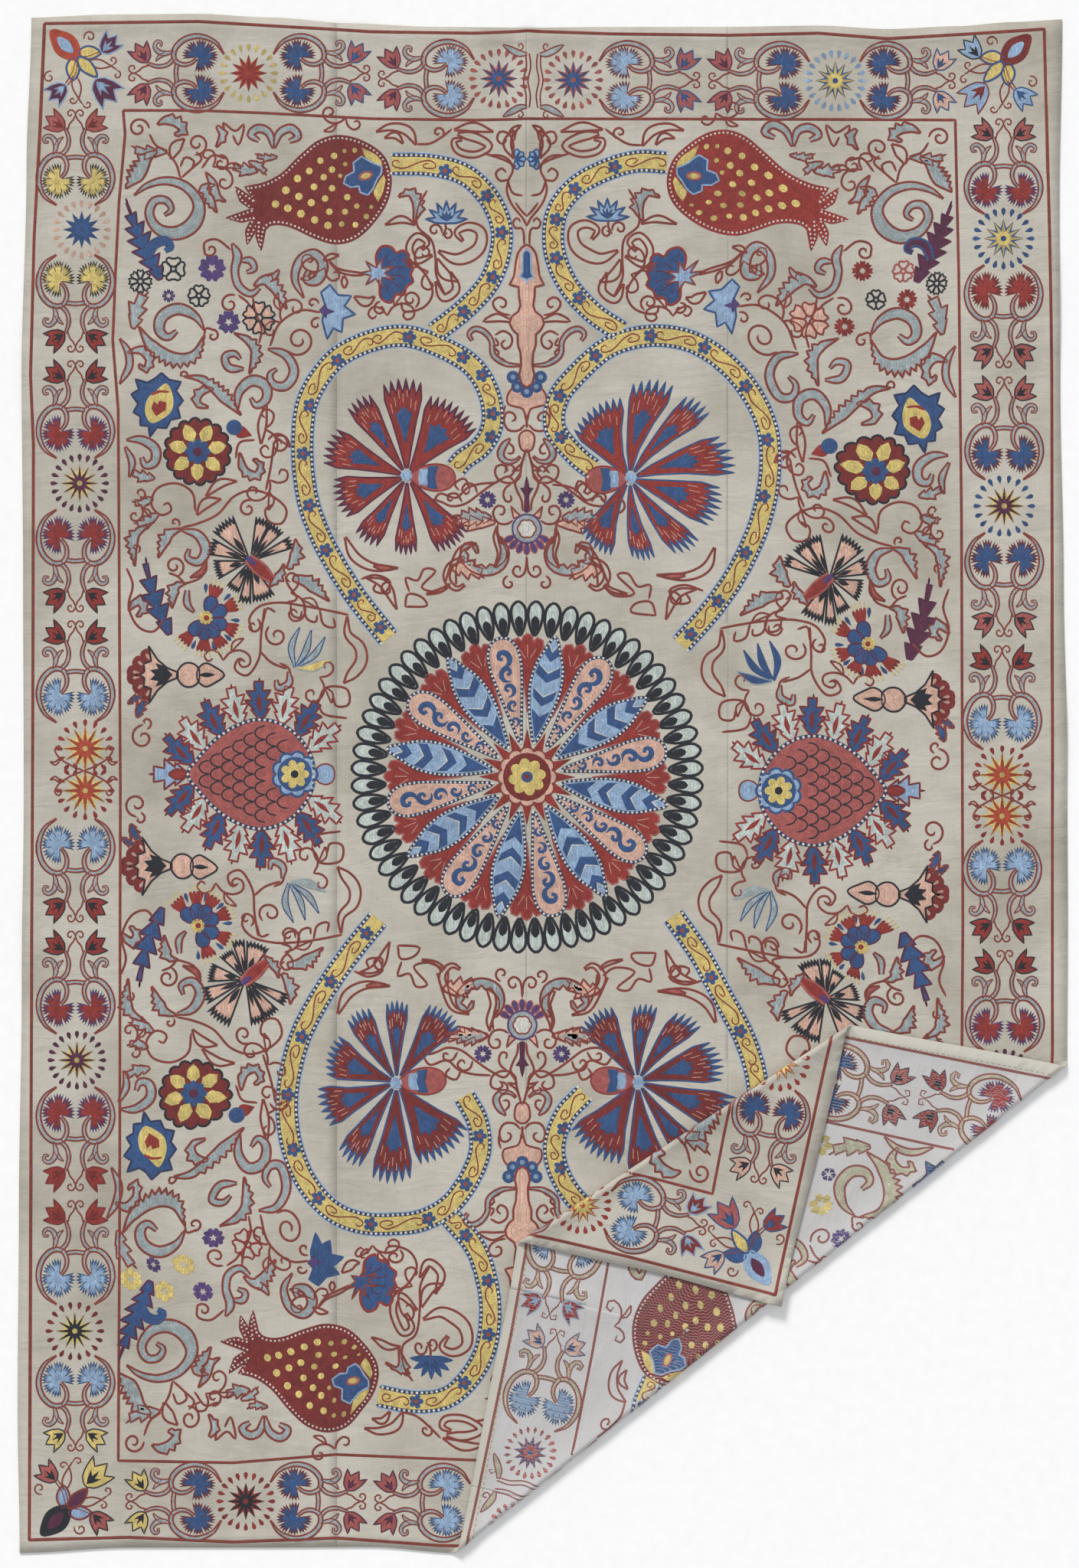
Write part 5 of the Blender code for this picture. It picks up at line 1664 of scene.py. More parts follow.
def palm_kernel(here: Hand) -> None:
    """The upright bloom along x: red scallops, a pink bell with a black palm, and two pink buds in a row."""
    for turn, reach in ((118, 3.9), (146, 3.9), (173, 4.2), (187, 4.2), (214, 3.9), (242, 3.9)):
        lobe = here.at(0, 0, turn)
        lobe.fill(((0.5, 0), (reach * 0.7, 0.95), (reach, 0.8), (reach + 0.3, 0), (reach, -0.8),
                   (reach * 0.7, -0.95)), Thread.DEEP, curved=True)
        lobe.drop(reach * 0.62, 0, 0, 1.1, 0.5, Thread.PINK, level=1)
    here.fill(((-1.3, 4.2), (0.0, 2.2), (1.4, 1.0), (3.0, 0.35), (3.0, -0.35), (1.4, -1.0), (0.0, -2.2),
               (-1.3, -4.2), (-0.9, -2.0), (-2.0, -1.6), (-1.9, -0.5), (-2.5, 0.0), (-1.9, 0.5),
               (-2.0, 1.6), (-0.9, 2.0)), Thread.PINK, 1, edge=Thread.BLACK, edge_wide=0.28)
    here.fill(((2.2, 0), (1.0, 1.3), (-0.3, 1.7), (0.1, 0.9), (-1.1, 0.7), (-0.4, 0), (-1.1, -0.7),
               (0.1, -0.9), (-0.3, -1.7), (1.0, -1.3)), Thread.BLACK, 2)
    here.fill(((2.8, 0.3), (3.8, 1.6), (5.0, 1.7), (6.0, 0.9), (6.1, 0.0), (6.0, -0.9), (5.0, -1.7),
               (3.8, -1.6), (2.8, -0.3)), Thread.PINK, 1, True, edge=Thread.BLACK, edge_wide=0.28)
    here.fill(((5.8, 0.7), (6.9, 1.7), (8.2, 1.2), (9.7, 0.0), (8.2, -1.2), (6.9, -1.7), (5.8, -0.7)),
              Thread.PINK, 1, True, edge=Thread.BLACK, edge_wide=0.28)
    here.leaf(((5.9, 0), (7.1, 0), (8.4, 0)), (0.1, 0.8, 0.05), Thread.BLACK, None, 2)


def sew_quarter(hand: Hand, threads: QuarterThreads) -> None:
    """Sews one quarter of the field, all of it drawn in the upper left quarter's centimetres.

    Args:
        hand: a hand that carries the upper left quarter to this one.
        threads: the threads that differ in this quarter.
    """
    Pomegranate().sew(hand, threads.pomegranate)
    GreatCarnation().sew(hand.at(-20.0, 45.3, -2), threads.carnation, threads.tip, Thread.ROSE)
    for scroll in SCROLLS:
        scroll.sew(hand)
    for vine in VINES:
        hand.line(vine, wide=0.34)
    for x, y, radius, start, sweep in CURLS:
        if radius:
            hand.spiral(x, y, radius, radius * 0.22, start, sweep, wide=0.34)
    for x, y, turn, size in TENDRILS:
        tendril(hand.at(x, y, turn, size))
    for x, y, turn, long, wide, thread in SAW_LEAVES:
        jagged_leaf(hand.at(x, y, turn), long, wide, thread, Thread.MADDER)
    jagged_leaf(hand.at(-55.5, 73.9, 113), 12.9, 3.9, threads.sprig, Thread.PLUM, 7, 0.03, 0.26)
    hand.leaf(((-57.4, 76.8), (-56.5, 78.9), (-54.8, 79.5), (-54.0, 78.6), (-54.8, 78.0)),
              (0.7, 1.2, 1.2, 1.0, 0.4), threads.sprig, Thread.BLUE, 1)
    jagged_leaf(hand.at(-54.2, 22.4, 107), 11.8, 3.7, threads.sprig, Thread.PLUM, 5, 0.05, 0.24)
    small_things(hand, threads)
    pink_carnation(hand.at(-42.4, 33.1, -42))
    tufted_fan(hand.at(-48.9, 24.8, -18))
    palm_kernel(hand.at(-55.9, 16.5))


def tendril(here: Hand) -> None:
    """A short stem along x that winds in at both ends, with a small leaf on its back."""
    here.line(((0.0, 0.0), (1.2, 0.9), (2.8, 0.9), (3.9, -0.2), (3.6, -1.4), (2.5, -1.5), (2.2, -0.6),
               (2.9, -0.4)), wide=0.32)
    here.line(((0.0, 0.0), (-0.4, 1.2), (-1.5, 1.9), (-2.5, 1.2), (-2.1, 0.3), (-1.4, 0.6)), wide=0.32)
    here.leaf(((1.5, 1.0), (2.2, 2.0), (3.6, 2.5)), (0.1, 0.8, 0.05), None, edge_wide=0.28)


def small_things(hand: Hand, threads: QuarterThreads) -> None:
    """Sews the quarter's single flowers, from the heart flower at the side to the lotus within the stem."""
    hand.fill(((-55.3, 60.3), (-54.2, 59.3), (-52.5, 59.0), (-53.2, 57.7), (-52.2, 56.3), (-53.0, 55.3),
               (-52.6, 53.8), (-54.0, 53.5), (-54.6, 52.3), (-56.0, 52.4), (-57.0, 51.0), (-57.2, 52.6),
               (-58.4, 52.7), (-58.4, 54.0), (-59.4, 54.6), (-58.7, 55.8), (-59.7, 57.2), (-58.6, 57.9),
               (-59.1, 59.4), (-57.4, 58.9), (-56.4, 59.4)), Thread.BLUE, edge=Thread.NIGHT,
              edge_wide=0.3)
    hand.fill(((-54.6, 58.8), (-53.6, 56.6), (-53.9, 54.7), (-55.2, 53.6), (-56.8, 53.0), (-57.7, 54.6),
               (-57.3, 56.6), (-56.0, 57.8)), Thread.YELLOW, 1, True)
    hand.fill(((-55.6, 56.3), (-54.6, 56.0), (-54.7, 54.9), (-56.1, 54.0), (-56.8, 55.2), (-56.4, 56.2),
               (-55.9, 55.7)), Thread.RED, 2)
    hand.line(((-56.8, 57.1), (-55.6, 57.6), (-54.2, 57.5)), Thread.RED, 0.5, level=2)
    rosette = hand.at(-50.1, 48.9)
    rosette.fill(lobed(4.9, 4.2, 16, 5), Thread.DEEP, edge=Thread.BLACK, edge_wide=0.34)
    for k in range(7):
        petal = rosette.at(0, 0, 360 / 7 * k + 12)
        petal.fill(((1.4, 0), (2.4, 0.95), (3.5, 0.8), (4.3, 0), (3.5, -0.8), (2.4, -0.95)),
                   Thread.YELLOW, 1)
    rosette.fill(lobed(1.9, 1.4, 8), Thread.BLUE, 2)
    rosette.disc(0, 0, 0.7, Thread.PLUM, 3)
    hand.disc(-44.8, 52.4, 1.15, Thread.BLUE)
    hand.drop(-42.2, 51.2, 162, 2.6, 1.9, Thread.RED)
    tulip_sprig = hand.at(-36.0, 17.6)
    stalk, bloom = threads.tulip
    tulip_sprig.leaf(((0, 0), (-0.5, 2.9), (0.7, 5.8)), (0.2, 0.9, 0.05), stalk, Thread.BLUE, edge_wide=0.18)
    tulip_sprig.leaf(((0.2, 0.2), (1.6, 2.4), (2.4, 5.4)), (0.2, 0.9, 0.05), stalk, Thread.BLUE,
                     edge_wide=0.18)
    tulip_sprig.leaf(((0.6, 0.2), (2.9, 1.9), (4.4, 4.4)), (0.2, 0.9, 0.05), stalk, Thread.BLUE,
                     edge_wide=0.18)
    tulip_sprig.leaf(((0.3, -0.1), (2.6, 0.0), (5.4, 1.3)), (0.2, 1.2, 0.1), bloom, Thread.MIST,
                     edge_wide=0.18)
    lobes = hand.at(-24.0, 74.8)
    lobes.fill(((0, 0.6), (-0.2, 2.6), (0.7, 3.9), (2.1, 3.7), (2.7, 2.9), (3.6, 3.3), (4.6, 2.6),
                (4.4, 1.6), (5.2, 0.8), (4.8, -0.2), (5.2, -1.2), (4.2, -2.0), (3.8, -3.2), (2.7, -3.1),
                (1.9, -4.3), (0.5, -3.6), (0.3, -1.8)), Thread.BLUE, 0, True, edge=Thread.RED,
               edge_wide=0.36)
    for turn, long in ((-58, 3.0), (-34, 3.8), (-10, 4.0), (14, 3.9), (38, 3.4), (62, 2.8)):
        lobes.at(0, 0, turn).line(((1.9, 0.0), (long * 0.7, 0.16), (long, 0.0)), Thread.PLUM, 0.26, level=1)
    lobes.fill(star(2.2, 0.8, 7, 180) * (1.25, 1.0), threads.pale, 1, edge=Thread.MADDER, edge_wide=0.24)
    pale = hand.at(-31.6, 69.2)
    pale.fill(((0, 1.0), (-0.6, 2.8), (0.7, 3.9), (1.9, 2.4), (3.8, 2.3), (2.8, 0.8), (4.4, -0.4),
               (2.6, -1.0), (2.4, -3.0), (1.2, -2.4), (0.3, -4.0), (-0.4, -1.4)), threads.pale,
              edge=Thread.BLUE, edge_wide=0.3)
    pale.fill(((-0.9, 0.2), (0.1, 1.3), (0.3, 0.5), (1.5, 0.0), (0.3, -0.4), (0.2, -1.1)), Thread.VIOLET, 1)
    lotus = hand.at(-14.0, 82.2, 90)
    lotus.fill(jagged_fan(1.6, 3.1, -95, 95, 7, 1.4, ((-0.2, 0.0),)), threads.pale, edge=threads.lotus,
               edge_wide=0.3)
    lotus.fill(jagged_fan(0.8, 1.8, -60, 60, 5, 0.8, ((0.1, 0.0),)), threads.lotus, 1)
    for x, y, radius, lobed_by, thread, open_work in threads.flowers:
        small_flower(hand.at(x, y), radius, lobed_by, thread, open_work)


@dataclass(frozen=True)
class Quarter:
    """A quarter of the field: how the upper left one is mirrored to it, and where its own places differ."""

    across: bool
    down: bool
    pairs: tuple[tuple[float, float, float, float], ...]
    threads: QuarterThreads
    middle: tuple[float, float] = (-2.35, 1.7)

    def carry(self, points: np.ndarray) -> np.ndarray:
        """Carries the upper left quarter's places here: mirrored, then moved by the nearest pairs' offsets.

        Args:
            points: places in the upper left quarter.

        Returns:
            Places on the flat cloth.
        """
        middle = np.array(self.middle)
        sign = np.array((-1.0 if self.across else 1.0, -1.0 if self.down else 1.0))
        here = middle + (points - middle) * sign
        if not self.pairs:
            return here
        rows = np.array(self.pairs)
        known = middle + (rows[:, :2] - middle) * sign
        share = 1 / (((here[:, None] - known) ** 2).sum(axis=2) + 6.0) ** 1.6
        share /= share.sum(axis=1, keepdims=True)
        return here + share @ (rows[:, 2:] - known)


UL_FLOWERS = (
    (-58.4, 73.6, 1.7, 8, T.BLACK, True), (-53.6, 75.4, 1.7, 4, T.BLACK, True),
    (-54.3, 71.5, 1.0, 8, T.VIOLET, False), (-48.0, 75.5, 2.0, 5, T.VIOLET, False),
    (-49.9, 71.5, 1.6, 5, T.BLACK, True), (-45.6, 67.7, 1.7, 5, T.VIOLET, False),
    (-41.2, 68.3, 2.4, 6, T.BLACK, True),
)
UR_FLOWERS = (
    (-58.4, 73.6, 1.5, 8, T.BLACK, True), (-53.6, 75.4, 1.5, 5, T.ROSE, True),
    (-54.3, 71.5, 1.5, 8, T.RED, False), (-48.0, 75.5, 1.5, 8, T.RED, False),
    (-49.9, 71.5, 1.4, 5, T.BLACK, True), (-45.6, 67.7, 1.4, 8, T.RED, False),
    (-41.2, 68.3, 2.4, 6, T.MADDER, True),
)
LL_FLOWERS = (
    (-58.4, 73.6, 1.7, 6, T.YELLOW, False), (-53.6, 75.4, 1.6, 6, T.YELLOW, False),
    (-54.3, 71.5, 1.2, 6, T.VIOLET, False), (-48.0, 75.5, 1.5, 6, T.VIOLET, False),
    (-49.9, 71.5, 1.6, 6, T.YELLOW, False), (-45.6, 67.7, 1.4, 5, T.VIOLET, False),
    (-41.2, 68.3, 2.0, 5, T.RED, True),
)
QUARTERS: tuple[Quarter, ...] = (
    Quarter(False, False, (), QuarterThreads(tip=T.PLUM, flowers=UL_FLOWERS)),
    Quarter(True, False,
            ((-53.6, 83.9, 52.4, 83.1), (-52.2, 65.9, 50.7, 65.3), (-58.0, 79.7, 56.9, 79.7),
             (-55.4, 55.8, 54.0, 53.6), (-50.1, 48.9, 48.3, 46.0), (-43.9, 52.1, 40.5, 49.4),
             (-42.2, 33.6, 41.2, 31.0), (-48.7, 25.0, 47.0, 21.2), (-54.3, 16.7, 53.9, 13.1),
             (-21.5, 75.0, 17.7, 74.3), (-30.5, 68.8, 26.5, 69.7), (-14.0, 83.3, 9.3, 83.7),
             (-34.3, 19.7, 31.8, 17.8), (-22.0, 90.3, 18.0, 90.0), (-45.8, 82.8, 44.1, 82.6),
             (-20.0, 45.3, 12.9, 45.0), (-60.9, 98.4, 59.8, 97.0), (-2.35, 60.0, -2.35, 60.0),
             (-30.0, 94.6, 26.5, 95.4), (-30.0, 79.3, 28.0, 80.6), (-2.35, 30.0, -2.35, 30.0),
             (-2.35, 95.0, -2.35, 95.0)),
            QuarterThreads(T.RED, T.RED, T.BLUE, T.PLUM, T.SKY, T.BLUE, (T.BLUE, T.BLUE), UR_FLOWERS)),
    Quarter(False, True,
            ((-53.6, 83.9, -54.8, -81.1), (-52.2, 65.9, -55.2, -63.6), (-58.0, 79.7, -59.0, -77.4),
             (-55.4, 55.8, -56.4, -51.8), (-50.1, 48.9, -50.7, -44.2), (-43.9, 52.1, -43.4, -47.0),
             (-42.2, 33.6, -42.9, -28.3), (-48.7, 25.0, -49.9, -20.1), (-54.3, 16.7, -55.2, -11.4),
             (-21.5, 75.0, -24.0, -71.4), (-30.5, 68.8, -32.2, -68.3), (-14.0, 83.3, -16.2, -83.8),
             (-34.3, 19.7, -35.2, -15.8), (-22.0, 90.3, -23.9, -86.7), (-45.8, 82.8, -46.6, -80.2),
             (-20.0, 45.3, -21.5, -42.6), (-60.9, 98.4, -61.6, -97.5), (-2.35, 43.0, -3.3, -40.2),
             (-30.0, 94.6, -31.5, -93.2), (-30.0, 79.3, -31.5, -78.0), (-2.35, 95.0, -3.4, -95.0)),
            QuarterThreads(T.DEEP, T.DEEP, T.BLUE, T.BLUE, T.BLUE, T.BLUE, (T.MIST, T.MIST), LL_FLOWERS)),
    Quarter(True, True,
            ((-42.2, 33.6, 40.7, -31.0), (-48.7, 25.0, 46.0, -23.2), (-54.3, 16.7, 53.0, -15.6),
             (-34.3, 19.7, 31.3, -16.9), (-20.0, 45.3, 14.0, -42.5), (-22.0, 90.3, 18.0, -88.8),
             (-45.8, 82.8, 43.0, -83.5), (-53.6, 83.9, 52.4, -83.0), (-52.2, 65.9, 51.2, -65.0),
             (-50.1, 48.9, 49.0, -46.5), (-60.9, 98.4, 60.3, -100.6), (-2.35, 43.0, -3.3, -40.2),
             (-2.35, 95.0, -3.4, -95.0), (-55.4, 55.8, 54.4, -53.5)),
            QuarterThreads(T.DEEP, T.DEEP, T.BLUE, T.BLUE, T.SKY, T.BLUE, (T.MIST, T.MIST), LL_FLOWERS)),
)
STEMS: tuple[Stem, ...] = (
    Stem(((-22.0, 90.6), (-16.0, 90.4), (-11.2, 89.0), (-7.7, 85.5), (-6.0, 81.2), (-6.4, 76.9),
          (-8.0, 73.2), (-11.2, 69.7), (-15.7, 66.1)),
         ((-14.2, 89.6), (-8.1, 86.0), (-6.0, 80.7), (-7.3, 74.2), (-11.5, 69.2))),
    Stem(((-12.7, 46.4), (-11.7, 47.6), (-8.9, 49.7), (-7.4, 52.5), (-7.6, 56.6), (-9.7, 60.7),
          (-13.0, 63.2), (-20.7, 65.7), (-28.9, 63.2), (-32.2, 59.9), (-34.3, 55.8), (-34.9, 50.5),
          (-34.7, 45.6), (-33.9, 41.0), (-32.2, 36.5), (-29.8, 32.0), (-26.9, 27.5), (-22.4, 21.8)),
         ((-11.6, 62.6), (-8.8, 60.0), (-7.3, 54.4), (-7.5, 51.0), (-19.4, 65.5), (-29.8, 62.1),
          (-33.8, 55.6), (-34.8, 48.6), (-33.9, 41.1), (-31.5, 34.6), (-27.4, 28.1), (-23.6, 23.4))),
    Stem(((18.0, 90.8), (13.7, 91.0), (9.3, 89.8), (5.0, 87.5), (2.3, 84.3), (1.5, 81.0), (1.8, 77.3),
          (3.7, 73.0), (7.3, 69.0), (11.3, 66.3)),
         ((10.4, 90.2), (4.6, 87.0), (1.9, 82.6), (1.9, 77.0), (5.2, 71.2))),
    Stem(((7.3, 46.3), (4.9, 48.2), (1.7, 52.4), (2.2, 56.6), (5.2, 60.4), (9.8, 64.2), (15.7, 65.7),
          (21.4, 64.9), (26.2, 62.0), (30.2, 57.4), (32.6, 52.0), (32.9, 45.6), (31.6, 39.0),
          (28.7, 32.3), (24.8, 26.4), (20.0, 20.9)),
         ((2.6, 51.0), (2.4, 57.0), (7.6, 62.8), (15.6, 65.7), (23.4, 64.0), (29.4, 58.4), (32.5, 50.6),
          (32.0, 42.4), (29.4, 34.2), (25.4, 27.2), (21.4, 22.4))),
    Stem(((-11.4, -44.6), (-9.4, -48.6), (-9.3, -53.4), (-13.1, -60.0), (-17.4, -62.6), (-21.8, -63.2),
          (-26.4, -63.0), (-30.4, -61.4), (-34.0, -57.6), (-36.2, -52.8), (-37.1, -47.6), (-36.9, -42.7),
          (-35.2, -36.0), (-31.9, -29.7), (-28.0, -24.0), (-23.9, -18.9)),
         ((-9.2, -50.4), (-11.2, -57.4), (-16.6, -62.4), (-25.0, -63.2), (-32.6, -59.4), (-36.2, -52.4),
          (-37.0, -44.4), (-35.0, -36.0), (-30.8, -28.0), (-25.6, -21.0))),
    Stem(((-13.6, -62.0), (-9.8, -66.6), (-7.9, -72.6), (-7.7, -77.6), (-8.6, -82.0), (-10.9, -85.8),
          (-14.0, -88.4), (-18.6, -89.0), (-23.9, -88.1)),
         ((-11.2, -64.8), (-8.0, -71.4), (-7.9, -79.2), (-11.4, -86.2), (-18.4, -88.9))),
    Stem(((6.0, -44.2), (3.0, -47.6), (1.6, -52.6), (3.4, -57.8), (7.4, -61.8), (13.4, -63.6),
          (19.6, -62.6), (25.0, -59.4), (28.8, -54.8), (31.0, -49.2), (31.1, -42.8), (29.4, -36.6),
          (25.8, -29.7), (22.6, -23.8), (18.9, -18.5)),
         ((3.0, -49.4), (2.6, -55.0), (6.6, -60.8), (14.6, -63.4), (22.8, -60.6), (28.4, -54.0),
          (31.0, -45.0), (28.6, -35.2), (24.4, -27.4), (20.2, -20.6))),
    Stem(((9.6, -63.0), (5.6, -67.6), (3.6, -73.4), (3.6, -79.0), (5.4, -84.0), (9.4, -88.0),
          (14.0, -89.4), (18.6, -88.8)),
         ((6.6, -66.8), (3.8, -72.8), (4.0, -80.2), (8.4, -87.0), (14.4, -89.2))),
)


AXIS_LINES: tuple[Points, ...] = (
    ((0.0, 33.7), (0.1, 32.2), (0.4, 31.2), (1.2, 30.7), (2.0, 31.3), (1.7, 32.2), (1.0, 32.2),
     (1.0, 31.6)),
    ((2.0, 38.9), (2.9, 38.4), (4.2, 38.6), (4.9, 40.0), (4.3, 41.0), (3.3, 40.8), (3.4, 39.8),
     (4.0, 39.8)),
    ((0.6, 40.3), (0.75, 41.8), (1.4, 43.2), (1.7, 44.4), (1.0, 45.2), (0.9, 46.2), (0.4, 48.2),
     (0.1, 49.3)),
    ((2.3, 44.2), (3.1, 43.6), (3.4, 42.6), (2.9, 41.6), (2.2, 41.9), (2.4, 42.6)),
    ((1.7, 44.4), (2.6, 45.3), (4.2, 44.6), (5.5, 43.8), (7.0, 42.7), (9.0, 41.3), (11.0, 41.0),
     (12.4, 41.6), (13.8, 41.9), (14.2, 40.8), (13.4, 40.0), (12.7, 40.6)),
    ((7.2, 42.9), (7.6, 44.0), (8.7, 44.3), (9.4, 43.4), (8.7, 42.7), (8.3, 43.3)),
    ((9.4, 41.6), (10.2, 42.8), (11.4, 42.6), (11.3, 41.7), (10.7, 42.0)),
    ((1.7, 44.4), (3.2, 44.4), (4.4, 45.2), (4.5, 46.6), (3.5, 47.0), (2.8, 46.4), (3.3, 45.8)),
    ((0.4, 48.2), (0.9, 47.0), (2.1, 46.1), (0.8, 46.2), (1.3, 45.2), (1.8, 44.6)),
    ((2.6, 50.2), (1.9, 49.4), (2.1, 48.6), (2.8, 48.7)),
    ((0.3, 52.8), (1.1, 52.0), (2.6, 52.0), (3.3, 53.2), (2.9, 54.6), (1.9, 54.4), (1.6, 53.6),
     (2.2, 53.3)),
    ((3.3, 53.4), (3.4, 54.6), (3.1, 55.6)),
    ((0.1, 52.4), (0.0, 53.2), (0.3, 54.2)),
    ((2.4, 68.7), (3.5, 68.9), (4.6, 69.6), (4.9, 70.6), (4.0, 71.3), (3.0, 70.7), (3.3, 69.8),
     (3.9, 70.0)),
    ((2.4, 68.1), (4.4, 68.9), (6.3, 67.8), (4.0, 67.8), (2.4, 67.7)),
    ((4.6, 65.8), (3.4, 66.4), (2.2, 65.6), (2.3, 64.3), (3.2, 63.8), (3.7, 64.6), (3.1, 65.1)),
    ((4.6, 65.4), (4.1, 64.4), (4.9, 64.2), (4.0, 63.2), (4.4, 62.8), (3.2, 62.2)),
    ((0.4, 78.9), (0.4, 80.2), (0.7, 81.3), (1.6, 81.3), (2.0, 82.2), (1.3, 82.8), (0.9, 82.2)),
    ((0.0, 81.6), (0.6, 82.8), (1.6, 84.0), (2.4, 85.2), (2.9, 86.9), (2.6, 88.4), (2.0, 89.7),
     (2.4, 91.0), (3.6, 91.8), (5.4, 91.9)),
    ((0.0, 83.0), (0.9, 84.0), (1.6, 85.0)),
    ((0.6, 86.0), (2.0, 86.4), (2.8, 88.2)),
    ((2.5, 88.4), (3.9, 88.2), (4.5, 89.3), (3.6, 90.0), (3.0, 89.4)),
    ((2.2, 91.6), (1.9, 93.4), (2.6, 95.0), (3.9, 95.3), (4.3, 94.2), (3.5, 93.5), (2.9, 94.2)),
    ((1.8, 94.0), (1.5, 95.4), (0.8, 96.2), (2.0, 95.9), (2.6, 95.2)),
)
AXIS_BANDS: tuple[tuple[Points, tuple[float, ...]], ...] = (
    (((2.4, 50.8), (3.4, 49.7), (3.8, 48.4), (3.1, 47.5), (1.8, 47.5), (0.9, 48.2)),
     (0.05, 0.8, 0.9, 0.7, 0.4, 0.2)),
    (((1.0, 61.4), (3.0, 61.6), (4.9, 63.0), (5.1, 64.9), (6.2, 66.3), (7.6, 66.7), (8.4, 65.9),
      (7.9, 65.0)), (0.2, 0.5, 0.7, 0.6, 0.6, 0.7, 0.6, 0.3)),
)
AXIS_COLUMN: Points = (
    (0.0, 58.2), (0.8, 58.8), (1.1, 60.0), (0.8, 61.4), (0.9, 63.2), (1.3, 64.4), (1.3, 65.9),
    (2.0, 66.5), (2.5, 67.5), (2.2, 68.5), (1.2, 69.2), (0.9, 70.1), (1.1, 71.4), (1.15, 72.8),
    (2.5, 73.1), (1.8, 74.4), (1.6, 76.1), (1.3, 77.6), (0.7, 78.5), (0.0, 78.9),
)


def both_sides(half: Points) -> np.ndarray:
    """The outline whose right half is given, its left half mirrored, with the ends on the middle line."""
    right = np.array(half)
    return np.vstack([right, right[-2:0:-1] * (-1, 1)])


def sew_axis(hand: Hand, lower: bool) -> None:
    """Sews what stands on the middle line between the stems.

    Args:
        hand: a hand on the middle line whose y runs outwards, 1.7 at the medallion's middle.
        lower: whether it is the lower arm, whose upper part differs.
    """
    ring = hand.at(0, 37.7)
    for turn in range(-150, -29, 20):
        ring.at(1.7 * math.cos(math.radians(turn)), 1.7 * math.sin(math.radians(turn)), turn).fill(
            drop_ring(2.1, 0.95), Thread.VIOLET, edge=Thread.ROSE, edge_wide=0.16)
    ring.fill(ring_points(0, 0, 2.1, 20), Thread.MIST, 1, edge=Thread.VIOLET, edge_wide=0.26)
    ring.fill(lobed(1.35, 1.2, 6), Thread.WHITE, 2, edge=Thread.MADDER, edge_wide=0.24)
    hand.fill(both_sides(((0.0, 40.0), (0.45, 40.2), (0.35, 42.6), (1.0, 43.6), (0.4, 43.7), (0.3, 44.4),
                          (0.0, 45.4))), Thread.PLUM)
    hand.fill(both_sides(((0.0, 48.9), (0.75, 49.2), (1.1, 50.3), (1.0, 51.4), (0.0, 52.0))), Thread.PINK,
              0, True, edge=Thread.MADDER, edge_wide=0.3)
    hand.fill(both_sides(((0.0, 53.8), (0.6, 55.1), (1.5, 55.4), (2.7, 55.8), (2.8, 57.0), (2.0, 58.1),
                          (0.8, 57.8), (0.0, 57.4))), Thread.PINK, 0, True, edge=Thread.MADDER,
              edge_wide=0.3)
    for x, y, radius in ((2.0, 59.7, 0.95), (-2.0, 59.7, 0.95), (1.4, 58.3, 0.9), (-1.4, 58.3, 0.9),
                         (0, 57.6, 0.95)):
        hand.disc(x, y, radius, Thread.BLUE, 1)
        hand.disc(x, y, radius * 0.4, Thread.SKY, 2)
    hand.fill(both_sides(AXIS_COLUMN), Thread.PINK, 2, edge=Thread.MADDER, edge_wide=0.32)
    hand.fill(both_sides(((0.0, 73.3), (0.25, 73.9), (0.95, 74.2), (0.6, 75.0), (0.6, 77.6), (0.0, 78.4))),
              Thread.BLUE, 3, edge=Thread.SKY, edge_wide=0.26)
    for mirror in (False, True):
        half = hand if not mirror else replace(hand, carry=lambda points: hand.carry(points * (-1, 1)))
        for line in AXIS_LINES:
            half.line(line, wide=0.34)
        for points, widths in AXIS_BANDS:
            half.leaf(points, widths, Thread.MIST)
        small_flower(half.at(5.7, 41.9), 1.35, 7, Thread.VIOLET, False)
        jagged_leaf(half.at(5.2, 39.3), 5.8, 2.9, Thread.MIST, Thread.MADDER, 5, 0.02)
        half.fill(((0.9, 39.6), (1.4, 40.0), (2.3, 41.0), (1.9, 39.2)), Thread.PINK, edge=Thread.MADDER,
                  edge_wide=0.26)
        half.line(((4.2, 38.4), (4.3, 36.8), (3.6, 35.4)), wide=0.34)
        half.saw(((4.0, 36.4), (3.2, 34.6), (3.6, 32.6), (5.3, 31.6), (7.2, 31.8), (9.0, 33.2),
                  (9.0, 35.1), (7.6, 35.4), (7.2, 34.2)), (0.6, 1.2, 1.3, 1.3, 1.2, 1.0, 0.7, 0.4), 9,
                 Thread.MIST, outward=-1.0)
        half.leaf(((9.0, 33.6), (11.2, 32.2), (11.6, 30.4), (10.2, 29.0), (9.0, 29.6)),
                  (0.3, 0.8, 0.9, 0.7, 0.3), None)
        half.leaf(((11.2, 29.6), (12.4, 28.8), (14.6, 28.2)), (0.3, 0.5, 0.1), None)
        fan = half.at(1.9, 91.3, 180)
        for turn in (-80, -40, 0, 40, 80):
            fan.at(0.3, 0, turn).fill(drop_ring(1.5, 0.85), Thread.SKY, edge=Thread.BLUE, edge_wide=0.26)
    if lower:
        hand.fill(both_sides(((0.0, 79.4), (0.8, 80.2), (1.2, 82.4), (0.0, 84.6))), Thread.MIST,
                  edge=Thread.MADDER)


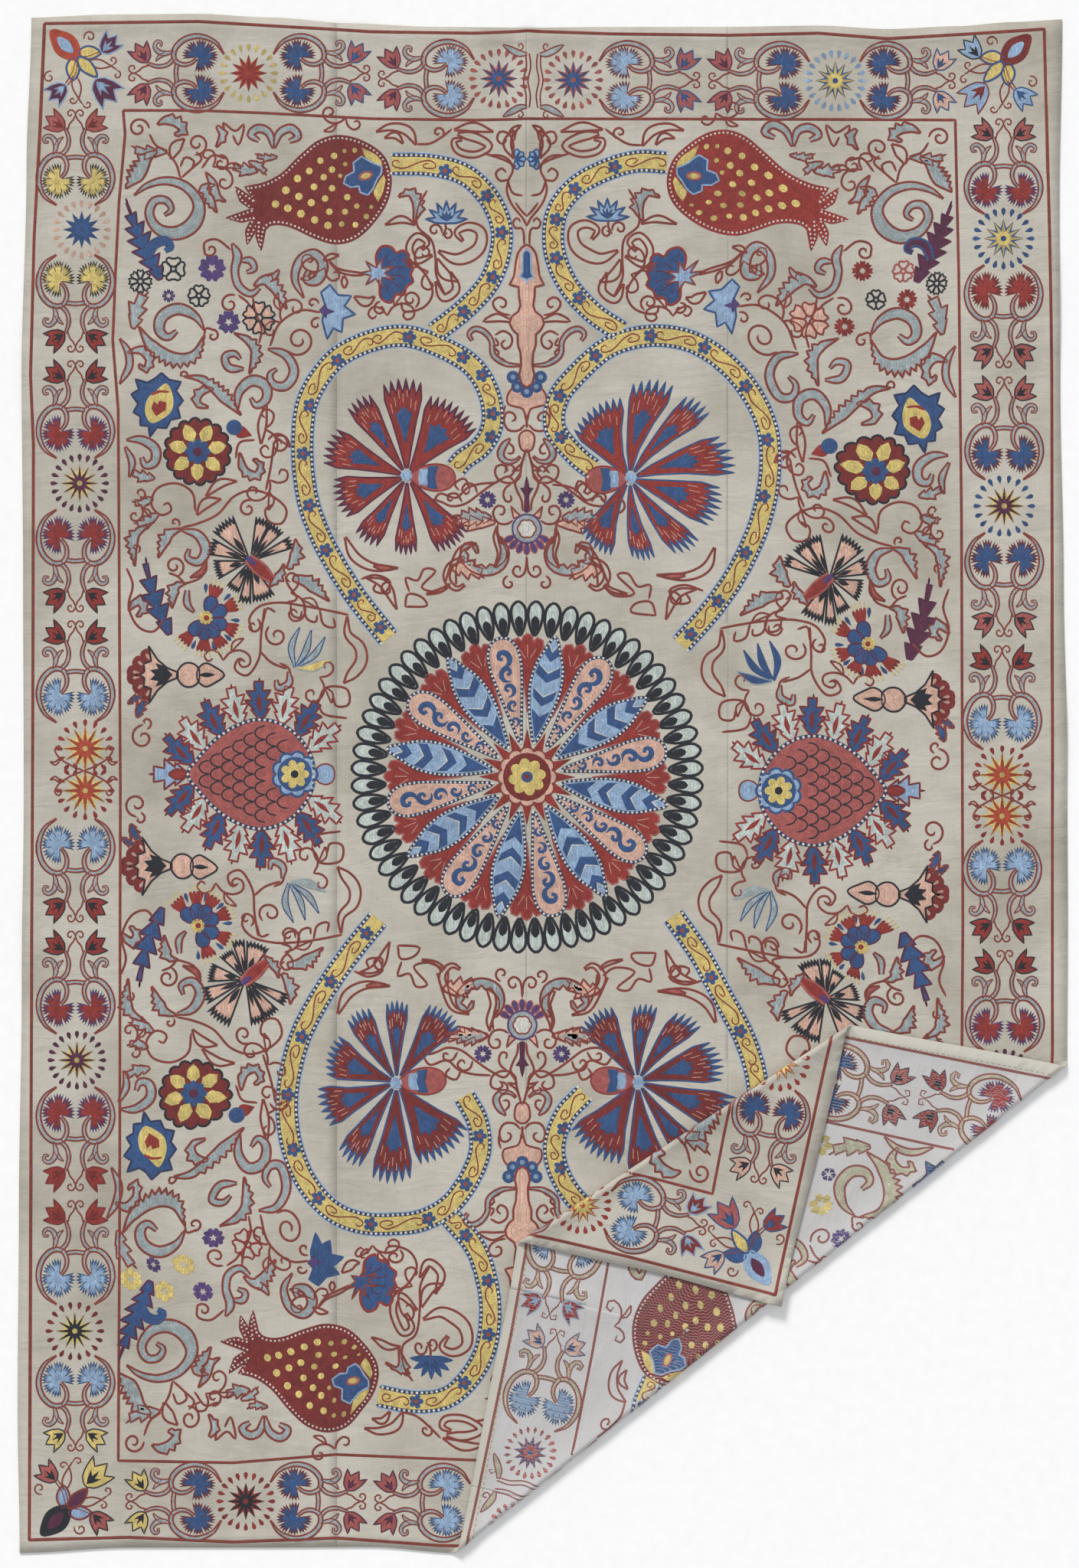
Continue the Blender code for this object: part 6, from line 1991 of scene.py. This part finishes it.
def sew_everything(hand: Hand) -> None:
    """Sews the whole design on one side of the cloth."""
    Border().sew(hand)
    Medallion().sew(hand)
    for stem in STEMS:
        stem.sew(replace(hand, lay=0))
    for quarter in QUARTERS:
        sew_quarter(Hand(hand.work, quarter.carry), quarter.threads)
    Pinecone().sew(hand.at(-51.5, 2.1), Thread.ROSE)
    Pinecone().sew(hand.at(49.7, -0.3, 180), Thread.ROSE)
    sew_axis(hand.at(-2.35, 0.0), False)
    sew_axis(hand.at(-3.0, 3.4, mirror=True), True)


def new_piece(title: str, points: np.ndarray, faces: np.ndarray, maps: dict[str, np.ndarray],
              materials: Sequence[bpy.types.Material], smooth: bool = True) -> bpy.types.Object:
    """A piece from whole arrays: its points and triangles go into the mesh, with its UV maps.

    Args:
        title: the piece's name.
        points: its points, one a row.
        faces: its triangles.
        maps: UV maps by name, each with one place a point.
        materials: its materials.
        smooth: whether its shading is smooth.

    Returns:
        The piece, at the origin.
    """
    mesh = bpy.data.meshes.new(title)
    mesh.vertices.add(len(points))
    mesh.vertices.foreach_set("co", points.astype(np.float32).ravel())
    mesh.loops.add(faces.size)
    mesh.loops.foreach_set("vertex_index", faces.astype(np.int32).ravel())
    mesh.polygons.add(len(faces))
    mesh.polygons.foreach_set("loop_start", np.arange(0, faces.size, 3, dtype=np.int32))
    mesh.update(calc_edges=True)
    for name, places in maps.items():
        layer = mesh.uv_layers.new(name=name)
        layer.data.foreach_set("uv", places[faces.ravel()].astype(np.float32).ravel())
    mesh.polygons.foreach_set("use_smooth", np.full(len(faces), smooth))
    for material in materials:
        mesh.materials.append(material)
    mesh.validate()
    piece = bpy.data.objects.new(title, mesh)
    bpy.context.scene.collection.objects.link(piece)
    return piece


FLAT_LOW = np.array((-0.772, -1.158))
FLAT_SPAN = np.array((1.544, 2.292))


def baked_places(flat: np.ndarray) -> np.ndarray:
    """Places on the flat cloth as shares of its width and height, laid out for the OFBake maps."""
    return (flat - FLAT_LOW) / FLAT_SPAN


@dataclass(frozen=True)
class Panels:
    """The four loom panels, each a closed cloth with its face, its reverse and its cut edges."""

    cloth: Cloth
    tall: float = 2.22
    gap: float = 0.016
    crease_columns: tuple[float, ...] = (0.0, 0.0025, 0.005, 0.008, 0.011, 0.015, 0.019, 0.023)

    def sides(self, index: int, v: np.ndarray) -> tuple[np.ndarray, np.ndarray]:
        """The left and right sides of a panel at each height."""
        half = self.cloth.seam_gap / 2
        seams = self.cloth.seams
        left = self.cloth.edge_at(self.cloth.left_edge, v) if index == 0 else \
            np.full_like(v, seams[index - 1] * CM + half)
        right = self.cloth.edge_at(self.cloth.right_edge, v) if index == len(seams) else \
            np.full_like(v, seams[index] * CM - half)
        return left, right

    def spaced(self, width: float, near_start: Sequence[float], near_end: Sequence[float]) -> np.ndarray:
        """Distances across a width: the given ones in from each side, and even steps between them."""
        first, last = near_start[-1], width - near_end[-1]
        count = max(2, math.ceil((last - first) / self.gap))
        between = np.linspace(first, last, count + 1)[1:-1]
        return np.array([*near_start, *between, *(width - np.array(near_end[::-1]))])

    def flat_grid(self, index: int) -> bmesh.types.BMesh:
        """A panel's flat grid, scored along every line on which the folds bend it."""
        hem = (0.0, self.cloth.hem_wide, self.cloth.hem_wide + self.cloth.hem_ramp)
        seams = self.cloth.seams
        at_left = hem if index == 0 else self.crease_columns if index == 2 else (0.0,)
        at_right = hem if index == len(seams) else self.crease_columns if index == 1 else (0.0,)
        low_side, high_side = self.sides(index, np.zeros(1))
        width = float(high_side[0] - low_side[0])
        across, upward = np.meshgrid(self.spaced(width, at_left, at_right) / width,
                                     self.spaced(self.tall, hem, hem) / self.tall)
        u, v = low_side[0] + across * width, upward
        edges = (self.cloth.bottom_edge, self.cloth.top_edge)
        for _ in range(3):
            low, top = (self.cloth.edge_at(edge, u) for edge in edges)
            v = low + upward * (top - low)
            left, right = self.sides(index, v)
            u = left + across * (right - left)
        rows, columns = u.shape
        flat = bmesh.new()
        points = [flat.verts.new((x, y, 0.0)) for x, y in zip(u.ravel(), v.ravel())]
        for row in range(rows - 1):
            for column in range(columns - 1):
                corner = row * columns + column
                square = (corner, corner + 1, corner + columns + 1, corner + columns)
                flat.faces.new([points[k] for k in square])
        for place, direction in self.cloth.score_lines():
            bmesh.ops.bisect_plane(flat, geom=flat.verts[:] + flat.edges[:] + flat.faces[:], dist=1e-6,
                                   plane_co=(*place, 0.0), plane_no=(*direction, 0.0))
        bmesh.ops.remove_doubles(flat, verts=flat.verts[:], dist=2e-5)
        bmesh.ops.triangulate(flat, faces=flat.faces[:])
        bmesh.ops.recalc_face_normals(flat, faces=flat.faces[:])
        return flat

    def build(self, index: int, face: bpy.types.Material, reverse: bpy.types.Material) -> bpy.types.Object:
        """Builds a panel: its flat grid laid on both sides of the cloth, with walls round its rim.

        Args:
            index: which panel it is, from the left.
            face: the face's material.
            reverse: the reverse's material.

        Returns:
            The piece.
        """
        grid = self.flat_grid(index)
        grid.verts.index_update()
        flat = np.array([vert.co[:2] for vert in grid.verts])
        ring = np.array([[vert.index for vert in one.verts] for one in grid.faces])
        turned = doubled_areas(flat, ring) < 0
        ring[turned] = ring[turned][:, ::-1]
        sides = np.vstack([ring[:, [0, 1]], ring[:, [1, 2]], ring[:, [2, 0]]])
        known = {tuple(side) for side in sides.tolist()}
        rim = np.array([side for side in sides.tolist() if (side[1], side[0]) not in known])
        grid.free()
        count = len(flat)
        walls = np.vstack([np.stack([rim[:, 1], rim[:, 0], rim[:, 0] + count], axis=1),
                           np.stack([rim[:, 1], rim[:, 0] + count, rim[:, 1] + count], axis=1)])
        faces = np.vstack([ring, ring[:, ::-1] + count, walls])
        points = np.vstack([self.cloth.surface(flat, 0.0, Side.FACE),
                            self.cloth.surface(flat, 0.0, Side.REVERSE)])
        layout = baked_places(flat) * (0.49, 1.0)
        maps = {"OFBake": np.vstack([layout, layout + (0.51, 0.0)]), "Flat": np.vstack([flat, flat])}
        piece = new_piece(f"cloth_{self.cloth.panels[index]}", points, faces, maps, (face, reverse))
        piece.data.polygons.foreach_set("material_index",
                                        np.repeat([0, 1, 1], [len(ring), len(ring), len(walls)]))
        inside = self.cloth.inside(flat[:, 0], flat[:, 1])
        layer = piece.data.attributes.new("inside", "FLOAT", "POINT")
        layer.data.foreach_set("value", np.concatenate([inside, inside]).astype(np.float32))
        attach(piece, "root")
        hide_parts(self.cloth.panels[index])
        return piece


def sewn_piece(work: Needlework, thread: Thread, material: bpy.types.Material) -> bpy.types.Object | None:
    """One thread's stitches on one side of the cloth as a piece, or nothing where it has none.

    Args:
        work: the side's needlework.
        thread: the thread.
        material: its material.

    Returns:
        The piece, or None.
    """
    kept = work.surfaces[thread]
    if not kept:
        return None
    flat = np.vstack([surface.flat for surface in kept])
    lift = np.concatenate([surface.lift for surface in kept])
    stitch = np.vstack([surface.stitch for surface in kept])
    starts = np.cumsum([0] + [len(surface.flat) for surface in kept[:-1]])
    faces = np.vstack([surface.faces + start for surface, start in zip(kept, starts)])
    if work.side is Side.REVERSE:
        faces = faces[:, ::-1]
    points = work.cloth.surface(flat, lift, work.side)
    maps = {"OFBake": baked_places(flat), "Stitch": stitch}
    title = f"stitches_{thread.title}_{work.side.name.lower()}"
    piece = new_piece(title, points, faces, maps, (material,))
    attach(piece, "root")
    LOG.info("%s: %d triangles", title, len(faces))
    return piece


def node(tree: bpy.types.NodeTree, kind: str, links: dict[str | int, object] | None = None,
         **settings: object) -> bpy.types.Node:
    """A node with its settings, values and links.

    Args:
        tree: the node tree.
        kind: the node's type.
        links: what each input takes: a socket of another node, or a plain value.
        settings: attributes of the node.

    Returns:
        The node.
    """
    made = tree.nodes.new(kind)
    for name, value in settings.items():
        setattr(made, name, value)
    for name, value in (links or {}).items():
        socket = made.inputs[name]
        if isinstance(value, bpy.types.NodeSocket):
            tree.links.new(value, socket)
        else:
            socket.default_value = value
    return made


def sums(tree: bpy.types.NodeTree, operation: str, first: object, second: object = 0.0,
         third: object = 0.0) -> bpy.types.NodeSocket:
    """A sum of one, two or three values, as the output of a Math node."""
    return node(tree, "ShaderNodeMath", {0: first, 1: second, 2: third}, operation=operation).outputs[0]


def blended(tree: bpy.types.NodeTree, share: object, first: object, second: object,
            way: str = "MIX") -> bpy.types.NodeSocket:
    """Two colours mixed by a share, as the output of a Mix node."""
    mix = node(tree, "ShaderNodeMix", data_type="RGBA", blend_type=way)
    for index, value in ((0, share), (6, first), (7, second)):
        if isinstance(value, bpy.types.NodeSocket):
            tree.links.new(value, mix.inputs[index])
        else:
            mix.inputs[index].default_value = value
    return mix.outputs[2]


def ranged(tree: bpy.types.NodeTree, value: object, low: float, high: float, to_low: float,
           to_high: float) -> bpy.types.NodeSocket:
    """A value carried from one range to another and held inside it."""
    return node(tree, "ShaderNodeMapRange", {0: value, 1: low, 2: high, 3: to_low, 4: to_high}).outputs[0]


def group(title: str, takes: Sequence[tuple[str, str]], gives: Sequence[tuple[str, str]]) -> tuple:
    """An empty shader group with its named sockets.

    Args:
        title: its name.
        takes: names and kinds of its inputs.
        gives: names and kinds of its outputs.

    Returns:
        The tree, its input node's outputs and its output node's inputs.
    """
    tree = bpy.data.node_groups.new(title, "ShaderNodeTree")
    for way, sockets in (("INPUT", takes), ("OUTPUT", gives)):
        for name, kind in sockets:
            tree.interface.new_socket(name=name, in_out=way, socket_type=f"NodeSocket{kind}")
    return tree, tree.nodes.new("NodeGroupInput").outputs, tree.nodes.new("NodeGroupOutput").inputs


LINK_TONES = (0.84, 1.16)
# Painted shade and highlight: how dark a link's low sides are and how light its top is, against the thread's
# colour.
LINK_PAINTED_SHADE_TONES = (0.66, 1.06)
WORN_TONES = (0.9, 1.12)
STREAK_TONES = (0.86, 1.12)


def chain_stitch_group() -> bpy.types.NodeTree:
    """Chain stitch in rows: links along each row, shifted row by row, each a little lighter or darker, with
    painted shade in the dips between links and rows.
    """
    tree, takes, gives = group(
        "Chain stitch", (("Place", "Vector"), ("Thread", "Color"), ("Link", "Float"), ("Row", "Float")),
        (("Colour", "Color"), ("Link mask", "Float"), ("Height", "Float")),
    )
    apart = node(tree, "ShaderNodeSeparateXYZ", {0: takes["Place"]})
    across = sums(tree, "DIVIDE", apart.outputs[1], takes["Row"])
    row = sums(tree, "FLOOR", across)
    shift = node(tree, "ShaderNodeTexWhiteNoise", {"W": row}, noise_dimensions="1D").outputs["Value"]
    along = sums(tree, "ADD", sums(tree, "DIVIDE", apart.outputs[0], takes["Link"]), shift)
    pair = node(tree, "ShaderNodeCombineXYZ", {0: sums(tree, "FLOOR", along), 1: row}).outputs[0]
    tone = node(tree, "ShaderNodeTexWhiteNoise", {"Vector": pair}, noise_dimensions="2D").outputs["Value"]
    part_along = sums(tree, "FRACT", along)
    part_across = sums(tree, "FRACT", across)
    arch = sums(tree, "SINE", sums(tree, "MULTIPLY", part_along, math.pi))
    ridge = sums(tree, "SINE", sums(tree, "MULTIPLY", part_across, math.pi))
    high = sums(tree, "POWER", sums(tree, "MULTIPLY", arch, ridge), 0.5)
    place = node(tree, "ShaderNodeTexCoord").outputs["Object"]
    worn = node(tree, "ShaderNodeTexNoise", {"Vector": place, "Scale": 9.0, "Detail": 3.0}).outputs["Fac"]
    streak = node(tree, "ShaderNodeTexNoise", {"Vector": place, "Scale": 90.0, "Detail": 2.0}).outputs["Fac"]
    # Painted shade: the colour darkens with the link's height towards its sides and the dips between links
    # and rows, and is a little lighter on its top; the link tones, wear and streaks are the thread's own.
    light = sums(tree, "MULTIPLY", ranged(tree, tone, 0, 1, *LINK_TONES),
                 ranged(tree, high, 0, 1, *LINK_PAINTED_SHADE_TONES))
    light = sums(tree, "MULTIPLY", light, ranged(tree, worn, 0.3, 0.7, *WORN_TONES))
    light = sums(tree, "MULTIPLY", light, ranged(tree, streak, 0.3, 0.7, *STREAK_TONES))
    shade = node(tree, "ShaderNodeCombineColor", {0: light, 1: light, 2: light}).outputs[0]
    tree.links.new(blended(tree, 1.0, takes["Thread"], shade, "MULTIPLY"), gives["Colour"])
    tree.links.new(arch, gives["Link mask"])
    tree.links.new(high, gives["Height"])
    return tree


WEAVE = 0.0017
SLUB_SCALES = ((900.0, 24.0, 1.0), (24.0, 760.0, 1.0))
WEAVE_HIGH = 0.1
SLUB_HIGH = 0.5
RIPPLE_HIGH = 7.5


def cotton_group() -> bpy.types.NodeTree:
    """Hand-loomed cotton: a fine weave, uneven thick threads both ways, and clouds of old stain."""
    tree, takes, gives = group(
        "Loomed cotton", (("Place", "Vector"), ("Cotton", "Color"), ("Stain", "Color"),
                          ("Stained", "Float")),
        (("Colour", "Color"), ("Roughness", "Float"), ("Height", "Float")),
    )
    apart = node(tree, "ShaderNodeSeparateXYZ", {0: takes["Place"]})
    pitch = math.tau / WEAVE
    warp = sums(tree, "SINE", sums(tree, "MULTIPLY", apart.outputs[0], pitch))
    weft = sums(tree, "SINE", sums(tree, "MULTIPLY", apart.outputs[1], pitch))
    woven = sums(tree, "MULTIPLY", warp, weft)
    slubs = []
    for scale in SLUB_SCALES:
        stretched = node(tree, "ShaderNodeMapping", {0: takes["Place"], 3: scale}).outputs[0]
        streaks = node(tree, "ShaderNodeTexNoise", {"Vector": stretched, "Scale": 1.0, "Detail": 2.0})
        slubs.append(streaks.outputs[0])
    slub = sums(tree, "MULTIPLY", sums(tree, "ADD", slubs[0], slubs[1]), 0.5)
    cloud = node(tree, "ShaderNodeTexNoise",
                 {"Vector": takes["Place"], "Scale": 4.2, "Detail": 6.0, "Roughness": 0.62}).outputs[0]
    spots = node(tree, "ShaderNodeTexNoise",
                 {"Vector": takes["Place"], "Scale": 21.0, "Detail": 4.0, "Roughness": 0.7}).outputs[0]
    stained = sums(tree, "MULTIPLY", ranged(tree, cloud, 0.42, 0.7, 0.0, 1.0), takes["Stained"])
    speckled = sums(tree, "MULTIPLY", ranged(tree, spots, 0.58, 0.78, 0.0, 0.35), takes["Stained"])
    colour = blended(tree, stained, takes["Cotton"], takes["Stain"])
    colour = blended(tree, speckled, colour, takes["Stain"])
    light = ranged(tree, slub, 0.35, 0.65, 0.94, 1.05)
    shade = node(tree, "ShaderNodeCombineColor", {0: light, 1: light, 2: light}).outputs[0]
    tree.links.new(blended(tree, 1.0, colour, shade, "MULTIPLY"), gives["Colour"])
    tree.links.new(ranged(tree, slub, 0.3, 0.7, 0.82, 0.96), gives["Roughness"])
    creased = node(tree, "ShaderNodeMapping", {0: takes["Place"], 3: (1.0, 2.6, 1.0)}).outputs[0]
    ripple = node(tree, "ShaderNodeTexNoise",
                  {"Vector": creased, "Scale": 9.0, "Detail": 4.0, "Roughness": 0.55,
                   "Distortion": 0.7}).outputs[0]
    high = sums(tree, "ADD", sums(tree, "MULTIPLY", woven, WEAVE_HIGH),
                sums(tree, "MULTIPLY", slub, SLUB_HIGH))
    tree.links.new(sums(tree, "ADD", high, sums(tree, "MULTIPLY", ripple, RIPPLE_HIGH)), gives["Height"])
    return tree


@dataclass(frozen=True)
class ThreadFinish:
    """Silk and cotton thread laid in chain stitch, on the face whole, on the reverse in sparser stitches."""

    thread: Thread
    side: Side
    link: float = 0.0042
    row: float = 0.0021
    roughness: float = 0.62
    mist_behind: tuple[int, int, int] = (170, 166, 142)
    cotton_between: tuple[int, int, int] = (206, 205, 206)
    shows_between: float = 0.38

    def material(self, stitches: bpy.types.NodeTree) -> bpy.types.Material:
        """Builds the material.

        Args:
            stitches: the chain stitch group.

        Returns:
            The material.
        """
        made = bpy.data.materials.new(f"thread_{self.thread.title}_{self.side.name.lower()}")
        made.use_nodes = True
        tree = made.node_tree
        surface = tree.nodes["Principled BSDF"]
        place = node(tree, "ShaderNodeUVMap", uv_map="Stitch").outputs[0]
        sewn = node(tree, "ShaderNodeGroup", node_tree=stitches)
        tree.links.new(place, sewn.inputs["Place"])
        grey_back = self.side is Side.REVERSE and self.thread is Thread.MIST
        sewn.inputs["Thread"].default_value = linear(self.mist_behind) if grey_back else self.thread.colour
        sewn.inputs["Link"].default_value = self.link
        sewn.inputs["Row"].default_value = self.row
        colour = sewn.outputs["Colour"]
        if self.side is Side.REVERSE:
            sparse = ranged(tree, sewn.outputs["Link mask"], 0.2, 0.5, self.shows_between, 0.0)
            colour = blended(tree, sparse, colour, linear(self.cotton_between))
        tree.links.new(colour, surface.inputs["Base Color"])
        surface.inputs["Roughness"].default_value = self.roughness
        surface.inputs["Sheen Weight"].default_value = 0.12
        surface.inputs["Sheen Roughness"].default_value = 0.4
        bump = node(tree, "ShaderNodeBump", {"Strength": 0.55, "Distance": 0.0004,
                                             "Height": sewn.outputs["Height"]})
        tree.links.new(bump.outputs[0], surface.inputs["Normal"])
        return made


@dataclass(frozen=True)
class CottonFinish:
    """The undyed cotton of a side, dulled by age, with the hem and its running stitch on the reverse."""

    side: Side
    cotton: tuple[int, int, int]
    stain: tuple[int, int, int]
    stained: float
    hem_cotton: tuple[int, int, int] = (190, 186, 176)
    hem_ends: tuple[float, float] = (0.0186, 0.0194)
    sewing: tuple[int, int, int] = (120, 96, 84)
    sewing_step: float = 0.0085
    sewing_in: float = 0.0165
    sewing_half: float = 0.0007
    sewing_shows: float = 0.55

    def material(self, loomed: bpy.types.NodeTree) -> bpy.types.Material:
        """Builds the material.

        Args:
            loomed: the loomed cotton group.

        Returns:
            The material.
        """
        made = bpy.data.materials.new(f"cotton_{self.side.name.lower()}")
        made.use_nodes = True
        tree = made.node_tree
        surface = tree.nodes["Principled BSDF"]
        place = node(tree, "ShaderNodeUVMap", uv_map="Flat").outputs[0]
        cloth = node(tree, "ShaderNodeGroup", node_tree=loomed)
        tree.links.new(place, cloth.inputs["Place"])
        cloth.inputs["Cotton"].default_value = linear(self.cotton)
        cloth.inputs["Stain"].default_value = linear(self.stain)
        cloth.inputs["Stained"].default_value = self.stained
        colour = cloth.outputs["Colour"]
        if self.side is Side.REVERSE:
            inside = node(tree, "ShaderNodeAttribute", attribute_name="inside").outputs["Fac"]
            on_hem = ranged(tree, inside, *self.hem_ends, 1.0, 0.0)
            colour = blended(tree, on_hem, colour, linear(self.hem_cotton))
            apart = node(tree, "ShaderNodeSeparateXYZ", {0: place})
            slanted = sums(tree, "ADD", *apart.outputs[:2])
            steps = sums(tree, "FRACT", sums(tree, "DIVIDE", slanted, self.sewing_step))
            near = sums(tree, "COMPARE", inside, self.sewing_in, self.sewing_half)
            sewn = sums(tree, "MULTIPLY", near, sums(tree, "LESS_THAN", steps, 0.5))
            shown = sums(tree, "MULTIPLY", sewn, self.sewing_shows)
            colour = blended(tree, shown, colour, linear(self.sewing))
        tree.links.new(colour, surface.inputs["Base Color"])
        tree.links.new(cloth.outputs["Roughness"], surface.inputs["Roughness"])
        surface.inputs["Sheen Weight"].default_value = 0.08
        bump = node(tree, "ShaderNodeBump", {"Strength": 0.6, "Distance": 0.0009,
                                             "Height": cloth.outputs["Height"]})
        tree.links.new(bump.outputs[0], surface.inputs["Normal"])
        return made


@dataclass(frozen=True)
class Studio:
    """The pale floor, the soft light and the camera straight above."""

    above: float = 9.0
    aim: tuple[float, float] = (-0.005, -0.0008)
    lens: float = 142.4
    floor_level: float = -0.0006
    reach: float = 7.0
    squares: int = 8
    sky_strength: float = 0.62
    sun_strength: float = 2.25
    sun_wide: float = 16.0
    sun_turn: tuple[float, float] = (-52.0, -24.0)

    def build(self) -> None:
        """Builds the floor, the lights and the camera."""
        self.floor()
        self.lights()
        seen = bpy.data.cameras.new("above")
        seen.sensor_width = 36.0
        seen.lens = self.lens
        seen.clip_end = 100.0
        camera = bpy.data.objects.new("above", seen)
        camera.location = (*self.aim, self.above)
        bpy.context.scene.collection.objects.link(camera)
        bpy.context.scene.camera = camera

    def floor(self) -> None:
        """Lays a plain pale floor: a fine-grained flat sheet far wider than the cloth."""
        columns = self.squares + 1
        steps = np.linspace(-self.reach, self.reach, columns)
        u, v = (axis.ravel() for axis in np.meshgrid(steps, steps))
        points = np.stack([u, v, np.full_like(u, self.floor_level)], axis=1)
        corner = (np.arange(self.squares)[:, None] * columns + np.arange(self.squares)).ravel()
        beyond = corner + columns
        faces = np.vstack([np.stack([corner, corner + 1, beyond + 1], axis=1),
                           np.stack([corner, beyond + 1, beyond], axis=1)])
        made = bpy.data.materials.new("pale_floor")
        made.use_nodes = True
        tree = made.node_tree
        surface = tree.nodes["Principled BSDF"]
        place = node(tree, "ShaderNodeTexCoord").outputs["Object"]
        grain = node(tree, "ShaderNodeTexNoise", {"Vector": place, "Scale": 60.0, "Detail": 4.0}).outputs[0]
        colour = blended(tree, ranged(tree, grain, 0.3, 0.7, 0.0, 1.0), (0.97, 0.97, 0.97, 1),
                         (0.94, 0.94, 0.94, 1))
        tree.links.new(colour, surface.inputs["Base Color"])
        surface.inputs["Roughness"].default_value = 0.95
        surface.inputs["Specular IOR Level"].default_value = 0.1
        new_piece("floor", points, faces, {"Flat": points[:, :2]}, (made,), False)

    def lights(self) -> None:
        """Lights the cloth with a soft sky and a broad low sun from the upper left."""
        world = bpy.data.worlds.new("studio")
        world.use_nodes = True
        world.node_tree.nodes["Background"].inputs[0].default_value = (0.97, 0.985, 1.0, 1)
        world.node_tree.nodes["Background"].inputs[1].default_value = self.sky_strength
        bpy.context.scene.world = world
        sun = bpy.data.lights.new("window", "SUN")
        sun.energy = self.sun_strength
        sun.angle = math.radians(self.sun_wide)
        sun.color = (1.0, 0.985, 0.96)
        lamp = bpy.data.objects.new("window", sun)
        lamp.rotation_euler = (math.radians(self.sun_turn[0]), math.radians(self.sun_turn[1]), 0)
        bpy.context.scene.collection.objects.link(lamp)


def main() -> None:
    """Builds the cloth, its embroidery on both sides, and the studio."""
    logging.basicConfig(level=logging.INFO, format="%(name)s %(message)s")
    bpy.context.scene.view_settings.view_transform = "Standard"
    stitches, loomed = chain_stitch_group(), cotton_group()
    face = CottonFinish(Side.FACE, (193, 187, 176), (158, 151, 138), 0.9).material(loomed)
    reverse = CottonFinish(Side.REVERSE, (195, 193, 193), (180, 177, 174), 0.5).material(loomed)
    panels = Panels(CLOTH)
    for index in range(len(CLOTH.panels)):
        panels.build(index, face, reverse)
    works = (
        Needlework(CLOTH, Side.FACE),
        Needlework(CLOTH, Side.REVERSE, coarse=2.0, thin=0.9, raised=0.00026, level_step=0.0002),
    )
    for work in works:
        sew_everything(Hand(work, lambda points: points))
        for thread in Thread:
            sewn_piece(work, thread, ThreadFinish(thread, work.side).material(stitches))
    Studio().build()


if __name__ == "__main__":
    main()
